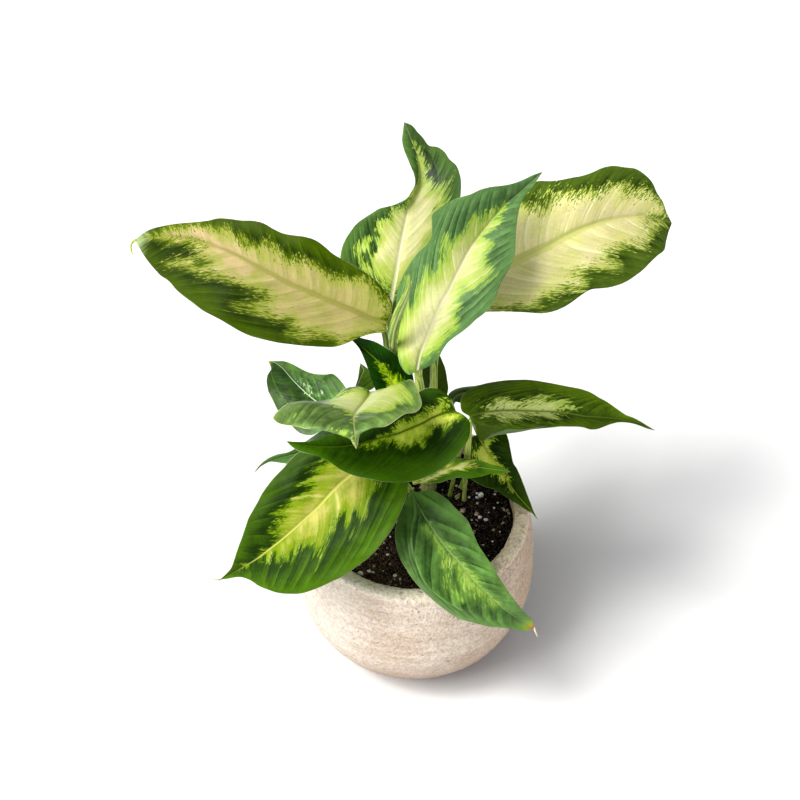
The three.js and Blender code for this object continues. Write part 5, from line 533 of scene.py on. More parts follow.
# ---------------------------------------------------------------- leaf colours
# dark, light: the green's two shades; outer, near: how much lighter and greyer it goes towards the margin as a painted
# sheen, and deeper beside the pale area; mist: soft clouds in it, partly its own tone and partly painted reflection;
# furrow, lines: how strong the painted light and shade across the side veins is and how strong their lines are; fall:
# the painted shade and sheen of the green at the base and at the point; sheen: cloudy patches of painted reflection;
# halo: width in mm of the yellow-green glow round the pale area
# yg, pale, cream: the pale area from its edge inwards; limew, creamw: where in mm pale and cream
# set in; creamy: how much cream; blush: its colour towards the point; ragged, speck: size of the
# area's teeth and how broken up its edge is; crisp: softness of that edge; shrink: mm taken off it;
# wash: yellow-green clouds inside it
# tiltg, tiltp: painted light and shade, how much deeper one half of the blade is coloured than the other, in the green
# and in the pale area
# mid, midw, midend: midrib colour, half width at the base in mm, and where it fades into the blade
# lean, sweep, gap: how the side veins lean to the point (for each half if there are two numbers),
# how they bend on near the margin, and how far apart they are; pleat, quilt: their relief and the
# softer hills
# rim, rimw, rimc: the thin light margin, its width in mm and colour; band: painted shade on a strip along one margin
# that turns under, with a painted highlight on its crease (where across, how much darker, from and to along, the
# painted shade beside it)
# tip, tipc, dry: a fresh or a dry point; tone: stalk, 0 olive to 1 pale; flare, slim: its foot
# wider, or thinner; gloss: shine
LOOK = {
    "leaf_left_large": dict(dark=(29, 47, 1), light=(66, 89, 1), yg=(126, 140, 36), pale=(160, 161, 82), cream=(171, 158, 100), creamy=1.0, limew=5.0, speck=1.25, ragged=6, mid=(145, 144, 66), midw=1.6, lean=(0.85, 2), pleat=1.1, quilt=0.2, tone=0.75, gloss=0.035, crisp=1.3, tip=0.93, tipc=(176, 196, 140), rim=0.6, tiltg=-0.086, tiltp=-0.066, gap=10.5, halo=5, blush=(205, 178, 135), creamw=9, midend=(0.6, 0.86), furrow=0.3, mist=0.6, sweep=0.2, wash=0.85),
    "leaf_top_back": dict(dark=(35, 64, 18), light=(90, 126, 56), yg=(164, 196, 61), pale=(217, 218, 124), cream=(235, 230, 171), creamy=0.8, limew=9.0, speck=0.9, ragged=7, mid=(233, 232, 192), midw=1.5, lean=1.6, pleat=0.8, quilt=0.2, tone=0.8, gloss=0.2, crisp=0.6, tiltg=0.32, tiltp=0.312, gap=10, near=0.2, band=(-0.5, -0.28, 0.42, 0.92, 0.42), furrow=0.45, mist=0.6, midend=(0.4, 0.62), sweep=0.4, wash=0.8),
    "leaf_centre": dict(dark=(55, 88, 41), light=(117, 161, 90), yg=(143, 180, 46), pale=(189, 198, 107), cream=(210, 206, 154), creamy=0.85, limew=7.0, speck=0.8, ragged=7.5, mid=(205, 198, 163), midw=1.2, lean=1.9, pleat=0.45, quilt=0.25, tone=1.0, gloss=0.2, crisp=0.5, outer=0.15, tiltg=0.002, tiltp=0.0, gap=9, near=0.12, furrow=0.45, mist=0.5, midend=(0.42, 0.72), sweep=0.5, wash=0.7),
    "leaf_right_large": dict(dark=(46, 66, 9), light=(99, 128, 36), yg=(175, 195, 69), pale=(223, 220, 134), cream=(234, 224, 161), creamy=1.0, limew=3.5, speck=1.7, ragged=6, mid=(206, 208, 117), midw=3.4, lean=(1.6, 0.6), pleat=1.25, quilt=0.2, tone=0.7, gloss=0.1, crisp=1.1, tiltg=0.079, tiltp=0.101, gap=13.5, halo=4, outer=0.15, near=0.15, shrink=-0.3, midend=(0.62, 0.86), furrow=0.3, mist=0.6, wash=0.7),
    "leaf_left_mid": dict(dark=(38, 73, 16), light=(86, 133, 41), yg=(210, 250, 182), pale=(250, 250, 238), cream=(250, 250, 250), creamy=0.2, limew=5.0, speck=1.4, ragged=6, mid=(224, 248, 212), midw=0.45, lean=1.5, pleat=0.9, quilt=0.9, tone=0.5, gloss=0.3, halo=6, band=(0.62, 0.35, 0.25, 0.99, 0.25), sheen=0.35, tiltg=-0.32, dry=0.985, fall=(1.2, 0.72), furrow=0.35, mist=0.9, sweep=0.6, lines=0.5, gap=8),
    "leaf_front_wavy": dict(dark=(59, 89, 35), light=(128, 163, 80), yg=(143, 181, 47), pale=(190, 207, 93), cream=(203, 209, 131), creamy=0.85, limew=6.0, speck=0.8, ragged=9, mid=(162, 163, 101), midw=0.7, lean=1.4, pleat=0.35, quilt=0.3, tone=0.5, gloss=0.26, creamw=9, crisp=0.5, rim=0.95, sheen=0.25, tiltg=0.119, tiltp=-0.092, near=0.15, rimw=0.95, rimc=(228, 222, 166), tip=0.93, tipc=(214, 204, 120), fall=(0.62, 1.12), furrow=0.3, mist=0.7, sweep=0.4, lines=0.35, gap=10),
    "leaf_front_dark": dict(dark=(23, 48, 1), light=(55, 93, 1), yg=(126, 157, 16), pale=(212, 229, 74), cream=(242, 243, 115), creamy=0.55, limew=7.0, speck=0.55, ragged=6, mid=(72, 100, 14), midw=0.85, lean=1.0, pleat=0.35, quilt=0.25, tone=0.35, gloss=0.05, halo=3, crisp=0.6, tiltg=0.069, tiltp=-0.029, slim=0.42, shrink=1.4, furrow=0.12, mist=0.8, sweep=1.1, lines=0.3),
    "leaf_lower_left": dict(dark=(26, 51, 1), light=(67, 103, 5), yg=(106, 138, 3), pale=(139, 156, 19), cream=(203, 193, 106), creamy=0.85, limew=8.0, speck=0.8, ragged=11, mid=(199, 201, 99), midw=1.2, lean=(1.6, 1.05), pleat=0.65, quilt=0.4, tone=0.6, gloss=0.055, halo=3.5, crisp=0.8, sheen=0.11, tiltg=0.191, tiltp=-0.075, gap=14, creamw=18, rim=0.8, shrink=1.6, midend=(0.7, 0.95), furrow=0.4, mist=0.5, sweep=0.9, lines=0.42, wash=0.85),
    "leaf_lower_right": dict(dark=(34, 67, 17), light=(113, 162, 71), yg=(146, 191, 69), pale=(182, 210, 91), cream=(213, 220, 130), creamy=0.5, limew=4, speck=0.7, ragged=6, mid=(152, 180, 111), midw=0.6, lean=2.2, pleat=0.6, quilt=0.6, tone=0.8, gloss=0.24, halo=5, dry=0.972, sheen=0.18, crisp=1.2, tiltg=-0.037, gap=11, band=(-0.55, 0.42, 0, 0.72, 0), near=0.1, shrink=-1.7, furrow=0.45, mist=0.55, midend=(0.75, 0.95), sweep=0.5, lines=0.4),
    "leaf_right_mid": dict(dark=(31, 50, 1), light=(71, 96, 4), yg=(104, 128, 30), pale=(151, 164, 86), cream=(163, 172, 107), creamy=0.9, limew=1.5, speck=1.6, ragged=13, mid=(84, 100, 30), midw=1.1, lean=2.0, pleat=0.35, quilt=0.2, tone=0.8, gloss=0.1, halo=3, creamw=7, sheen=0.15, crisp=0.6, tiltg=0.175, tiltp=0.164, slim=0.42, shrink=3.0, furrow=0.5, mist=0.7, sweep=0.8, lines=0.6),
    "leaf_right_low": dict(dark=(20, 40, 1), light=(51, 80, 2), yg=(135, 167, 32), pale=(197, 212, 76), cream=(215, 220, 102), creamy=0.7, limew=1.5, speck=0.7, ragged=6, mid=(156, 176, 54), midw=0.7, lean=1.6, pleat=0.3, quilt=0.2, tone=0.45, gloss=0.07, halo=2.0, creamw=5, crisp=0.7, tiltg=-0.054, lines=0.5, furrow=0.3),
    "leaf_small_right": dict(dark=(49, 91, 9), light=(105, 159, 24), yg=(250, 250, 86), pale=(250, 250, 184), cream=(250, 250, 203), creamy=0.4, limew=1.2, speck=0.4, ragged=4, mid=(250, 250, 136), midw=0.35, lean=2.0, pleat=0.1, quilt=0.1, tone=0.7, gloss=0.14, halo=3, creamw=4, crisp=1.4, shrink=0.2),
    "leaf_under_left": dict(dark=(6, 28, 1), light=(21, 59, 1), yg=(120, 157, 6), pale=(160, 186, 19), cream=(177, 192, 37), creamy=0.3, limew=3, speck=0.5, ragged=3, mid=(110, 140, 36), midw=0.5, lean=1.6, pleat=0.2, quilt=0.2, tone=0.3, gloss=0.03, halo=3, crisp=1.2, tiltg=-0.021),
    "leaf_left_tip": dict(dark=(29, 55, 13), light=(76, 114, 50), yg=(130, 160, 80), pale=(170, 190, 110), cream=(190, 200, 130), creamy=0.2, limew=4.0, speck=0.62, ragged=4, mid=(120, 152, 96), midw=0.5, lean=1.3, pleat=0.1, quilt=0.1, tone=0.4, gloss=0.3),
    "leaf_small_back_left": dict(dark=(38, 71, 1), light=(95, 135, 4), yg=(250, 250, 250), pale=(250, 250, 250), cream=(250, 250, 250), creamy=0.2, limew=4.0, speck=0.62, ragged=4, mid=(250, 250, 250), midw=0.5, lean=1.2, pleat=0.1, quilt=0.1, tone=0.7, gloss=0.14),
    "leaf_back_right": dict(dark=(21, 46, 1), light=(48, 82, 1), yg=(140, 150, 60), pale=(180, 190, 100), cream=(200, 200, 120), creamy=0.2, limew=4.0, speck=0.62, ragged=4, mid=(120, 120, 54), midw=0.7, lean=1.2, pleat=0.3, quilt=0.2, tone=0.3, gloss=0.03),
    "leaf_back": dict(dark=(27, 53, 11), light=(68, 106, 36), yg=(138, 168, 40), pale=(184, 200, 86), cream=(202, 208, 116), creamy=0.4, limew=6.0, speck=1.24, ragged=6, mid=(140, 162, 70), midw=0.9, lean=0.9, pleat=0.3, quilt=0.3, tone=0.9, gloss=0.14),
    "leaf_under_right": dict(dark=(27, 42, 2), light=(58, 82, 5), yg=(140, 160, 50), pale=(180, 190, 90), cream=(200, 200, 110), creamy=0.2, limew=4.0, speck=0.62, ragged=4, mid=(100, 116, 44), midw=0.7, lean=1.2, pleat=0.2, quilt=0.2, tone=0.3, gloss=0.14),
}


def between(a, b, f):
    return lin(*[x * (1 - f) + y * f for x, y in zip(a, b)])


def leaf_material(name, k, seed):
    n = Nodes("mat_" + name)
    pale, full, vein, across, edge, mid, under, along, lane, side = (n.attr(a) for a in ("pale", "full", "vein", "across", "edge", "mid", "under", "along", "lane", "side"))
    run = n.attr("run")
    z = float(seed) * 3.7 
    r, sp = float(k["ragged"]), float(k["speck"])
    # teeth that run out along the side veins, then strokes, flecks and specks
    teeth = n.noise(n.vec(n.mul(vein, 0.17), n.mul(across, 0.05), z), 1.0, 2.0, 0.55)
    strokes = n.noise(n.vec(n.mul(vein, 0.44), n.mul(across, 0.12), z + 5), 1.0, 2.0, 0.6)
    fleck = n.noise(n.vec(n.mul(vein, 0.74), n.mul(across, 0.32), z + 9), 1.0, 2.0, 0.6)
    speck = n.noise(n.vec(n.mul(vein, 1.15), n.mul(across, 0.80), z + 13), 1.0, 1.0, 0.5)
    patch = n.noise(n.vec(n.mul(run, 0.07), n.mul(across, 0.07), z + 17), 1.0, 2.0, 0.5)
    t0 = n.add(pale, n.mul(n.sub(teeth, 0.5), r * 1.5), n.mul(n.sub(full, 1.0), 8.0), n.mul(n.sub(patch, 0.5), 4.0), -float(k.get("shrink", 0.0)))
    # the band is broken up most where the patch noise says so, so it is crisp in some places
    loose = n.mul(n.step(patch, 0.36, 0.62, 0.55, 1.3), sp)
    broken = n.add(n.mul(n.sub(strokes, 0.5), r * 0.7), n.mul(n.sub(fleck, 0.5), loose, 16.0), n.mul(n.sub(speck, 0.5), loose, 14.0))
    t1 = n.add(t0, broken)
    crisp = float(k.get("crisp", 0.9))
    m1 = n.step(t1, -crisp, crisp)
    t2 = n.add(t0, n.mul(broken, 0.5))
    m2 = n.step(t2, -0.5, float(k["limew"]))
    m3 = n.mul(n.step(n.add(t2, n.mul(n.sub(patch, 0.5), 16.0)), 2.5, float(k.get("creamw", 12.0))), float(k["creamy"]))

    frac = n.math("FRACT", n.add(lane, 50.0))
    fade = n.mul(n.step(across, 0.5, 3.0), n.step(edge, 1.0, 9.0))
    big = n.noise(n.vec(n.mul(run, 0.040), n.mul(across, 0.045), n.add(n.mul(side, 0.6), z + 20)), 1.0, 2.0, 0.5)
    fine = n.noise(n.vec(n.mul(vein, 0.55), n.mul(across, 0.07), z + 23), 1.0, 3.0, 0.62)
    soft = n.noise(n.vec(n.mul(run, 0.085), n.mul(across, 0.085), n.add(n.mul(side, 0.6), z + 26)), 1.0, 3.0, 0.55)
    grain = n.noise(n.vec(n.mul(run, 0.62), n.mul(across, 0.62), z + 28), 1.0, 2.0, 0.6)
    # green: deeper towards the pale area and midrib, greyer and lighter towards the margin as a painted sheen; its soft
    # clouds are partly its own tone and partly painted reflection
    out = n.sub(1.0, n.step(edge, 0.5, 15.0))
    mist = float(k.get("mist", 0.6))
    # painted light and shade across the slope of each side vein
    furrow = n.mul(n.sub(n.step(frac, 0.02, 0.90, 1.0, 0.0), 0.5), n.step(across, 1.0, 7.0), n.step(edge, 0.5, 7.0), n.step(soft, 0.30, 0.60, 0.55, 1.25), float(k.get("furrow", 0.45)))
    shade = n.add(n.mul(n.sub(big, 0.5), 1.5 * mist), n.mul(n.sub(soft, 0.5), 1.1 * mist), n.mul(n.sub(fine, 0.5), 0.95), n.mul(n.sub(grain, 0.5), 0.45), furrow, n.mul(out, float(k.get("outer", 0.45))), n.mul(n.step(t0, -11.0, -2.0), -float(k.get("near", 0.35))), 0.38)
    green = n.mix(n.line(shade, 0.0, 1.0), lin(*k["dark"]), lin(*k["light"]))
    # a soft yellow-green glow around the pale area, streaked along the veins
    hw = float(k.get("halo", 2.5))
    glow = n.step(n.add(t0, n.mul(n.sub(strokes, 0.5), 5.0), n.mul(n.sub(fleck, 0.5), 4.0)), -hw, 0.8)
    green = n.mix(n.mul(glow, 0.80), green, between(k["light"], k["yg"], 0.42))
    light = n.mix(m2, lin(*k["yg"]), lin(*k["pale"]))
    cream = lin(*k["cream"])
    if "blush" in k:
        # the cream is pinker towards the point
        cream = n.mix(n.mul(n.step(along, 0.30, 0.80), 0.8), cream, lin(*k["blush"]))
    light = n.mix(m3, light, cream)
    # broad yellow-green clouds inside the pale area, and a little grain
    cloud = n.mul(n.step(n.add(n.mul(big, 0.45), n.mul(soft, 0.35), n.mul(strokes, 0.20)), 0.47, 0.62), n.sub(1.0, n.mul(m3, 0.30)), float(k.get("wash", 0.62)))
    light = n.mix(cloud, light, between(k["yg"], k["pale"], 0.45))
    # the saw term paints light and shade across each pleat between the side veins
    saw = n.sub(frac, 0.5)
    pl = float(k["pleat"])
    tone = n.add(1.0, n.mul(n.sub(fine, 0.5), -0.16), n.mul(n.sub(grain, 0.5), 0.26), n.mul(n.sub(soft, 0.5), 0.30), n.mul(saw, -0.10 * pl))
    light = n.gain(light, tone)
    # a painted highlight on the lit side of each vein ridge, and faint green and white lines along the veins
    white = lin(*[min(255, c + 26) for c in k["cream"]])
    lit = n.mul(n.step(frac, 0.0, 0.5, 1.0, 0.0), n.step(across, 1.0, 6.0), n.step(edge, 1.0, 12.0), n.step(soft, 0.36, 0.62))
    light = n.mix(n.mul(lit, 0.26 * min(1.2, pl + 0.2)), light, white)
    light = n.mix(n.mul(n.step(fine, 0.54, 0.66), 0.26), light, between(k["yg"], k["pale"], 0.35))
    light = n.mix(n.mul(n.step(fine, 0.32, 0.44, 1.0, 0.0), 0.24), light, white)
    # painted light and shade: one half of a blade is coloured a little deeper than the other, for how the light falls
    # on the two halves
    half = n.step(side, -0.25, 0.25, -1.0, 1.0)
    green = n.gain(green, n.add(1.0, n.mul(half, float(k.get("tiltg", 0.0)))))
    light = n.gain(light, n.add(1.0, n.mul(half, float(k.get("tiltp", 0.0)))))
    if "fall" in k:
        # painted shade and sheen: the green runs from one strength at the base to another at the point
        green = n.gain(green, n.line(along, 0.05, 0.85, *[float(x) for x in k["fall"]]))
    if "band" in k:
        # painted shade on a strip along one margin that turns under, behind a painted highlight on its crease
        at, band_shade, begin, end, inner = (float(x) for x in k["band"])
        reach = n.mul(n.step(along, begin, begin + 0.12), n.step(along, end - 0.12, end, 1.0, 0.0))
        out_at = at + math.copysign(0.05, at)
        b = n.mul(n.step(side, out_at, at, 1.0, 0.0) if at < 0 else n.step(side, at, out_at), reach)
        near = n.mul(n.step(n.math("ABSOLUTE", n.sub(side, at - math.copysign(0.03, at))), 0.0, 0.34, 1.0, 0.0), n.sub(1.0, b), reach)
        green = n.gain(green, n.sub(1.0, n.add(n.mul(b, band_shade), n.mul(near, inner))))
        # the painted highlight along the crease
        crease_highlight = n.mul(n.step(n.math("ABSOLUTE", n.sub(side, at)), 0.0, 0.045, 1.0, 0.0), reach)
        green = n.mix(n.mul(crease_highlight, 0.20), green, lin(*[min(255, c * 1.25 + 12) for c in k["light"]]))
    if "sheen" in k:
        # painted sheen: cloudy lighter and darker patches of reflection between the side veins
        q = n.noise(n.vec(n.mul(run, 0.15), n.mul(across, 0.15), z + 44), 1.0, 3.0, 0.62)
        green = n.gain(green, n.step(q, 0.30, 0.70, 1.0 - float(k["sheen"]), 1.0 + float(k["sheen"])))
    col = n.mix(m1, green, light)

    # side veins: a few millimetres apart, uneven, light in the pale area and faint in the green
    ph = n.math("PINGPONG", n.add(lane, 50.0), 0.5)
    some = n.step(n.noise(n.vec(n.mul(lane, 0.9), n.mul(across, 0.06), z + 30), 1.0, 2.0, 0.5), 0.42, 0.68)
    vline = n.mul(n.sub(1.0, n.step(ph, 0.0, 0.13)), fade, some)
    pr = float(k["pleat"])
    col = n.mix(n.mul(vline, n.step(t1, 0.0, 4.0), min(0.80, 0.34 + 0.5 * pr)), col, lin(*[min(255, c + 34) for c in k["cream"]]))
    # the dark line of each vein, partly its own colour and partly painted shade in its groove
    dark_line = n.mul(n.sub(1.0, n.step(n.math("ABSOLUTE", n.sub(frac, 0.93)), 0.02, 0.09)), fade, n.add(0.35, n.mul(some, 0.65)))
    vside = dark_line
    lines = float(k.get("lines", 0.8))
    col = n.mix(n.mul(dark_line, n.add(0.62 * lines, n.mul(m1, 0.16 - 0.62 * lines))), col, n.gain(col, 0.60))
    # a painted highlight on the crest beside each vein
    crest_highlight = n.mul(n.sub(1.0, n.step(n.math("ABSOLUTE", n.sub(frac, 0.10)), 0.02, 0.12)), fade, n.sub(1.0, m1), n.add(0.25, n.mul(some, 0.75)))
    col = n.mix(n.mul(crest_highlight, 0.55 * lines), col, n.gain(col, 1.32))
    thin = n.math("PINGPONG", n.add(n.mul(lane, 3.0), 150.0), 0.5)
    col = n.mix(n.mul(n.sub(1.0, n.step(thin, 0.0, 0.17)), fade, n.step(fine, 0.38, 0.58), n.add(0.34, n.mul(m1, -0.26))), col, n.gain(col, 0.66))
    col = n.mix(n.mul(n.step(thin, 0.34, 0.5), fade, 0.10), col, n.gain(col, 1.3))

    # midrib, narrowing to the tip, with a shade line on one side of it
    w = n.mul(n.sub(1.0, n.mul(along, 0.80)), float(k["midw"]))
    mm = n.sub(1.0, n.step(n.sub(mid, w), -0.35, 0.35))
    ends = n.step(along, *[float(x) for x in k.get("midend", (0.90, 1.05))], 1.0, 0.0)
    mm = n.mul(mm, n.add(0.15, n.mul(ends, 0.85)))
    ribc = n.gain(lin(*k["mid"]), n.add(0.86, n.mul(n.noise(n.vec(n.mul(along, 5.0), n.mul(mid, 1.2), z), 1.0, 2.0, 0.5), 0.28)))
    col = n.mix(n.mul(mm, 0.9), col, ribc)
    shadow = n.mul(n.sub(1.0, n.step(n.math("ABSOLUTE", n.sub(mid, n.add(w, 0.4))), 0.0, 0.75)), n.add(0.12, n.mul(ends, 0.20)))
    col = n.mix(shadow, col, n.gain(col, 0.62))

    # thin clear margin
    me = n.sub(1.0, n.step(edge, 0.10, float(k.get("rimw", 0.5))))
    rimk = float(k.get("rim", 0.55))
    col = n.mix(n.mul(me, n.step(big, 0.42 - 0.3 * (rimk > 0.7), 0.60 - 0.3 * (rimk > 0.7)), rimk), col, lin(*k.get("rimc", (196, 208, 146))))
    # the dry point
    if "dry" in k:
        d = n.step(n.add(along, n.mul(n.sub(speck, 0.5), 0.03)), k["dry"], min(1.0, k["dry"] + 0.02))
        warm = n.step(along, k["dry"] - 0.05, k["dry"] + 0.01)
        col = n.mix(n.mul(warm, 0.75), col, lin(176, 186, 50))
        col = n.mix(d, col, n.mix(strokes, lin(196, 112, 26), lin(220, 170, 80)))
    # a fresh yellow-green point
    if "tip" in k:
        d = n.step(n.add(along, n.mul(n.sub(strokes, 0.5), 0.06)), k["tip"], 1.0)
        col = n.mix(n.mul(d, 0.85), col, lin(*k["tipc"]))
    # underside: paler and duller
    back = n.mix(0.45, col, lin(132, 158, 108))
    col = n.mix(under, col, back)

    n.set(
        Base_Color=col,
        Roughness=n.add(0.36, n.mul(n.sub(big, 0.5), 0.12), n.mul(fine, 0.06), n.mul(under, 0.14)),
    )
    n.bsdf.inputs["Coat Weight"].default_value = 0.0
    n.bsdf.inputs["Specular IOR Level"].default_value = float(k["gloss"])
    ridge = n.add(n.mul(vline, 0.25), n.mul(vside, -0.45), n.mul(n.step(thin, 0.0, 0.2, -0.15, 0.0), fade), n.mul(fine, 0.35), n.mul(grain, 0.45), n.mul(soft, 0.8), n.mul(mm, 0.2))
    n.set(Normal=n.bump(ridge, 0.55, 0.0005))
    return n.mat


def stalk_material():
    """Leaf stalks, midrib ridges and sheaths: fleshy, with streaks along them. tone 0 is olive, 1 is pale."""
    n = Nodes("mat_stalk")
    x, y, tone = n.attr("along"), n.attr("around"), n.attr("tone")
    s = n.noise(n.vec(n.mul(y, 2.2), n.mul(x, 0.035), n.mul(tone, 31.0)), 1.0, 3.0, 0.6)
    s2 = n.noise(n.vec(n.mul(y, 6.0), n.mul(x, 0.12), 4.0), 1.0, 2.0, 0.5)
    blot = n.noise(n.vec(n.mul(y, 1.4), n.mul(x, 0.16), 9.0), 1.0, 3.0, 0.6)
    dark = n.mix(tone, lin(52, 70, 14), lin(112, 146, 46))
    light = n.mix(tone, lin(116, 138, 36), lin(214, 228, 122))
    col = n.mix(n.step(n.add(s, n.mul(n.sub(s2, 0.5), 0.35)), 0.34, 0.62), dark, light)
    col = n.mix(n.mul(n.step(blot, 0.58, 0.68), 0.3), col, n.mix(tone, lin(60, 84, 24), lin(140, 166, 76)))
    n.set(Base_Color=col, Roughness=n.add(0.38, n.mul(s2, 0.12)))
    n.bsdf.inputs["Specular IOR Level"].default_value = 0.12
    n.set(Normal=n.bump(n.add(s, n.mul(s2, 0.5)), 0.35, 0.0004))
    return n.mat


def cane_material():
    n = Nodes("mat_cane")
    x, y, ring = n.attr("along"), n.attr("around"), n.attr("ring")
    s = n.noise(n.vec(n.mul(y, 2.0), n.mul(x, 0.05), 2.0), 1.0, 4.0, 0.6)
    s2 = n.noise(n.vec(n.mul(y, 5.0), n.mul(x, 0.5), 7.0), 1.0, 3.0, 0.6)
    col = n.mix(n.step(s, 0.34, 0.66), lin(140, 156, 78), lin(214, 216, 146))
    col = n.mix(n.mul(n.step(s2, 0.55, 0.7), 0.35), col, lin(106, 112, 56))
    col = n.mix(n.mul(n.step(n.add(ring, n.mul(n.sub(s2, 0.5), 0.3)), 0.45, 0.85), 0.8), col, lin(140, 116, 70))
    low = n.sub(1.0, n.step(x, 0.0, 9.0))
    col = n.mix(n.mul(low, n.step(s2, 0.4, 0.7), 0.7), col, lin(70, 52, 32))
    n.set(Base_Color=col, Roughness=n.add(0.42, n.mul(s2, 0.2)))
    n.set(Normal=n.bump(n.add(s, s2, n.mul(ring, -0.6)), 0.4, 0.0006))
    return n.mat


def roll_material():
    n = Nodes("mat_leaf_new")
    x, y = n.attr("along"), n.attr("around")
    s = n.noise(n.vec(n.mul(y, 1.8), n.mul(x, 0.05), 3.0), 1.0, 4.0, 0.65)
    s2 = n.noise(n.vec(n.mul(y, 5.0), n.mul(x, 0.2), 8.0), 1.0, 2.0, 0.5)
    col = n.mix(n.step(n.add(s, n.mul(n.sub(s2, 0.5), 0.4)), 0.40, 0.62), lin(96, 134, 44), lin(178, 196, 92))
    col = n.mix(n.mul(n.sub(1.0, n.step(n.math("ABSOLUTE", n.sub(y, 0.25)), 0.0, 0.35)), 0.8), col, lin(214, 222, 158))
    n.set(Base_Color=col, Roughness=n.add(0.36, n.mul(s2, 0.1)))
    n.set(Normal=n.bump(n.add(s, n.mul(s2, 0.4)), 0.3, 0.0004))
    return n.mat


# ---------------------------------------------------------------- leaf geometry
def in_polygon(px, py, poly):
    inside = np.zeros(len(px), bool)
    n = len(poly)
    for i in range(n):
        x1, y1 = poly[i]
        x2, y2 = poly[(i + 1) % n]
        if y1 == y2:
            continue
        hit = ((y1 > py) != (y2 > py)) & (px < (x2 - x1) * (py - y1) / (y2 - y1) + x1)
        inside ^= hit
    return inside


def polygon_distance(px, py, poly):
    """Distance inside (positive) or outside (negative) an outline."""
    best = np.full(len(px), 1e9)
    n = len(poly)
    for i in range(n):
        x1, y1 = poly[i]
        x2, y2 = poly[(i + 1) % n]
        dx, dy = x2 - x1, y2 - y1
        q = dx * dx + dy * dy + 1e-9
        t = np.clip(((px - x1) * dx + (py - y1) * dy) / q, 0, 1)
        best = np.minimum(best, (px - x1 - t * dx) ** 2 + (py - y1 - t * dy) ** 2)
    d = np.sqrt(best)
    return np.where(in_polygon(px, py, poly), d, -d)


def rib_surface(ribs, u, v):
    """The middle surface at u along (array) and v across (array): (len(u), len(v), 3)."""
    vs = np.array([r[0] for r in ribs], float)
    lines = np.stack([spline(r[1], u) for r in ribs])
    out = np.empty((len(u), len(v), 3))
    for j, x in enumerate(v):
        k = int(np.clip(np.searchsorted(vs, x, side="right") - 1, 0, len(vs) - 2))
        t = (x - vs[k]) / (vs[k + 1] - vs[k])
        out[:, j] = lines[k] * (1 - t) + lines[k + 1] * t
    return out


LEAF_KEYS = ("pale", "full", "vein", "across", "edge", "mid", "under", "along", "lane", "side", "run", "around", "tone")


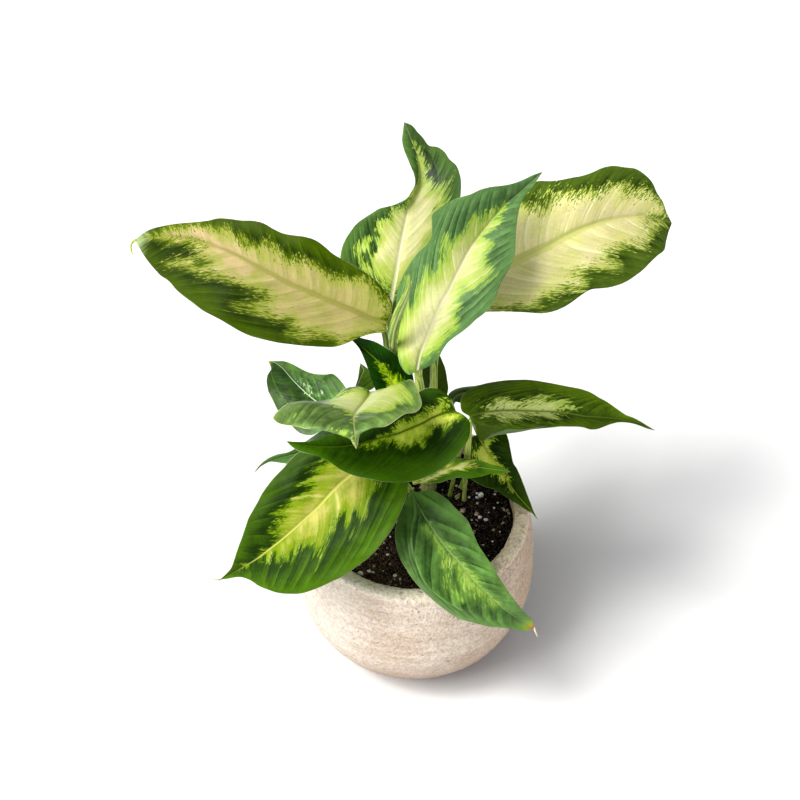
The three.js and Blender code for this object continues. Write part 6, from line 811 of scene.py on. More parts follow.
def build_leaf(name, spec, look, seed, stalk_mat):
    ribs = [(v, np.array(line, float)) for v, line in spec["ribs"]]
    zero = [line for v, line in ribs if v == 0][0]
    length = np.linalg.norm(np.diff(zero, axis=0), axis=1).sum()
    nu = int(np.clip(length / 1.25, 36, 124)) + 1
    nv = 57 if length > 60 else 33
    t = np.linspace(0, 1, nu)
    u = 0.75 * t + 0.25 * (1 - np.cos(math.pi * t)) / 2
    s = np.linspace(-1, 1, nv)
    v = np.sign(s) * (np.abs(s) - 0.55 * np.sin(2 * math.pi * np.abs(s)) / (2 * math.pi))
    S = rib_surface(ribs, u, v)
    midl = rib_surface(ribs, u, np.array([0.0]))[:, 0]
    lo = rib_surface(ribs, u, np.array([-1.0]))[:, 0]
    hi = rib_surface(ribs, u, np.array([1.0]))[:, 0]
    arc = np.r_[0, np.cumsum(np.linalg.norm(np.diff(midl, axis=0), axis=1))]
    half = np.stack([np.linalg.norm(lo - midl, axis=1), np.linalg.norm(hi - midl, axis=1)])
    width = np.linalg.norm(hi - lo, axis=1)
    wmax = half.max()

    # upward normal of the flat net, then crown, waves and vein relief along it
    du = np.gradient(S, axis=0)
    du[0], du[-1] = du[1], du[-2]
    cross = (hi - lo)[:, None, :].repeat(nv, 1)
    cross[0], cross[-1] = cross[1], cross[-2]
    N = unit(np.cross(du, cross))
    av = np.abs(v)[None, :]
    hw = np.where(v[None, :] < 0, half[0][:, None], half[1][:, None])
    X = arc[:, None] + 0 * av
    Y = av * hw
    sgn = np.sign(v)[None, :]
    lean = look["lean"]
    if isinstance(lean, tuple):
        lean = np.where(sgn < 0, lean[0], lean[1])
    # they swing towards the point as they near the margin
    veinc = (X - lean * (0.60 * Y + 0.34 * Y * Y / wmax + look.get("sweep", 0.25) * Y ** 3 / wmax ** 2)) * 1.25 / np.sqrt(1 + (0.75 * lean) ** 2) + np.where(sgn < 0, 2.9, 0.0)
    # main side veins at uneven spacing: a running count, whole numbers on a vein
    gap = look.get("gap", 8.6 if length > 120 else (6.6 if length > 70 else 4.6))
    bend = Waves(seed * 5 + 2, 46.0)(np.stack([veinc, 20.0 * sgn + 0 * veinc, 0 * veinc], -1)) + 0.35 * Waves(seed * 5 + 3, 60.0)(np.stack([X, Y * sgn, 0 * X], -1))
    lane = (veinc + 2.6 * bend) / gap
    grow = np.clip(width / width.max(), 0, 1)[:, None]
    crown = 0.035 * width[:, None] * np.sin(math.pi * av)
    side_fade = smooth(Y, 0.8, 5.0) * smooth(hw - Y, 0.5, 9.0)
    # each vein is a low ridge: steep on one side, easing down to the next one
    frac = lane - np.floor(lane)
    rib = np.exp(-frac / 0.30) + smooth(frac, 0.84, 1.0)
    strong = np.clip(0.70 + 0.45 * Waves(seed * 5 + 4, 30.0)(np.stack([veinc, Y * 0.4, 9.0 * sgn + 0 * X], -1)), 0.1, 1.3)
    relief = look["pleat"] * strong * 0.42 * (rib - 0.3) * side_fade * grow
    at = np.stack([X, Y * sgn, 0 * X + seed * 11.0], -1)
    soft = (Waves(seed * 7 + 1, 40.0)(at) * 0.55 + Waves(seed * 7 + 3, 14.0)(at) * look["quilt"] * 0.75) * grow * smooth(Y, 0.0, 8.0)
    r = np.random.default_rng(seed)
    p1, p2 = r.uniform(0, 6.28, 2)
    rim = (np.sin(X * 2 * math.pi / 27.0 + p1 + 2.0 * sgn) + 0.5 * np.sin(X * 2 * math.pi / 15.0 + p2 - sgn)) * 0.24 * av ** 5 * grow
    taper = 1 - 0.85 * u[:, None]
    mw = look["midw"] * 1.15 * taper + 0.3
    groove = -0.55 * np.exp(-(Y / mw) ** 2) * taper * smooth(X, 0.0, 6.0)
    mid_surface = S + N * (crown + relief + soft + rim + groove)[..., None]
    thick = 0.30 * (1 - av ** 5) * (0.35 + 0.65 * np.minimum(1, 6 * np.minimum(u, 1 - u)))[:, None]
    thick[:, 0] = thick[:, -1] = 0
    thick[0] = thick[-1] = 0
    top = mid_surface + N * thick[..., None]
    rib_under = 0.9 * np.exp(-(Y / (mw * 0.8)) ** 2) * taper * smooth(X, 0.0, 6.0)
    bot = mid_surface - N * (thick + rib_under - 0 * crown)[..., None]
    bot[:, 0], bot[:, -1] = top[:, 0], top[:, -1]
    bot[0], bot[-1] = top[0], top[-1]

    # pale field in millimetres
    pale = np.full(X.size, -30.0)
    full = np.ones(X.size)
    px, py = X.ravel(), (Y * sgn).ravel()
    for strength, outline in spec["pale"]:
        o = np.array(outline, float)
        ox = np.interp(o[:, 0], u, arc)
        oh = np.where(o[:, 1] < 0, np.interp(o[:, 0], u, half[0]), np.interp(o[:, 0], u, half[1]))
        d = polygon_distance(px, py, np.stack([ox, o[:, 1] * oh], -1))
        if strength < 0:
            pale = np.where(d > -2, np.minimum(pale, -d), pale)
        else:
            full = np.where(d > pale, strength, full)
            pale = np.maximum(pale, d)
    pale = np.maximum(pale, -30.0)
    edge = np.minimum((1 - av) * hw, 60.0)
    edge = np.minimum(edge, np.minimum(arc[-1] - X, X + 2.0) * 0.8 + 0.05)

    shp = Shape(LEAF_KEYS)
    common = dict(pale=pale, full=full, vein=veinc, across=Y, edge=edge, mid=Y + 0.0, along=(u[:, None] + 0 * av), lane=lane, side=v[None, :] + 0 * X, run=X)
    # both skins share the margin, base and tip vertices
    nvt = nu * nv
    idx_top = np.arange(nvt).reshape(nu, nv)
    idx_bot = idx_top.copy()
    inner = np.zeros((nu, nv), bool)
    inner[1:-1, 1:-1] = True
    idx_bot[inner] = nvt + np.arange(inner.sum())
    verts = np.concatenate([top.reshape(-1, 3), bot[inner]])
    attrs = {k: np.concatenate([np.asarray(x, float).ravel(), np.asarray(x, float).reshape(nu, nv)[inner]]) for k, x in common.items()}
    attrs["under"] = np.r_[np.zeros(nvt), np.ones(inner.sum())]
    faces = []
    for i in range(nu - 1):
        for j in range(nv - 1):
            a, b, c, d = idx_top[i, j], idx_top[i + 1, j], idx_top[i + 1, j + 1], idx_top[i, j + 1]
            faces.append((a, b, c, d))
            a, b, c, d = idx_bot[i, j], idx_bot[i, j + 1], idx_bot[i + 1, j + 1], idx_bot[i + 1, j]
            faces.append((a, b, c, d))
    shp.add(verts, faces, 0, **attrs)

    # stalk: from inside the cane up to the blade, then on under the midrib as a thinning ridge
    st = np.array(spec["stalk"], float)
    reach = 0.42
    k = np.linspace(0.02, reach, 10)
    run = spline(midl, np.interp(k, u, np.linspace(0, 1, nu)))
    nrm = np.stack([np.interp(k, u, N[:, nv // 2, i]) for i in range(3)], -1)
    r0 = st[0, 3]
    rr = r0 * (0.85 - 0.62 * k / reach)
    run = run - unit(nrm) * (rr * 0.85 + 0.45)[:, None]
    path = np.concatenate([st[::-1][:, :4], np.c_[run, rr]])
    # smooth the join and close up on the cane
    q = path.copy()
    for _ in range(3):
        q[len(st) - 2: len(st) + 2, :3] = (path[len(st) - 3: len(st) + 1, :3] + 2 * path[len(st) - 2: len(st) + 2, :3] + path[len(st) - 1: len(st) + 3, :3]) / 4
        path = q.copy()
    d = np.r_[0, np.cumsum(np.linalg.norm(np.diff(path[:, :3], axis=0), axis=1))]
    m = int(np.clip(d[-1] / 1.6, 24, 90))
    dd = np.linspace(0, d[-1], m)
    fine = np.stack([np.interp(dd, d, path[:, i]) for i in range(4)], -1)
    for _ in range(6):
        fine[1:-1] = (fine[:-2] + 2 * fine[1:-1] + fine[2:]) / 4
    c, rad = fine[:, :3], fine[:, 3].copy()
    rad *= 1 - look.get("slim", 0.0) * np.exp(-(dd / 42.0) ** 4)
    t_, s_, w_ = frames_along(c)
    sides = 20
    ang = np.arange(sides) / sides * 2 * math.pi
    upn = np.array([0, 0, 1.0])
    # the channel on the upper side of the stalk
    up2 = unit(upn - t_ * (t_ @ upn)[:, None])
    ref = np.arctan2((up2 * w_).sum(1), (up2 * s_).sum(1))
    flare = 1 + look.get("flare", 0.25) * np.exp(-dd / 5.0)
    rel = ang[None, :] - ref[:, None]
    chan = 1 - 0.16 * np.exp(-((np.angle(np.exp(1j * rel))) / 0.5) ** 2) * smooth(dd, 4, 20)[:, None]
    wob = 1 + 0.03 * np.sin(dd[:, None] / 9.0 + 2 * ang[None, :])
    R = rad[:, None] * flare[:, None] * chan * wob
    ring = c[:, None] + s_[:, None] * (R * np.cos(ang))[..., None] + w_[:, None] * (R * np.sin(ang))[..., None]
    faces = grid_faces(m, sides, close_v=True)
    base_i, tip_i = m * sides, m * sides + 1
    verts = np.concatenate([ring.reshape(-1, 3), c[:1], c[-1:]])
    faces += [(base_i, (j + 1) % sides, j) for j in range(sides)]
    o = (m - 1) * sides
    faces += [(tip_i, o + j, o + (j + 1) % sides) for j in range(sides)]
    al = np.concatenate([dd[:, None].repeat(sides, 1).ravel(), [0, dd[-1]]])
    ar = np.concatenate([np.abs(np.angle(np.exp(1j * rel))).ravel(), [0, 0]])
    shp.add(verts, faces, 1, along=al, around=ar, tone=look["tone"], edge=9.0)
    mats = [leaf_material(name, look, seed), stalk_mat]
    if name in THREADS:
        # the withered thread the blade ends in
        mats.append(thread_mat)
        spots, r_from, r_to, shade = THREADS[name]
        end = midl[-1]
        line = np.array([end + (midl[-3] - end) * 0.4] + [at_depth(a, b, end) for a, b in spots])
        m = 26
        line = spline(line, np.linspace(0, 1, m))
        t_, s_, w_ = frames_along(line)
        sides = 10
        ang = np.arange(sides) / sides * 2 * math.pi
        R = np.linspace(r_from, r_to, m)[:, None] * (1 + 0.18 * Waves(seed + 90, 1.6, 10)(line)[:, None] + 0.12 * np.sin(3 * ang[None] + np.linspace(0, 5, m)[:, None]))
        ring = line[:, None] + s_[:, None] * (R * np.cos(ang))[..., None] + w_[:, None] * (R * np.sin(ang))[..., None]
        verts = np.concatenate([ring.reshape(-1, 3), line[:1], line[-1:]])
        faces = grid_faces(m, sides, close_v=True) + [(m * sides, (j + 1) % sides, j) for j in range(sides)] + [(m * sides + 1, (m - 1) * sides + j, (m - 1) * sides + (j + 1) % sides) for j in range(sides)]
        shp.add(verts, faces, 2, along=np.concatenate([np.linspace(0, 1, m)[:, None].repeat(sides, 1).ravel(), [0, 1]]), tone=shade, edge=9.0)
    ob = shp.make(name + "_skin", mats)
    return ob


# ---------------------------------------------------------------- build the leaves
# how the blades end that run out in a thread: picture places seen from the front camera, its
# radius in mm at both ends, and its colour (0 yellow-green, 1 dry cream)
THREADS = {
    "leaf_left_large": ([(133.0, 241.5), (130.8, 246.0), (131.6, 252.0), (133.2, 254.0)], 0.85, 0.35, 0.0),
    "leaf_lower_left": ([(216.5, 579.6), (212.0, 578.6), (207.5, 578.8)], 0.50, 0.22, 0.8),
    "leaf_lower_right": ([(534.2, 627.0), (535.0, 630.5), (536.6, 634.5), (537.4, 636.4)], 0.75, 0.50, 1.0),
}
CAM = dict(p=math.radians(48.0), F=1771.4, C=np.array([-9.69, -723.2, 1023.6]))


def at_depth(px, py, p):
    """The point the front camera sees at a picture place, as far away as the point p."""
    a = CAM["p"]
    f = np.array([0, math.cos(a), -math.sin(a)])
    up = np.array([0, math.sin(a), math.cos(a)])
    d = f + np.array([1.0, 0, 0]) * (px - 400) / CAM["F"] - up * (py - 400) / CAM["F"]
    return CAM["C"] + d * float((np.asarray(p) - CAM["C"]) @ f)


def thread_material():
    n = Nodes("mat_thread")
    x, tone = n.attr("along"), n.attr("tone")
    s = n.noise(n.scaled(n.geo(), 900.0, 900.0, 900.0), 1.0, 2.0, 0.6)
    fresh = n.mix(s, lin(150, 176, 36), lin(206, 214, 84))
    dry = n.mix(s, lin(188, 158, 110), lin(238, 230, 208))
    n.set(Base_Color=n.mix(tone, fresh, n.mix(n.step(x, 0.1, 0.35), lin(186, 112, 40), dry)), Roughness=n.add(0.5, n.mul(s, 0.2)))
    n.set(Normal=n.bump(s, 0.5, 0.0003))
    return n.mat


thread_mat = thread_material()
stalk_mat = stalk_material()
for i, (name, spec) in enumerate(LEAVES.items()):
    ob = build_leaf(name, spec, LOOK[name], i + 3, stalk_mat)
    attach(ob, "root")
    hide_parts(name)


# ---------------------------------------------------------------- the rolled young leaf
def build_roll():
    shp = Shape(("along", "around", "tone"))
    p = np.array(ROLLED, float)
    t = np.linspace(0, 1, 70)
    f = spline(p, t)
    c, rad = f[:, :3], np.maximum(f[:, 3], 0.25)
    t_, s_, w_ = frames_along(c)
    sides = 48
    a = np.arange(sides) / sides
    ang = a * 2 * math.pi + 3.9
    # a spiral section: the outer turn ends in a lip over the inner one
    turn = 0.80 + 0.20 * a
    turn[-1] = 0.93
    twist = 0.9 * t[:, None]
    R = rad[:, None] * turn[None, :] * (1 + 0.02 * np.sin(t[:, None] * 40 + 3 * ang[None, :]))
    ring = c[:, None] + s_[:, None] * (R * np.cos(ang + twist))[..., None] + w_[:, None] * (R * np.sin(ang + twist))[..., None]
    m = len(t)
    verts = np.concatenate([ring.reshape(-1, 3), c[:1], c[-1:] + (c[-1:] - c[-2:-1]) * 0.6])
    faces = grid_faces(m, sides, close_v=True)
    faces += [(m * sides, (j + 1) % sides, j) for j in range(sides)]
    o = (m - 1) * sides
    faces += [(m * sides + 1, o + j, o + (j + 1) % sides) for j in range(sides)]
    d = np.r_[0, np.cumsum(np.linalg.norm(np.diff(c, axis=0), axis=1))]
    shp.add(verts, faces, 0, along=np.concatenate([d[:, None].repeat(sides, 1).ravel(), [0, d[-1]]]), around=np.concatenate([(a[None, :].repeat(m, 0) * 6.28).ravel(), [0, 0]]), tone=0.8)
    p = np.array(ROLLED_STALK, float)
    m = 40
    f = spline(p, np.linspace(0, 1, m))
    c, rad = f[:, :3], f[:, 3]
    t_, s_, w_ = frames_along(c)
    sides = 20
    ang = np.arange(sides) / sides * 2 * math.pi
    R = rad[:, None] * (1 + 0.02 * np.cos(3 * ang)[None, :])
    ring = c[:, None] + s_[:, None] * (R * np.cos(ang))[..., None] + w_[:, None] * (R * np.sin(ang))[..., None]
    verts = np.concatenate([ring.reshape(-1, 3), c[:1], c[-1:]])
    faces = grid_faces(m, sides, close_v=True) + [(m * sides, (j + 1) % sides, j) for j in range(sides)] + [(m * sides + 1, (m - 1) * sides + j, (m - 1) * sides + (j + 1) % sides) for j in range(sides)]
    d = np.r_[0, np.cumsum(np.linalg.norm(np.diff(c, axis=0), axis=1))]
    shp.add(verts, faces, 1, along=np.concatenate([d[:, None].repeat(sides, 1).ravel(), [0, d[-1]]]), around=np.concatenate([(ang[None, :].repeat(m, 0)).ravel(), [0, 0]]), tone=0.85)
    ob = shp.make("leaf_new_rolled_skin", [roll_material(), stalk_mat])
    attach(ob, "root")
    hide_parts("leaf_new_rolled")


build_roll()


# ---------------------------------------------------------------- canes
def build_cane(name, pts, mat):
    p = np.array(pts, float)
    z = np.linspace(p[0, 2] + 4, p[-1, 2] - (4.0 if name == "cane_right" else 0.0), 130)
    c = np.stack([np.interp(z, p[:, 2], p[:, 0]), np.interp(z, p[:, 2], p[:, 1]), z], -1)
    rad = np.interp(z, p[:, 2], p[:, 3])
    if name == "cane_right":
        rad = rad * 0.50
    r = np.random.default_rng(len(name) * 5 + 2)
    ring = np.zeros(len(z))
    at = z[0] + 8
    while at < z[-1] - 2:
        ring = np.maximum(ring, np.exp(-((z - at) / 0.55) ** 2))
        at += r.uniform(5.0, 8.5)
    rad = rad * (1 + 0.07 * ring)
    top = smooth(z, z[-1] - 3.5, z[-1] + 0.1)
    rad = rad * (1 - 0.75 * top ** 2)
    sides = 36
    ang = np.arange(sides) / sides * 2 * math.pi
    lump = Waves(len(name) + 3, 16.0)(np.stack([np.cos(ang)[None] * 6 + 0 * z[:, None], np.sin(ang)[None] * 6 + 0 * z[:, None], z[:, None] + 0 * ang[None]], -1))
    R = rad[:, None] * (1 + 0.035 * lump)
    v = np.stack([c[:, 0, None] + R * np.cos(ang), c[:, 1, None] + R * np.sin(ang), c[:, 2, None] + 0 * R], -1)
    m = len(z)
    verts = np.concatenate([v.reshape(-1, 3), c[:1], c[-1:]])
    faces = grid_faces(m, sides, close_v=True) + [(m * sides, (j + 1) % sides, j) for j in range(sides)] + [(m * sides + 1, (m - 1) * sides + j, (m - 1) * sides + (j + 1) % sides) for j in range(sides)]
    shp = Shape(("along", "around", "ring"))
    shp.add(verts, faces, 0, along=np.concatenate([(z - SOIL_Z)[:, None].repeat(sides, 1).ravel(), [0, 0]]), around=np.concatenate([np.abs(ang - math.pi)[None].repeat(m, 0).ravel() * 1.3, [0, 0]]), ring=np.concatenate([ring[:, None].repeat(sides, 1).ravel(), [0, 0]]))
    ob = shp.make(name + "_skin", [mat])
    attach(ob, "root")
    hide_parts(name)


cane_mat = cane_material()
for name, pts in CANES.items():
    build_cane(name, pts, cane_mat)


# ---------------------------------------------------------------- pot
def cement_material():
    """Pale sandy cement: fine grains and pores, faint bands round the body, a paler chalky rim."""
    n = Nodes("mat_cement")
    p = n.geo()
    rim = n.attr("rim")
    pit = n.attr("pit")
    grain = n.noise(p, 620.0, 3.0, 0.65)
    sand = n.noise(p, 1500.0, 2.0, 0.6)
    cloud = n.noise(p, 30.0, 4.0, 0.6)
    band = n.noise(n.scaled(p, 16.0, 16.0, 210.0), 1.0, 3.0, 0.6)
    warm = n.noise(n.scaled(p, 40.0, 40.0, 70.0), 1.0, 3.0, 0.6)
    col = n.mix(n.step(n.add(n.mul(band, 0.45), n.mul(cloud, 0.55)), 0.38, 0.62), lin(215, 192, 171), lin(243, 228, 212))
    col = n.mix(n.mul(n.step(warm, 0.50, 0.68), 0.30), col, lin(220, 194, 176))
    col = n.mix(n.mul(n.sub(1.0, n.step(warm, 0.34, 0.48)), 0.35), col, lin(222, 204, 180))
    col = n.mix(n.mul(n.step(grain, 0.53, 0.68), 0.40), col, lin(184, 153, 126))
    col = n.mix(n.mul(n.sub(1.0, n.step(grain, 0.34, 0.46)), 0.44), col, lin(248, 238, 225))
    col = n.mix(n.mul(n.step(sand, 0.58, 0.70), 0.24), col, lin(154, 131, 111))
    pale = n.mix(n.step(grain, 0.46, 0.66), lin(255, 244, 224), lin(252, 234, 208))
    pale = n.mix(n.mul(n.step(sand, 0.60, 0.70), 0.5), pale, lin(206, 186, 154))
    col = n.mix(n.mul(rim, n.step(cloud, 0.30, 0.60, 0.70, 1.0)), col, pale)
    # painted light and shade: warmer and deeper on the right, away from the light, and towards the foot; paler on the
    # lit left; a warmer rim on the right
    px, py, pz = n.xyz(p)
    east = n.step(px, 0.015, 0.080)
    col = n.mix(n.mul(east, n.sub(1.0, rim), 0.42), col, lin(196, 156, 118))
    col = n.mix(n.mul(n.step(pz, 0.0, 0.066, 1.0, 0.0), 0.84), col, lin(145, 118, 96))
    col = n.mix(n.mul(n.step(px, -0.075, -0.01, 1.0, 0.0), 0.35), col, lin(250, 244, 232))
    col = n.mix(n.mul(rim, n.step(px, -0.01, 0.055), 0.72), col, n.mix(n.step(grain, 0.42, 0.66), lin(255, 236, 204), lin(222, 190, 152)))
    # stippled skin: the cement's own mottling, with painted shade in the hollows and painted light on the tops
    stip = n.noise(n.scaled(p, 400.0, 400.0, 470.0), 1.0, 3.0, 0.6)
    col = n.gain(col, n.step(stip, 0.36, 0.62, 0.95, 1.20))
    # small open pores
    por = n.cells(p, 260.0)
    keep = n.step(n.noise(p, 110.0, 2.0, 0.5), 0.52, 0.64)
    pores = n.mul(n.sub(1.0, n.step(por, 0.10, 0.24)), keep)
    col = n.mix(n.mul(pores, 0.6), col, lin(131, 109, 88))
    col = n.mix(n.mul(pit, 0.5), col, lin(122, 102, 84))
    n.set(Base_Color=col, Roughness=n.add(0.80, n.mul(grain, 0.14)))
    n.bsdf.inputs["Specular IOR Level"].default_value = 0.2
    h = n.add(n.mul(stip, 2.1), n.mul(grain, -0.8), n.mul(sand, -0.4), n.mul(band, 0.3), n.mul(pores, -1.0))
    n.set(Normal=n.bump(h, 0.9, 0.0012))
    return n.mat


def build_pot():
    foot, belly, bz, hgt = POT_FOOT_R, POT_BELLY_R, POT_BELLY_Z, POT_HEIGHT
    prof = [(0.5, 0.0), (20.0, 0.0), (foot - 2.0, 0.0), (foot - 0.8, 0.15)]
    for i in range(1, 61):
        a = math.pi / 2 * i / 60
        prof.append((foot + (belly - foot) * math.sin(a), bz * (1 - math.cos(a))))
    sh = hgt - 5
    for i in range(1, 31):
        k = i / 30
        prof.append((belly - (belly - POT_LIP_OUTER_R) * k * k, bz + (sh - bz) * k))
    mid, hf = (POT_LIP_OUTER_R + POT_LIP_INNER_R) / 2, (POT_LIP_OUTER_R - POT_LIP_INNER_R) / 2
    for i in range(1, 17):
        a = math.pi * i / 16
        # a flattened lip with soft shoulders
        ca, sa = math.cos(a), math.sin(a)
        prof.append((mid + hf * math.copysign(abs(ca) ** 0.75, ca), hgt - 5 + 5 * sa ** 0.8))
    for z in (110.0, 107.5, 105.0, 102.5, 100.5):
        prof.append((POT_LIP_INNER_R - 0.04 * (112.5 - z), z))
    prof = np.array(prof)
    # even steps of about 1.1 mm
    d = np.r_[0, np.cumsum(np.hypot(*np.diff(prof, axis=0).T))]
    m = int(d[-1] / 1.35)
    dd = np.linspace(0, d[-1], m)
    pr = np.stack([np.interp(dd, d, prof[:, 0]), np.interp(dd, d, prof[:, 1])], -1)
    tan = unit(np.gradient(pr, axis=0))
    nor = np.stack([tan[:, 1], -tan[:, 0]], -1)
    sides = 480
    ang = np.arange(sides) / sides * 2 * math.pi
    P = np.stack([pr[:, 0, None] * np.cos(ang), pr[:, 0, None] * np.sin(ang), pr[:, 1, None] + 0 * ang], -1)
    Nn = np.stack([nor[:, 0, None] * np.cos(ang), nor[:, 0, None] * np.sin(ang), nor[:, 1, None] + 0 * ang], -1)
    lift = smooth(P[..., 2], 0.2, 5.0)
    h = 0.26 * Waves(5, 42.0)(P) + 0.10 * Waves(6, 9.0)(P) + 0.07 * Waves(8, 3.2)(P) + 0.05 * Waves(12, 2.3, 40)(P)
    h += 0.05 * np.sin(P[..., 2] * 2 * math.pi / 7.5 + 1.3 * Waves(9, 60.0)(P))
    rimness = smooth(P[..., 2], 111.0, 115.5)
    h += (0.16 * Waves(10, 6.0)(P) + 0.10 * Waves(13, 2.6, 40)(P)) * rimness
    # chips and pits
    r = np.random.default_rng(77)
    pit = np.zeros(h.shape)
    spots = []
    for _ in range(46):
        a = r.uniform(0, 2 * math.pi)
        spots.append((r.uniform(66.5, 74.5), a, None, r.uniform(0.7, 1.5), r.uniform(0.35, 0.9)))
    for _ in range(70):
        a = r.uniform(0, 2 * math.pi)
        zz = r.uniform(12, 110)
        spots.append((None, a, zz, r.uniform(0.7, 1.4), r.uniform(0.2, 0.6)))
    for rr, a, zz, size, depth in spots:
        if rr is not None:
            i = np.argmin(np.abs(pr[:, 0] - rr) + 100 * (pr[:, 1] < 112.5))
        else:
            i = np.argmin(np.abs(pr[:, 1] - zz) + 100 * (pr[:, 0] < 66))
        q = np.array([pr[i, 0] * math.cos(a), pr[i, 0] * math.sin(a), pr[i, 1]])
        e = ((P - q) ** 2).sum(-1)
        g = np.exp(-e / (size * size))
        h -= depth * g
        pit = np.maximum(pit, g * min(1.0, depth * 1.6))
    h = np.minimum(h, 0.35)
    V = P + Nn * (h * lift)[..., None]
    V[..., 2] = np.maximum(V[..., 2], 0.0)
    faces = grid_faces(m, sides, close_v=True, flip=True)
    verts = np.concatenate([V.reshape(-1, 3), [[0, 0, 0], [0, 0, pr[-1, 1]]]])
    b, t = m * sides, m * sides + 1
    faces += [(b, (j + 1) % sides, j) for j in range(sides)]
    o = (m - 1) * sides
    faces += [(t, o + j, o + (j + 1) % sides) for j in range(sides)]
    shp = Shape(("rim", "pit"))
    shp.add(verts, faces, 0, rim=np.r_[rimness.ravel(), 0, 0], pit=np.r_[np.clip(pit, 0, 1).ravel(), 0, 0])
    ob = shp.make("pot_skin", [cement_material()])
    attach(ob, "root")
    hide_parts("pot")


build_pot()


# ---------------------------------------------------------------- soil
def soil_material():
    """Damp peat: near black, with browner dry crumbs and fibres. kind 0 is peat, 1 bark."""
    n = Nodes("mat_soil")
    p = n.geo()
    x, y, z = n.xyz(p)
    a = n.noise(p, 420.0, 4.0, 0.65)
    b = n.noise(p, 1300.0, 3.0, 0.6)
    c = n.noise(p, 60.0, 3.0, 0.6)
    kind = n.attr("kind")
    col = n.mix(n.step(n.add(n.mul(a, 0.55), n.mul(b, 0.45)), 0.46, 0.66), lin(3, 2, 2), lin(36, 29, 24))
    # painted light: lighter and browner towards the lit front left; drier and browner in patches
    dry = n.add(n.mul(n.step(n.add(n.mul(x, -8.0), n.mul(y, -12.0)), 0.1, 0.7), 0.95), n.mul(n.step(c, 0.54, 0.70), 0.25))
    dry = n.math("MINIMUM", dry, 1.0)
    col = n.mix(n.mul(dry, n.step(b, 0.46, 0.62)), col, lin(112, 88, 70))
    col = n.mix(n.mul(n.step(b, 0.57, 0.64), 0.75), col, lin(138, 124, 106))
    bark = n.mix(n.step(b, 0.4, 0.65), lin(40, 27, 20), lin(128, 96, 76))
    col = n.mix(n.mul(n.step(kind, 0.4, 0.6), n.add(0.45, n.mul(dry, 0.5))), col, bark)
    col = n.mix(n.step(kind, 1.4, 1.6), col, n.mix(n.step(b, 0.38, 0.62), lin(92, 76, 62), lin(226, 202, 178)))
    n.set(Base_Color=col, Roughness=n.add(0.70, n.mul(a, 0.2)))
    n.bsdf.inputs["Specular IOR Level"].default_value = 0.06
    n.set(Normal=n.bump(n.add(a, b), 0.8, 0.0010))
    return n.mat


def perlite_material():
    n = Nodes("mat_perlite")
    p = n.geo()
    a = n.noise(p, 700.0, 3.0, 0.6)
    col = n.mix(n.step(a, 0.35, 0.65), lin(226, 222, 212), lin(255, 254, 250))
    n.set(Base_Color=col, Roughness=n.add(0.6, n.mul(a, 0.2)))
    n.set(Normal=n.bump(a, 0.6, 0.0006))
    return n.mat


def ico(sub):
    import bmesh
    bm = bmesh.new()
    bmesh.ops.create_icosphere(bm, subdivisions=sub, radius=1.0)
    v = np.array([x.co[:] for x in bm.verts])
    f = [tuple(q.index for q in x.verts) for x in bm.faces]
    bm.free()
    return v, f


CANE_FEET = [(pts[0][0], pts[0][1], pts[0][3]) for pts in CANES.values()]


def soil_height(x, y):
    q = np.stack([x, y, 0 * x], -1)
    r = np.hypot(x, y)
    h = SOIL_Z - 0.9 - 2.0 * (r / 64.0) ** 2 + 0.75 * WS1(q) + 0.40 * WS2(q) + 0.18 * WS3(q)
    for cx, cy, cr in CANE_FEET:
        h = h + 1.2 * np.exp(-((np.hypot(x - cx, y - cy) - cr) / 3.0) ** 2)
    return np.minimum(h, SOIL_Z + 1.2)


WS1, WS2, WS3 = Waves(31, 15.0), Waves(32, 5.0), Waves(33, 2.2)


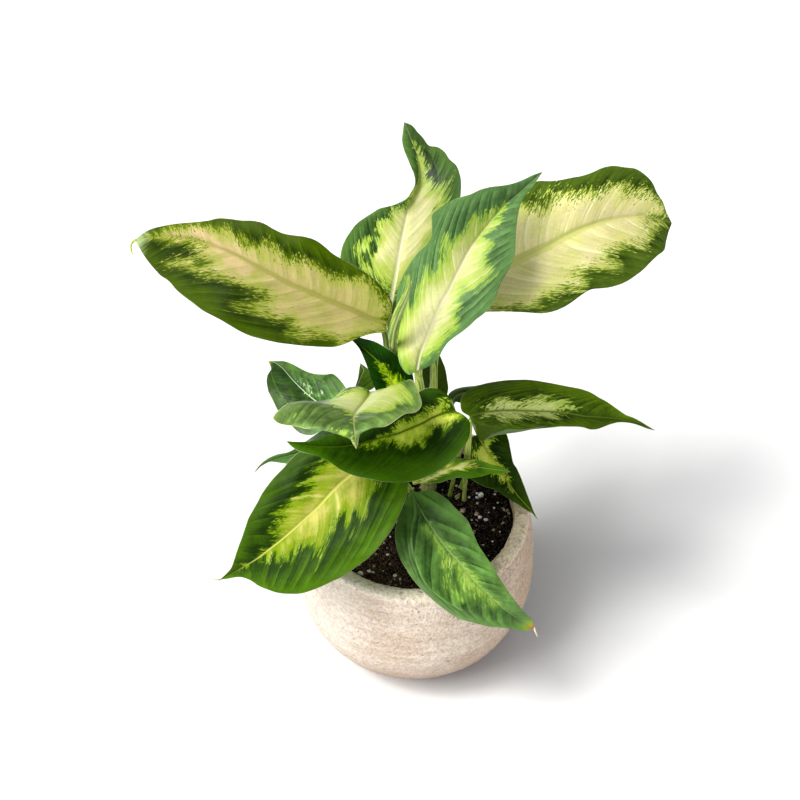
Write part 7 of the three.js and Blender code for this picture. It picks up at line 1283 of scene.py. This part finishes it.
def build_soil():
    shp = Shape(("kind",))
    nr, na = 74, 300
    rr = 64.3 * np.linspace(0.01, 1, nr) ** 0.8
    ang = np.arange(na) / na * 2 * math.pi
    x, y = rr[:, None] * np.cos(ang), rr[:, None] * np.sin(ang)
    z = soil_height(x, y)
    V = np.stack([x, y, z], -1).reshape(-1, 3)
    side = np.stack([64.3 * np.cos(ang), 64.3 * np.sin(ang), 0 * ang + 100.2], -1)
    V = np.concatenate([V, side, [[0, 0, z[0].mean()], [0, 0, 100.2]]])
    faces = grid_faces(nr + 1, na, close_v=True)
    c0, c1 = (nr + 1) * na, (nr + 1) * na + 1
    faces += [(c0, j, (j + 1) % na) for j in range(na)]
    o = nr * na
    faces += [(c1, o + (j + 1) % na, o + j) for j in range(na)]
    shp.add(V, faces, 0, kind=0.0)
    r = np.random.default_rng(9)
    iv, jf = ico(1)
    iv2, jf2 = ico(2)
    # crumbs
    for _ in range(1500):
        rad = 63.0 * math.sqrt(r.uniform(0, 1))
        a = r.uniform(0, 2 * math.pi)
        cx, cy = rad * math.cos(a), rad * math.sin(a)
        s = float(np.clip(r.lognormal(-0.08, 0.48), 0.4, 2.2))
        q = iv * (1 + 0.28 * r.normal(size=(len(iv), 1)))
        q = q * s * np.array([r.uniform(0.7, 1.3), r.uniform(0.6, 1.1), r.uniform(0.5, 0.9)])
        th = r.uniform(0, 6.28)
        R = np.array([[math.cos(th), -math.sin(th), 0], [math.sin(th), math.cos(th), 0], [0, 0, 1]])
        h = float(soil_height(np.array([cx]), np.array([cy]))[0])
        shp.add(q @ R.T + [cx, cy, h + s * 0.15], jf, 0, kind=float(r.choice([0.0, 1.0, 2.0], p=[0.56, 0.31, 0.13])))
    # bark and fibre pieces
    for _ in range(90):
        rad = 61.0 * math.sqrt(r.uniform(0, 1))
        a = r.uniform(0, 2 * math.pi)
        cx, cy = rad * math.cos(a), rad * math.sin(a)
        L_, W_, H_ = r.uniform(1.2, 3.4), r.uniform(0.4, 0.9), r.uniform(0.3, 0.7)
        q = iv2 * (1 + 0.12 * r.normal(size=(len(iv2), 1)))
        q = np.sign(q) * np.abs(q) ** 0.75 * np.array([L_, W_, H_])
        th, ti = r.uniform(0, 6.28), r.uniform(-0.35, 0.35)
        R = np.array([[math.cos(th), -math.sin(th), 0], [math.sin(th), math.cos(th), 0], [0, 0, 1]])
        T = np.array([[math.cos(ti), 0, math.sin(ti)], [0, 1, 0], [-math.sin(ti), 0, math.cos(ti)]])
        h = float(soil_height(np.array([cx]), np.array([cy]))[0])
        lim = math.hypot(cx, cy) + L_
        if lim > 63.5:
            continue
        shp.add(q @ T.T @ R.T + [cx, cy, h + 0.45], jf2, 0, kind=1.0)
    ob = shp.make("soil_skin", [soil_material()])
    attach(ob, "root")
    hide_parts("soil")

    pl = Shape(("kind",))
    spots = [(x, y, s) for x, y, s in PERLITE]
    for _ in range(46):
        rad = 62.0 * math.sqrt(r.uniform(0, 1))
        a = r.uniform(0, 2 * math.pi)
        spots.append((rad * math.cos(a), rad * math.sin(a), r.uniform(0.35, 1.0)))
    for cx, cy, s in spots:
        q = iv2 * (1 + 0.10 * r.normal(size=(len(iv2), 1)))
        w = Waves(int(r.integers(1e6)), 1.4, 8)(iv2)
        q = q * (1 + 0.16 * w[:, None]) * s * np.array([r.uniform(0.9, 1.25), r.uniform(0.8, 1.1), r.uniform(0.7, 0.95)])
        h = float(soil_height(np.array([cx]), np.array([cy]))[0])
        if math.hypot(cx, cy) + s > 63.8:
            continue
        pl.add(q + [cx, cy, h + s * 0.45], jf2, 0, kind=0.0)
    ob = pl.make("perlite_grains", [perlite_material()])
    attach(ob, "root")


# white grains that show, (x, y, radius)
PERLITE = []


def seen_at(px, py, z):
    """The point at height z that the camera sees at a place in an 800 by 800 picture."""
    p = CAM["p"]
    f = np.array([0, math.cos(p), -math.sin(p)])
    up = np.array([0, math.sin(p), math.cos(p)])
    d = f + np.array([1, 0, 0]) * (px - 400) / CAM["F"] - up * (py - 400) / CAM["F"]
    k = (z - CAM["C"][2]) / d[2]
    return CAM["C"] + d * k


for px, py, s in [(361, 572, 1.9), (369, 571, 1.2), (373, 571, 0.9), (395, 575, 1.0), (400, 578, 0.8), (481, 494, 1.7), (477, 496, 1.1), (495, 492, 0.9), (469, 498, 0.9), (494, 507, 0.8), (480, 516, 1.25), (486, 518, 1.45), (493, 540, 0.8), (483, 545, 0.9), (489, 511, 0.5), (498, 500, 0.8), (472, 520, 0.6), (500, 530, 0.6), (466, 489, 0.7)]:
    q = seen_at(px, py, SOIL_Z - 0.3)
    PERLITE.append((float(q[0]), float(q[1]), s))
build_soil()

# ---------------------------------------------------------------- stage, light, camera
def floor_material():
    n = Nodes("mat_floor")
    p = n.geo()
    c = n.noise(p, 3.0, 3.0, 0.5)
    col = n.mix(c, lin(250, 250, 250), lin(247, 247, 248))
    n.set(Base_Color=col, Roughness=0.9)
    n.bsdf.inputs["Specular IOR Level"].default_value = 0.1
    return n.mat


me = bpy.data.meshes.new("floor")
me.from_pydata([(-6, -4, -0.0004), (6, -4, -0.0004), (6, 8, -0.0004), (-6, 8, -0.0004)], [], [(0, 1, 2, 3)])
floor = bpy.data.objects.new("floor", me)
bpy.context.scene.collection.objects.link(floor)
me.materials.append(floor_material())

scene = bpy.context.scene
world = bpy.data.worlds.new("studio")
scene.world = world
world.use_nodes = True
wt = world.node_tree
bg = wt.nodes["Background"]
bg.inputs[0].default_value = ROOM_COLOUR
coord = wt.nodes.new("ShaderNodeTexCoord")


def toward(x, y, z, power):
    """How much a sky direction points towards (x, y, z), as a node value 0 to 1."""
    d = wt.nodes.new("ShaderNodeVectorMath")
    d.operation = "DOT_PRODUCT"
    wt.links.new(coord.outputs["Generated"], d.inputs[0])
    k = math.sqrt(x * x + y * y + z * z)
    d.inputs[1].default_value = (x / k, y / k, z / k)
    m = wt.nodes.new("ShaderNodeMath")
    m.operation = "MAXIMUM"
    wt.links.new(d.outputs["Value"], m.inputs[0])
    m.inputs[1].default_value = 0.0
    q = wt.nodes.new("ShaderNodeMath")
    q.operation = "POWER"
    wt.links.new(m.outputs[0], q.inputs[0])
    q.inputs[1].default_value = power
    return q.outputs[0]


def weigh(terms, base):
    total = None
    for sock, w in terms:
        m = wt.nodes.new("ShaderNodeMath")
        m.operation = "MULTIPLY_ADD"
        wt.links.new(sock, m.inputs[0])
        m.inputs[1].default_value = w
        if total is None:
            m.inputs[2].default_value = base
        else:
            wt.links.new(total, m.inputs[2])
        total = m.outputs[0]
    return total


wt.links.new(weigh([(toward(*d, p), w) for d, p, w in ROOM], ROOM_BASE), bg.inputs[1])

for i, spec in enumerate(SUNS):
    sun = bpy.data.lights.new("key_%d" % i, "SUN")
    sun.energy = spec["power"]
    sun.angle = math.radians(spec["angle"])
    sun.color = spec["colour"]
    so = bpy.data.objects.new("key_%d" % i, sun)
    az, el = math.radians(spec["azimuth"]), math.radians(spec["elevation"])
    so.rotation_euler = Vector((math.cos(az) * math.cos(el), math.sin(az) * math.cos(el), math.sin(el))).to_track_quat("Z", "Y").to_euler()
    scene.collection.objects.link(so)

cam = bpy.data.cameras.new("camera")
cam.lens = 36.0 * 1771.4 / 800.0
cam.sensor_width = 36.0
cam.clip_start, cam.clip_end = 0.05, 30
co = bpy.data.objects.new("camera", cam)
co.location = tuple(CAM["C"] * MM)
co.rotation_euler = (math.radians(90 - 48.0), 0, 0)
scene.collection.objects.link(co)
scene.camera = co

scene.view_settings.view_transform = "Standard"
scene.view_settings.look = "None"
scene.view_settings.exposure = 0.0
scene.view_settings.gamma = 1.0
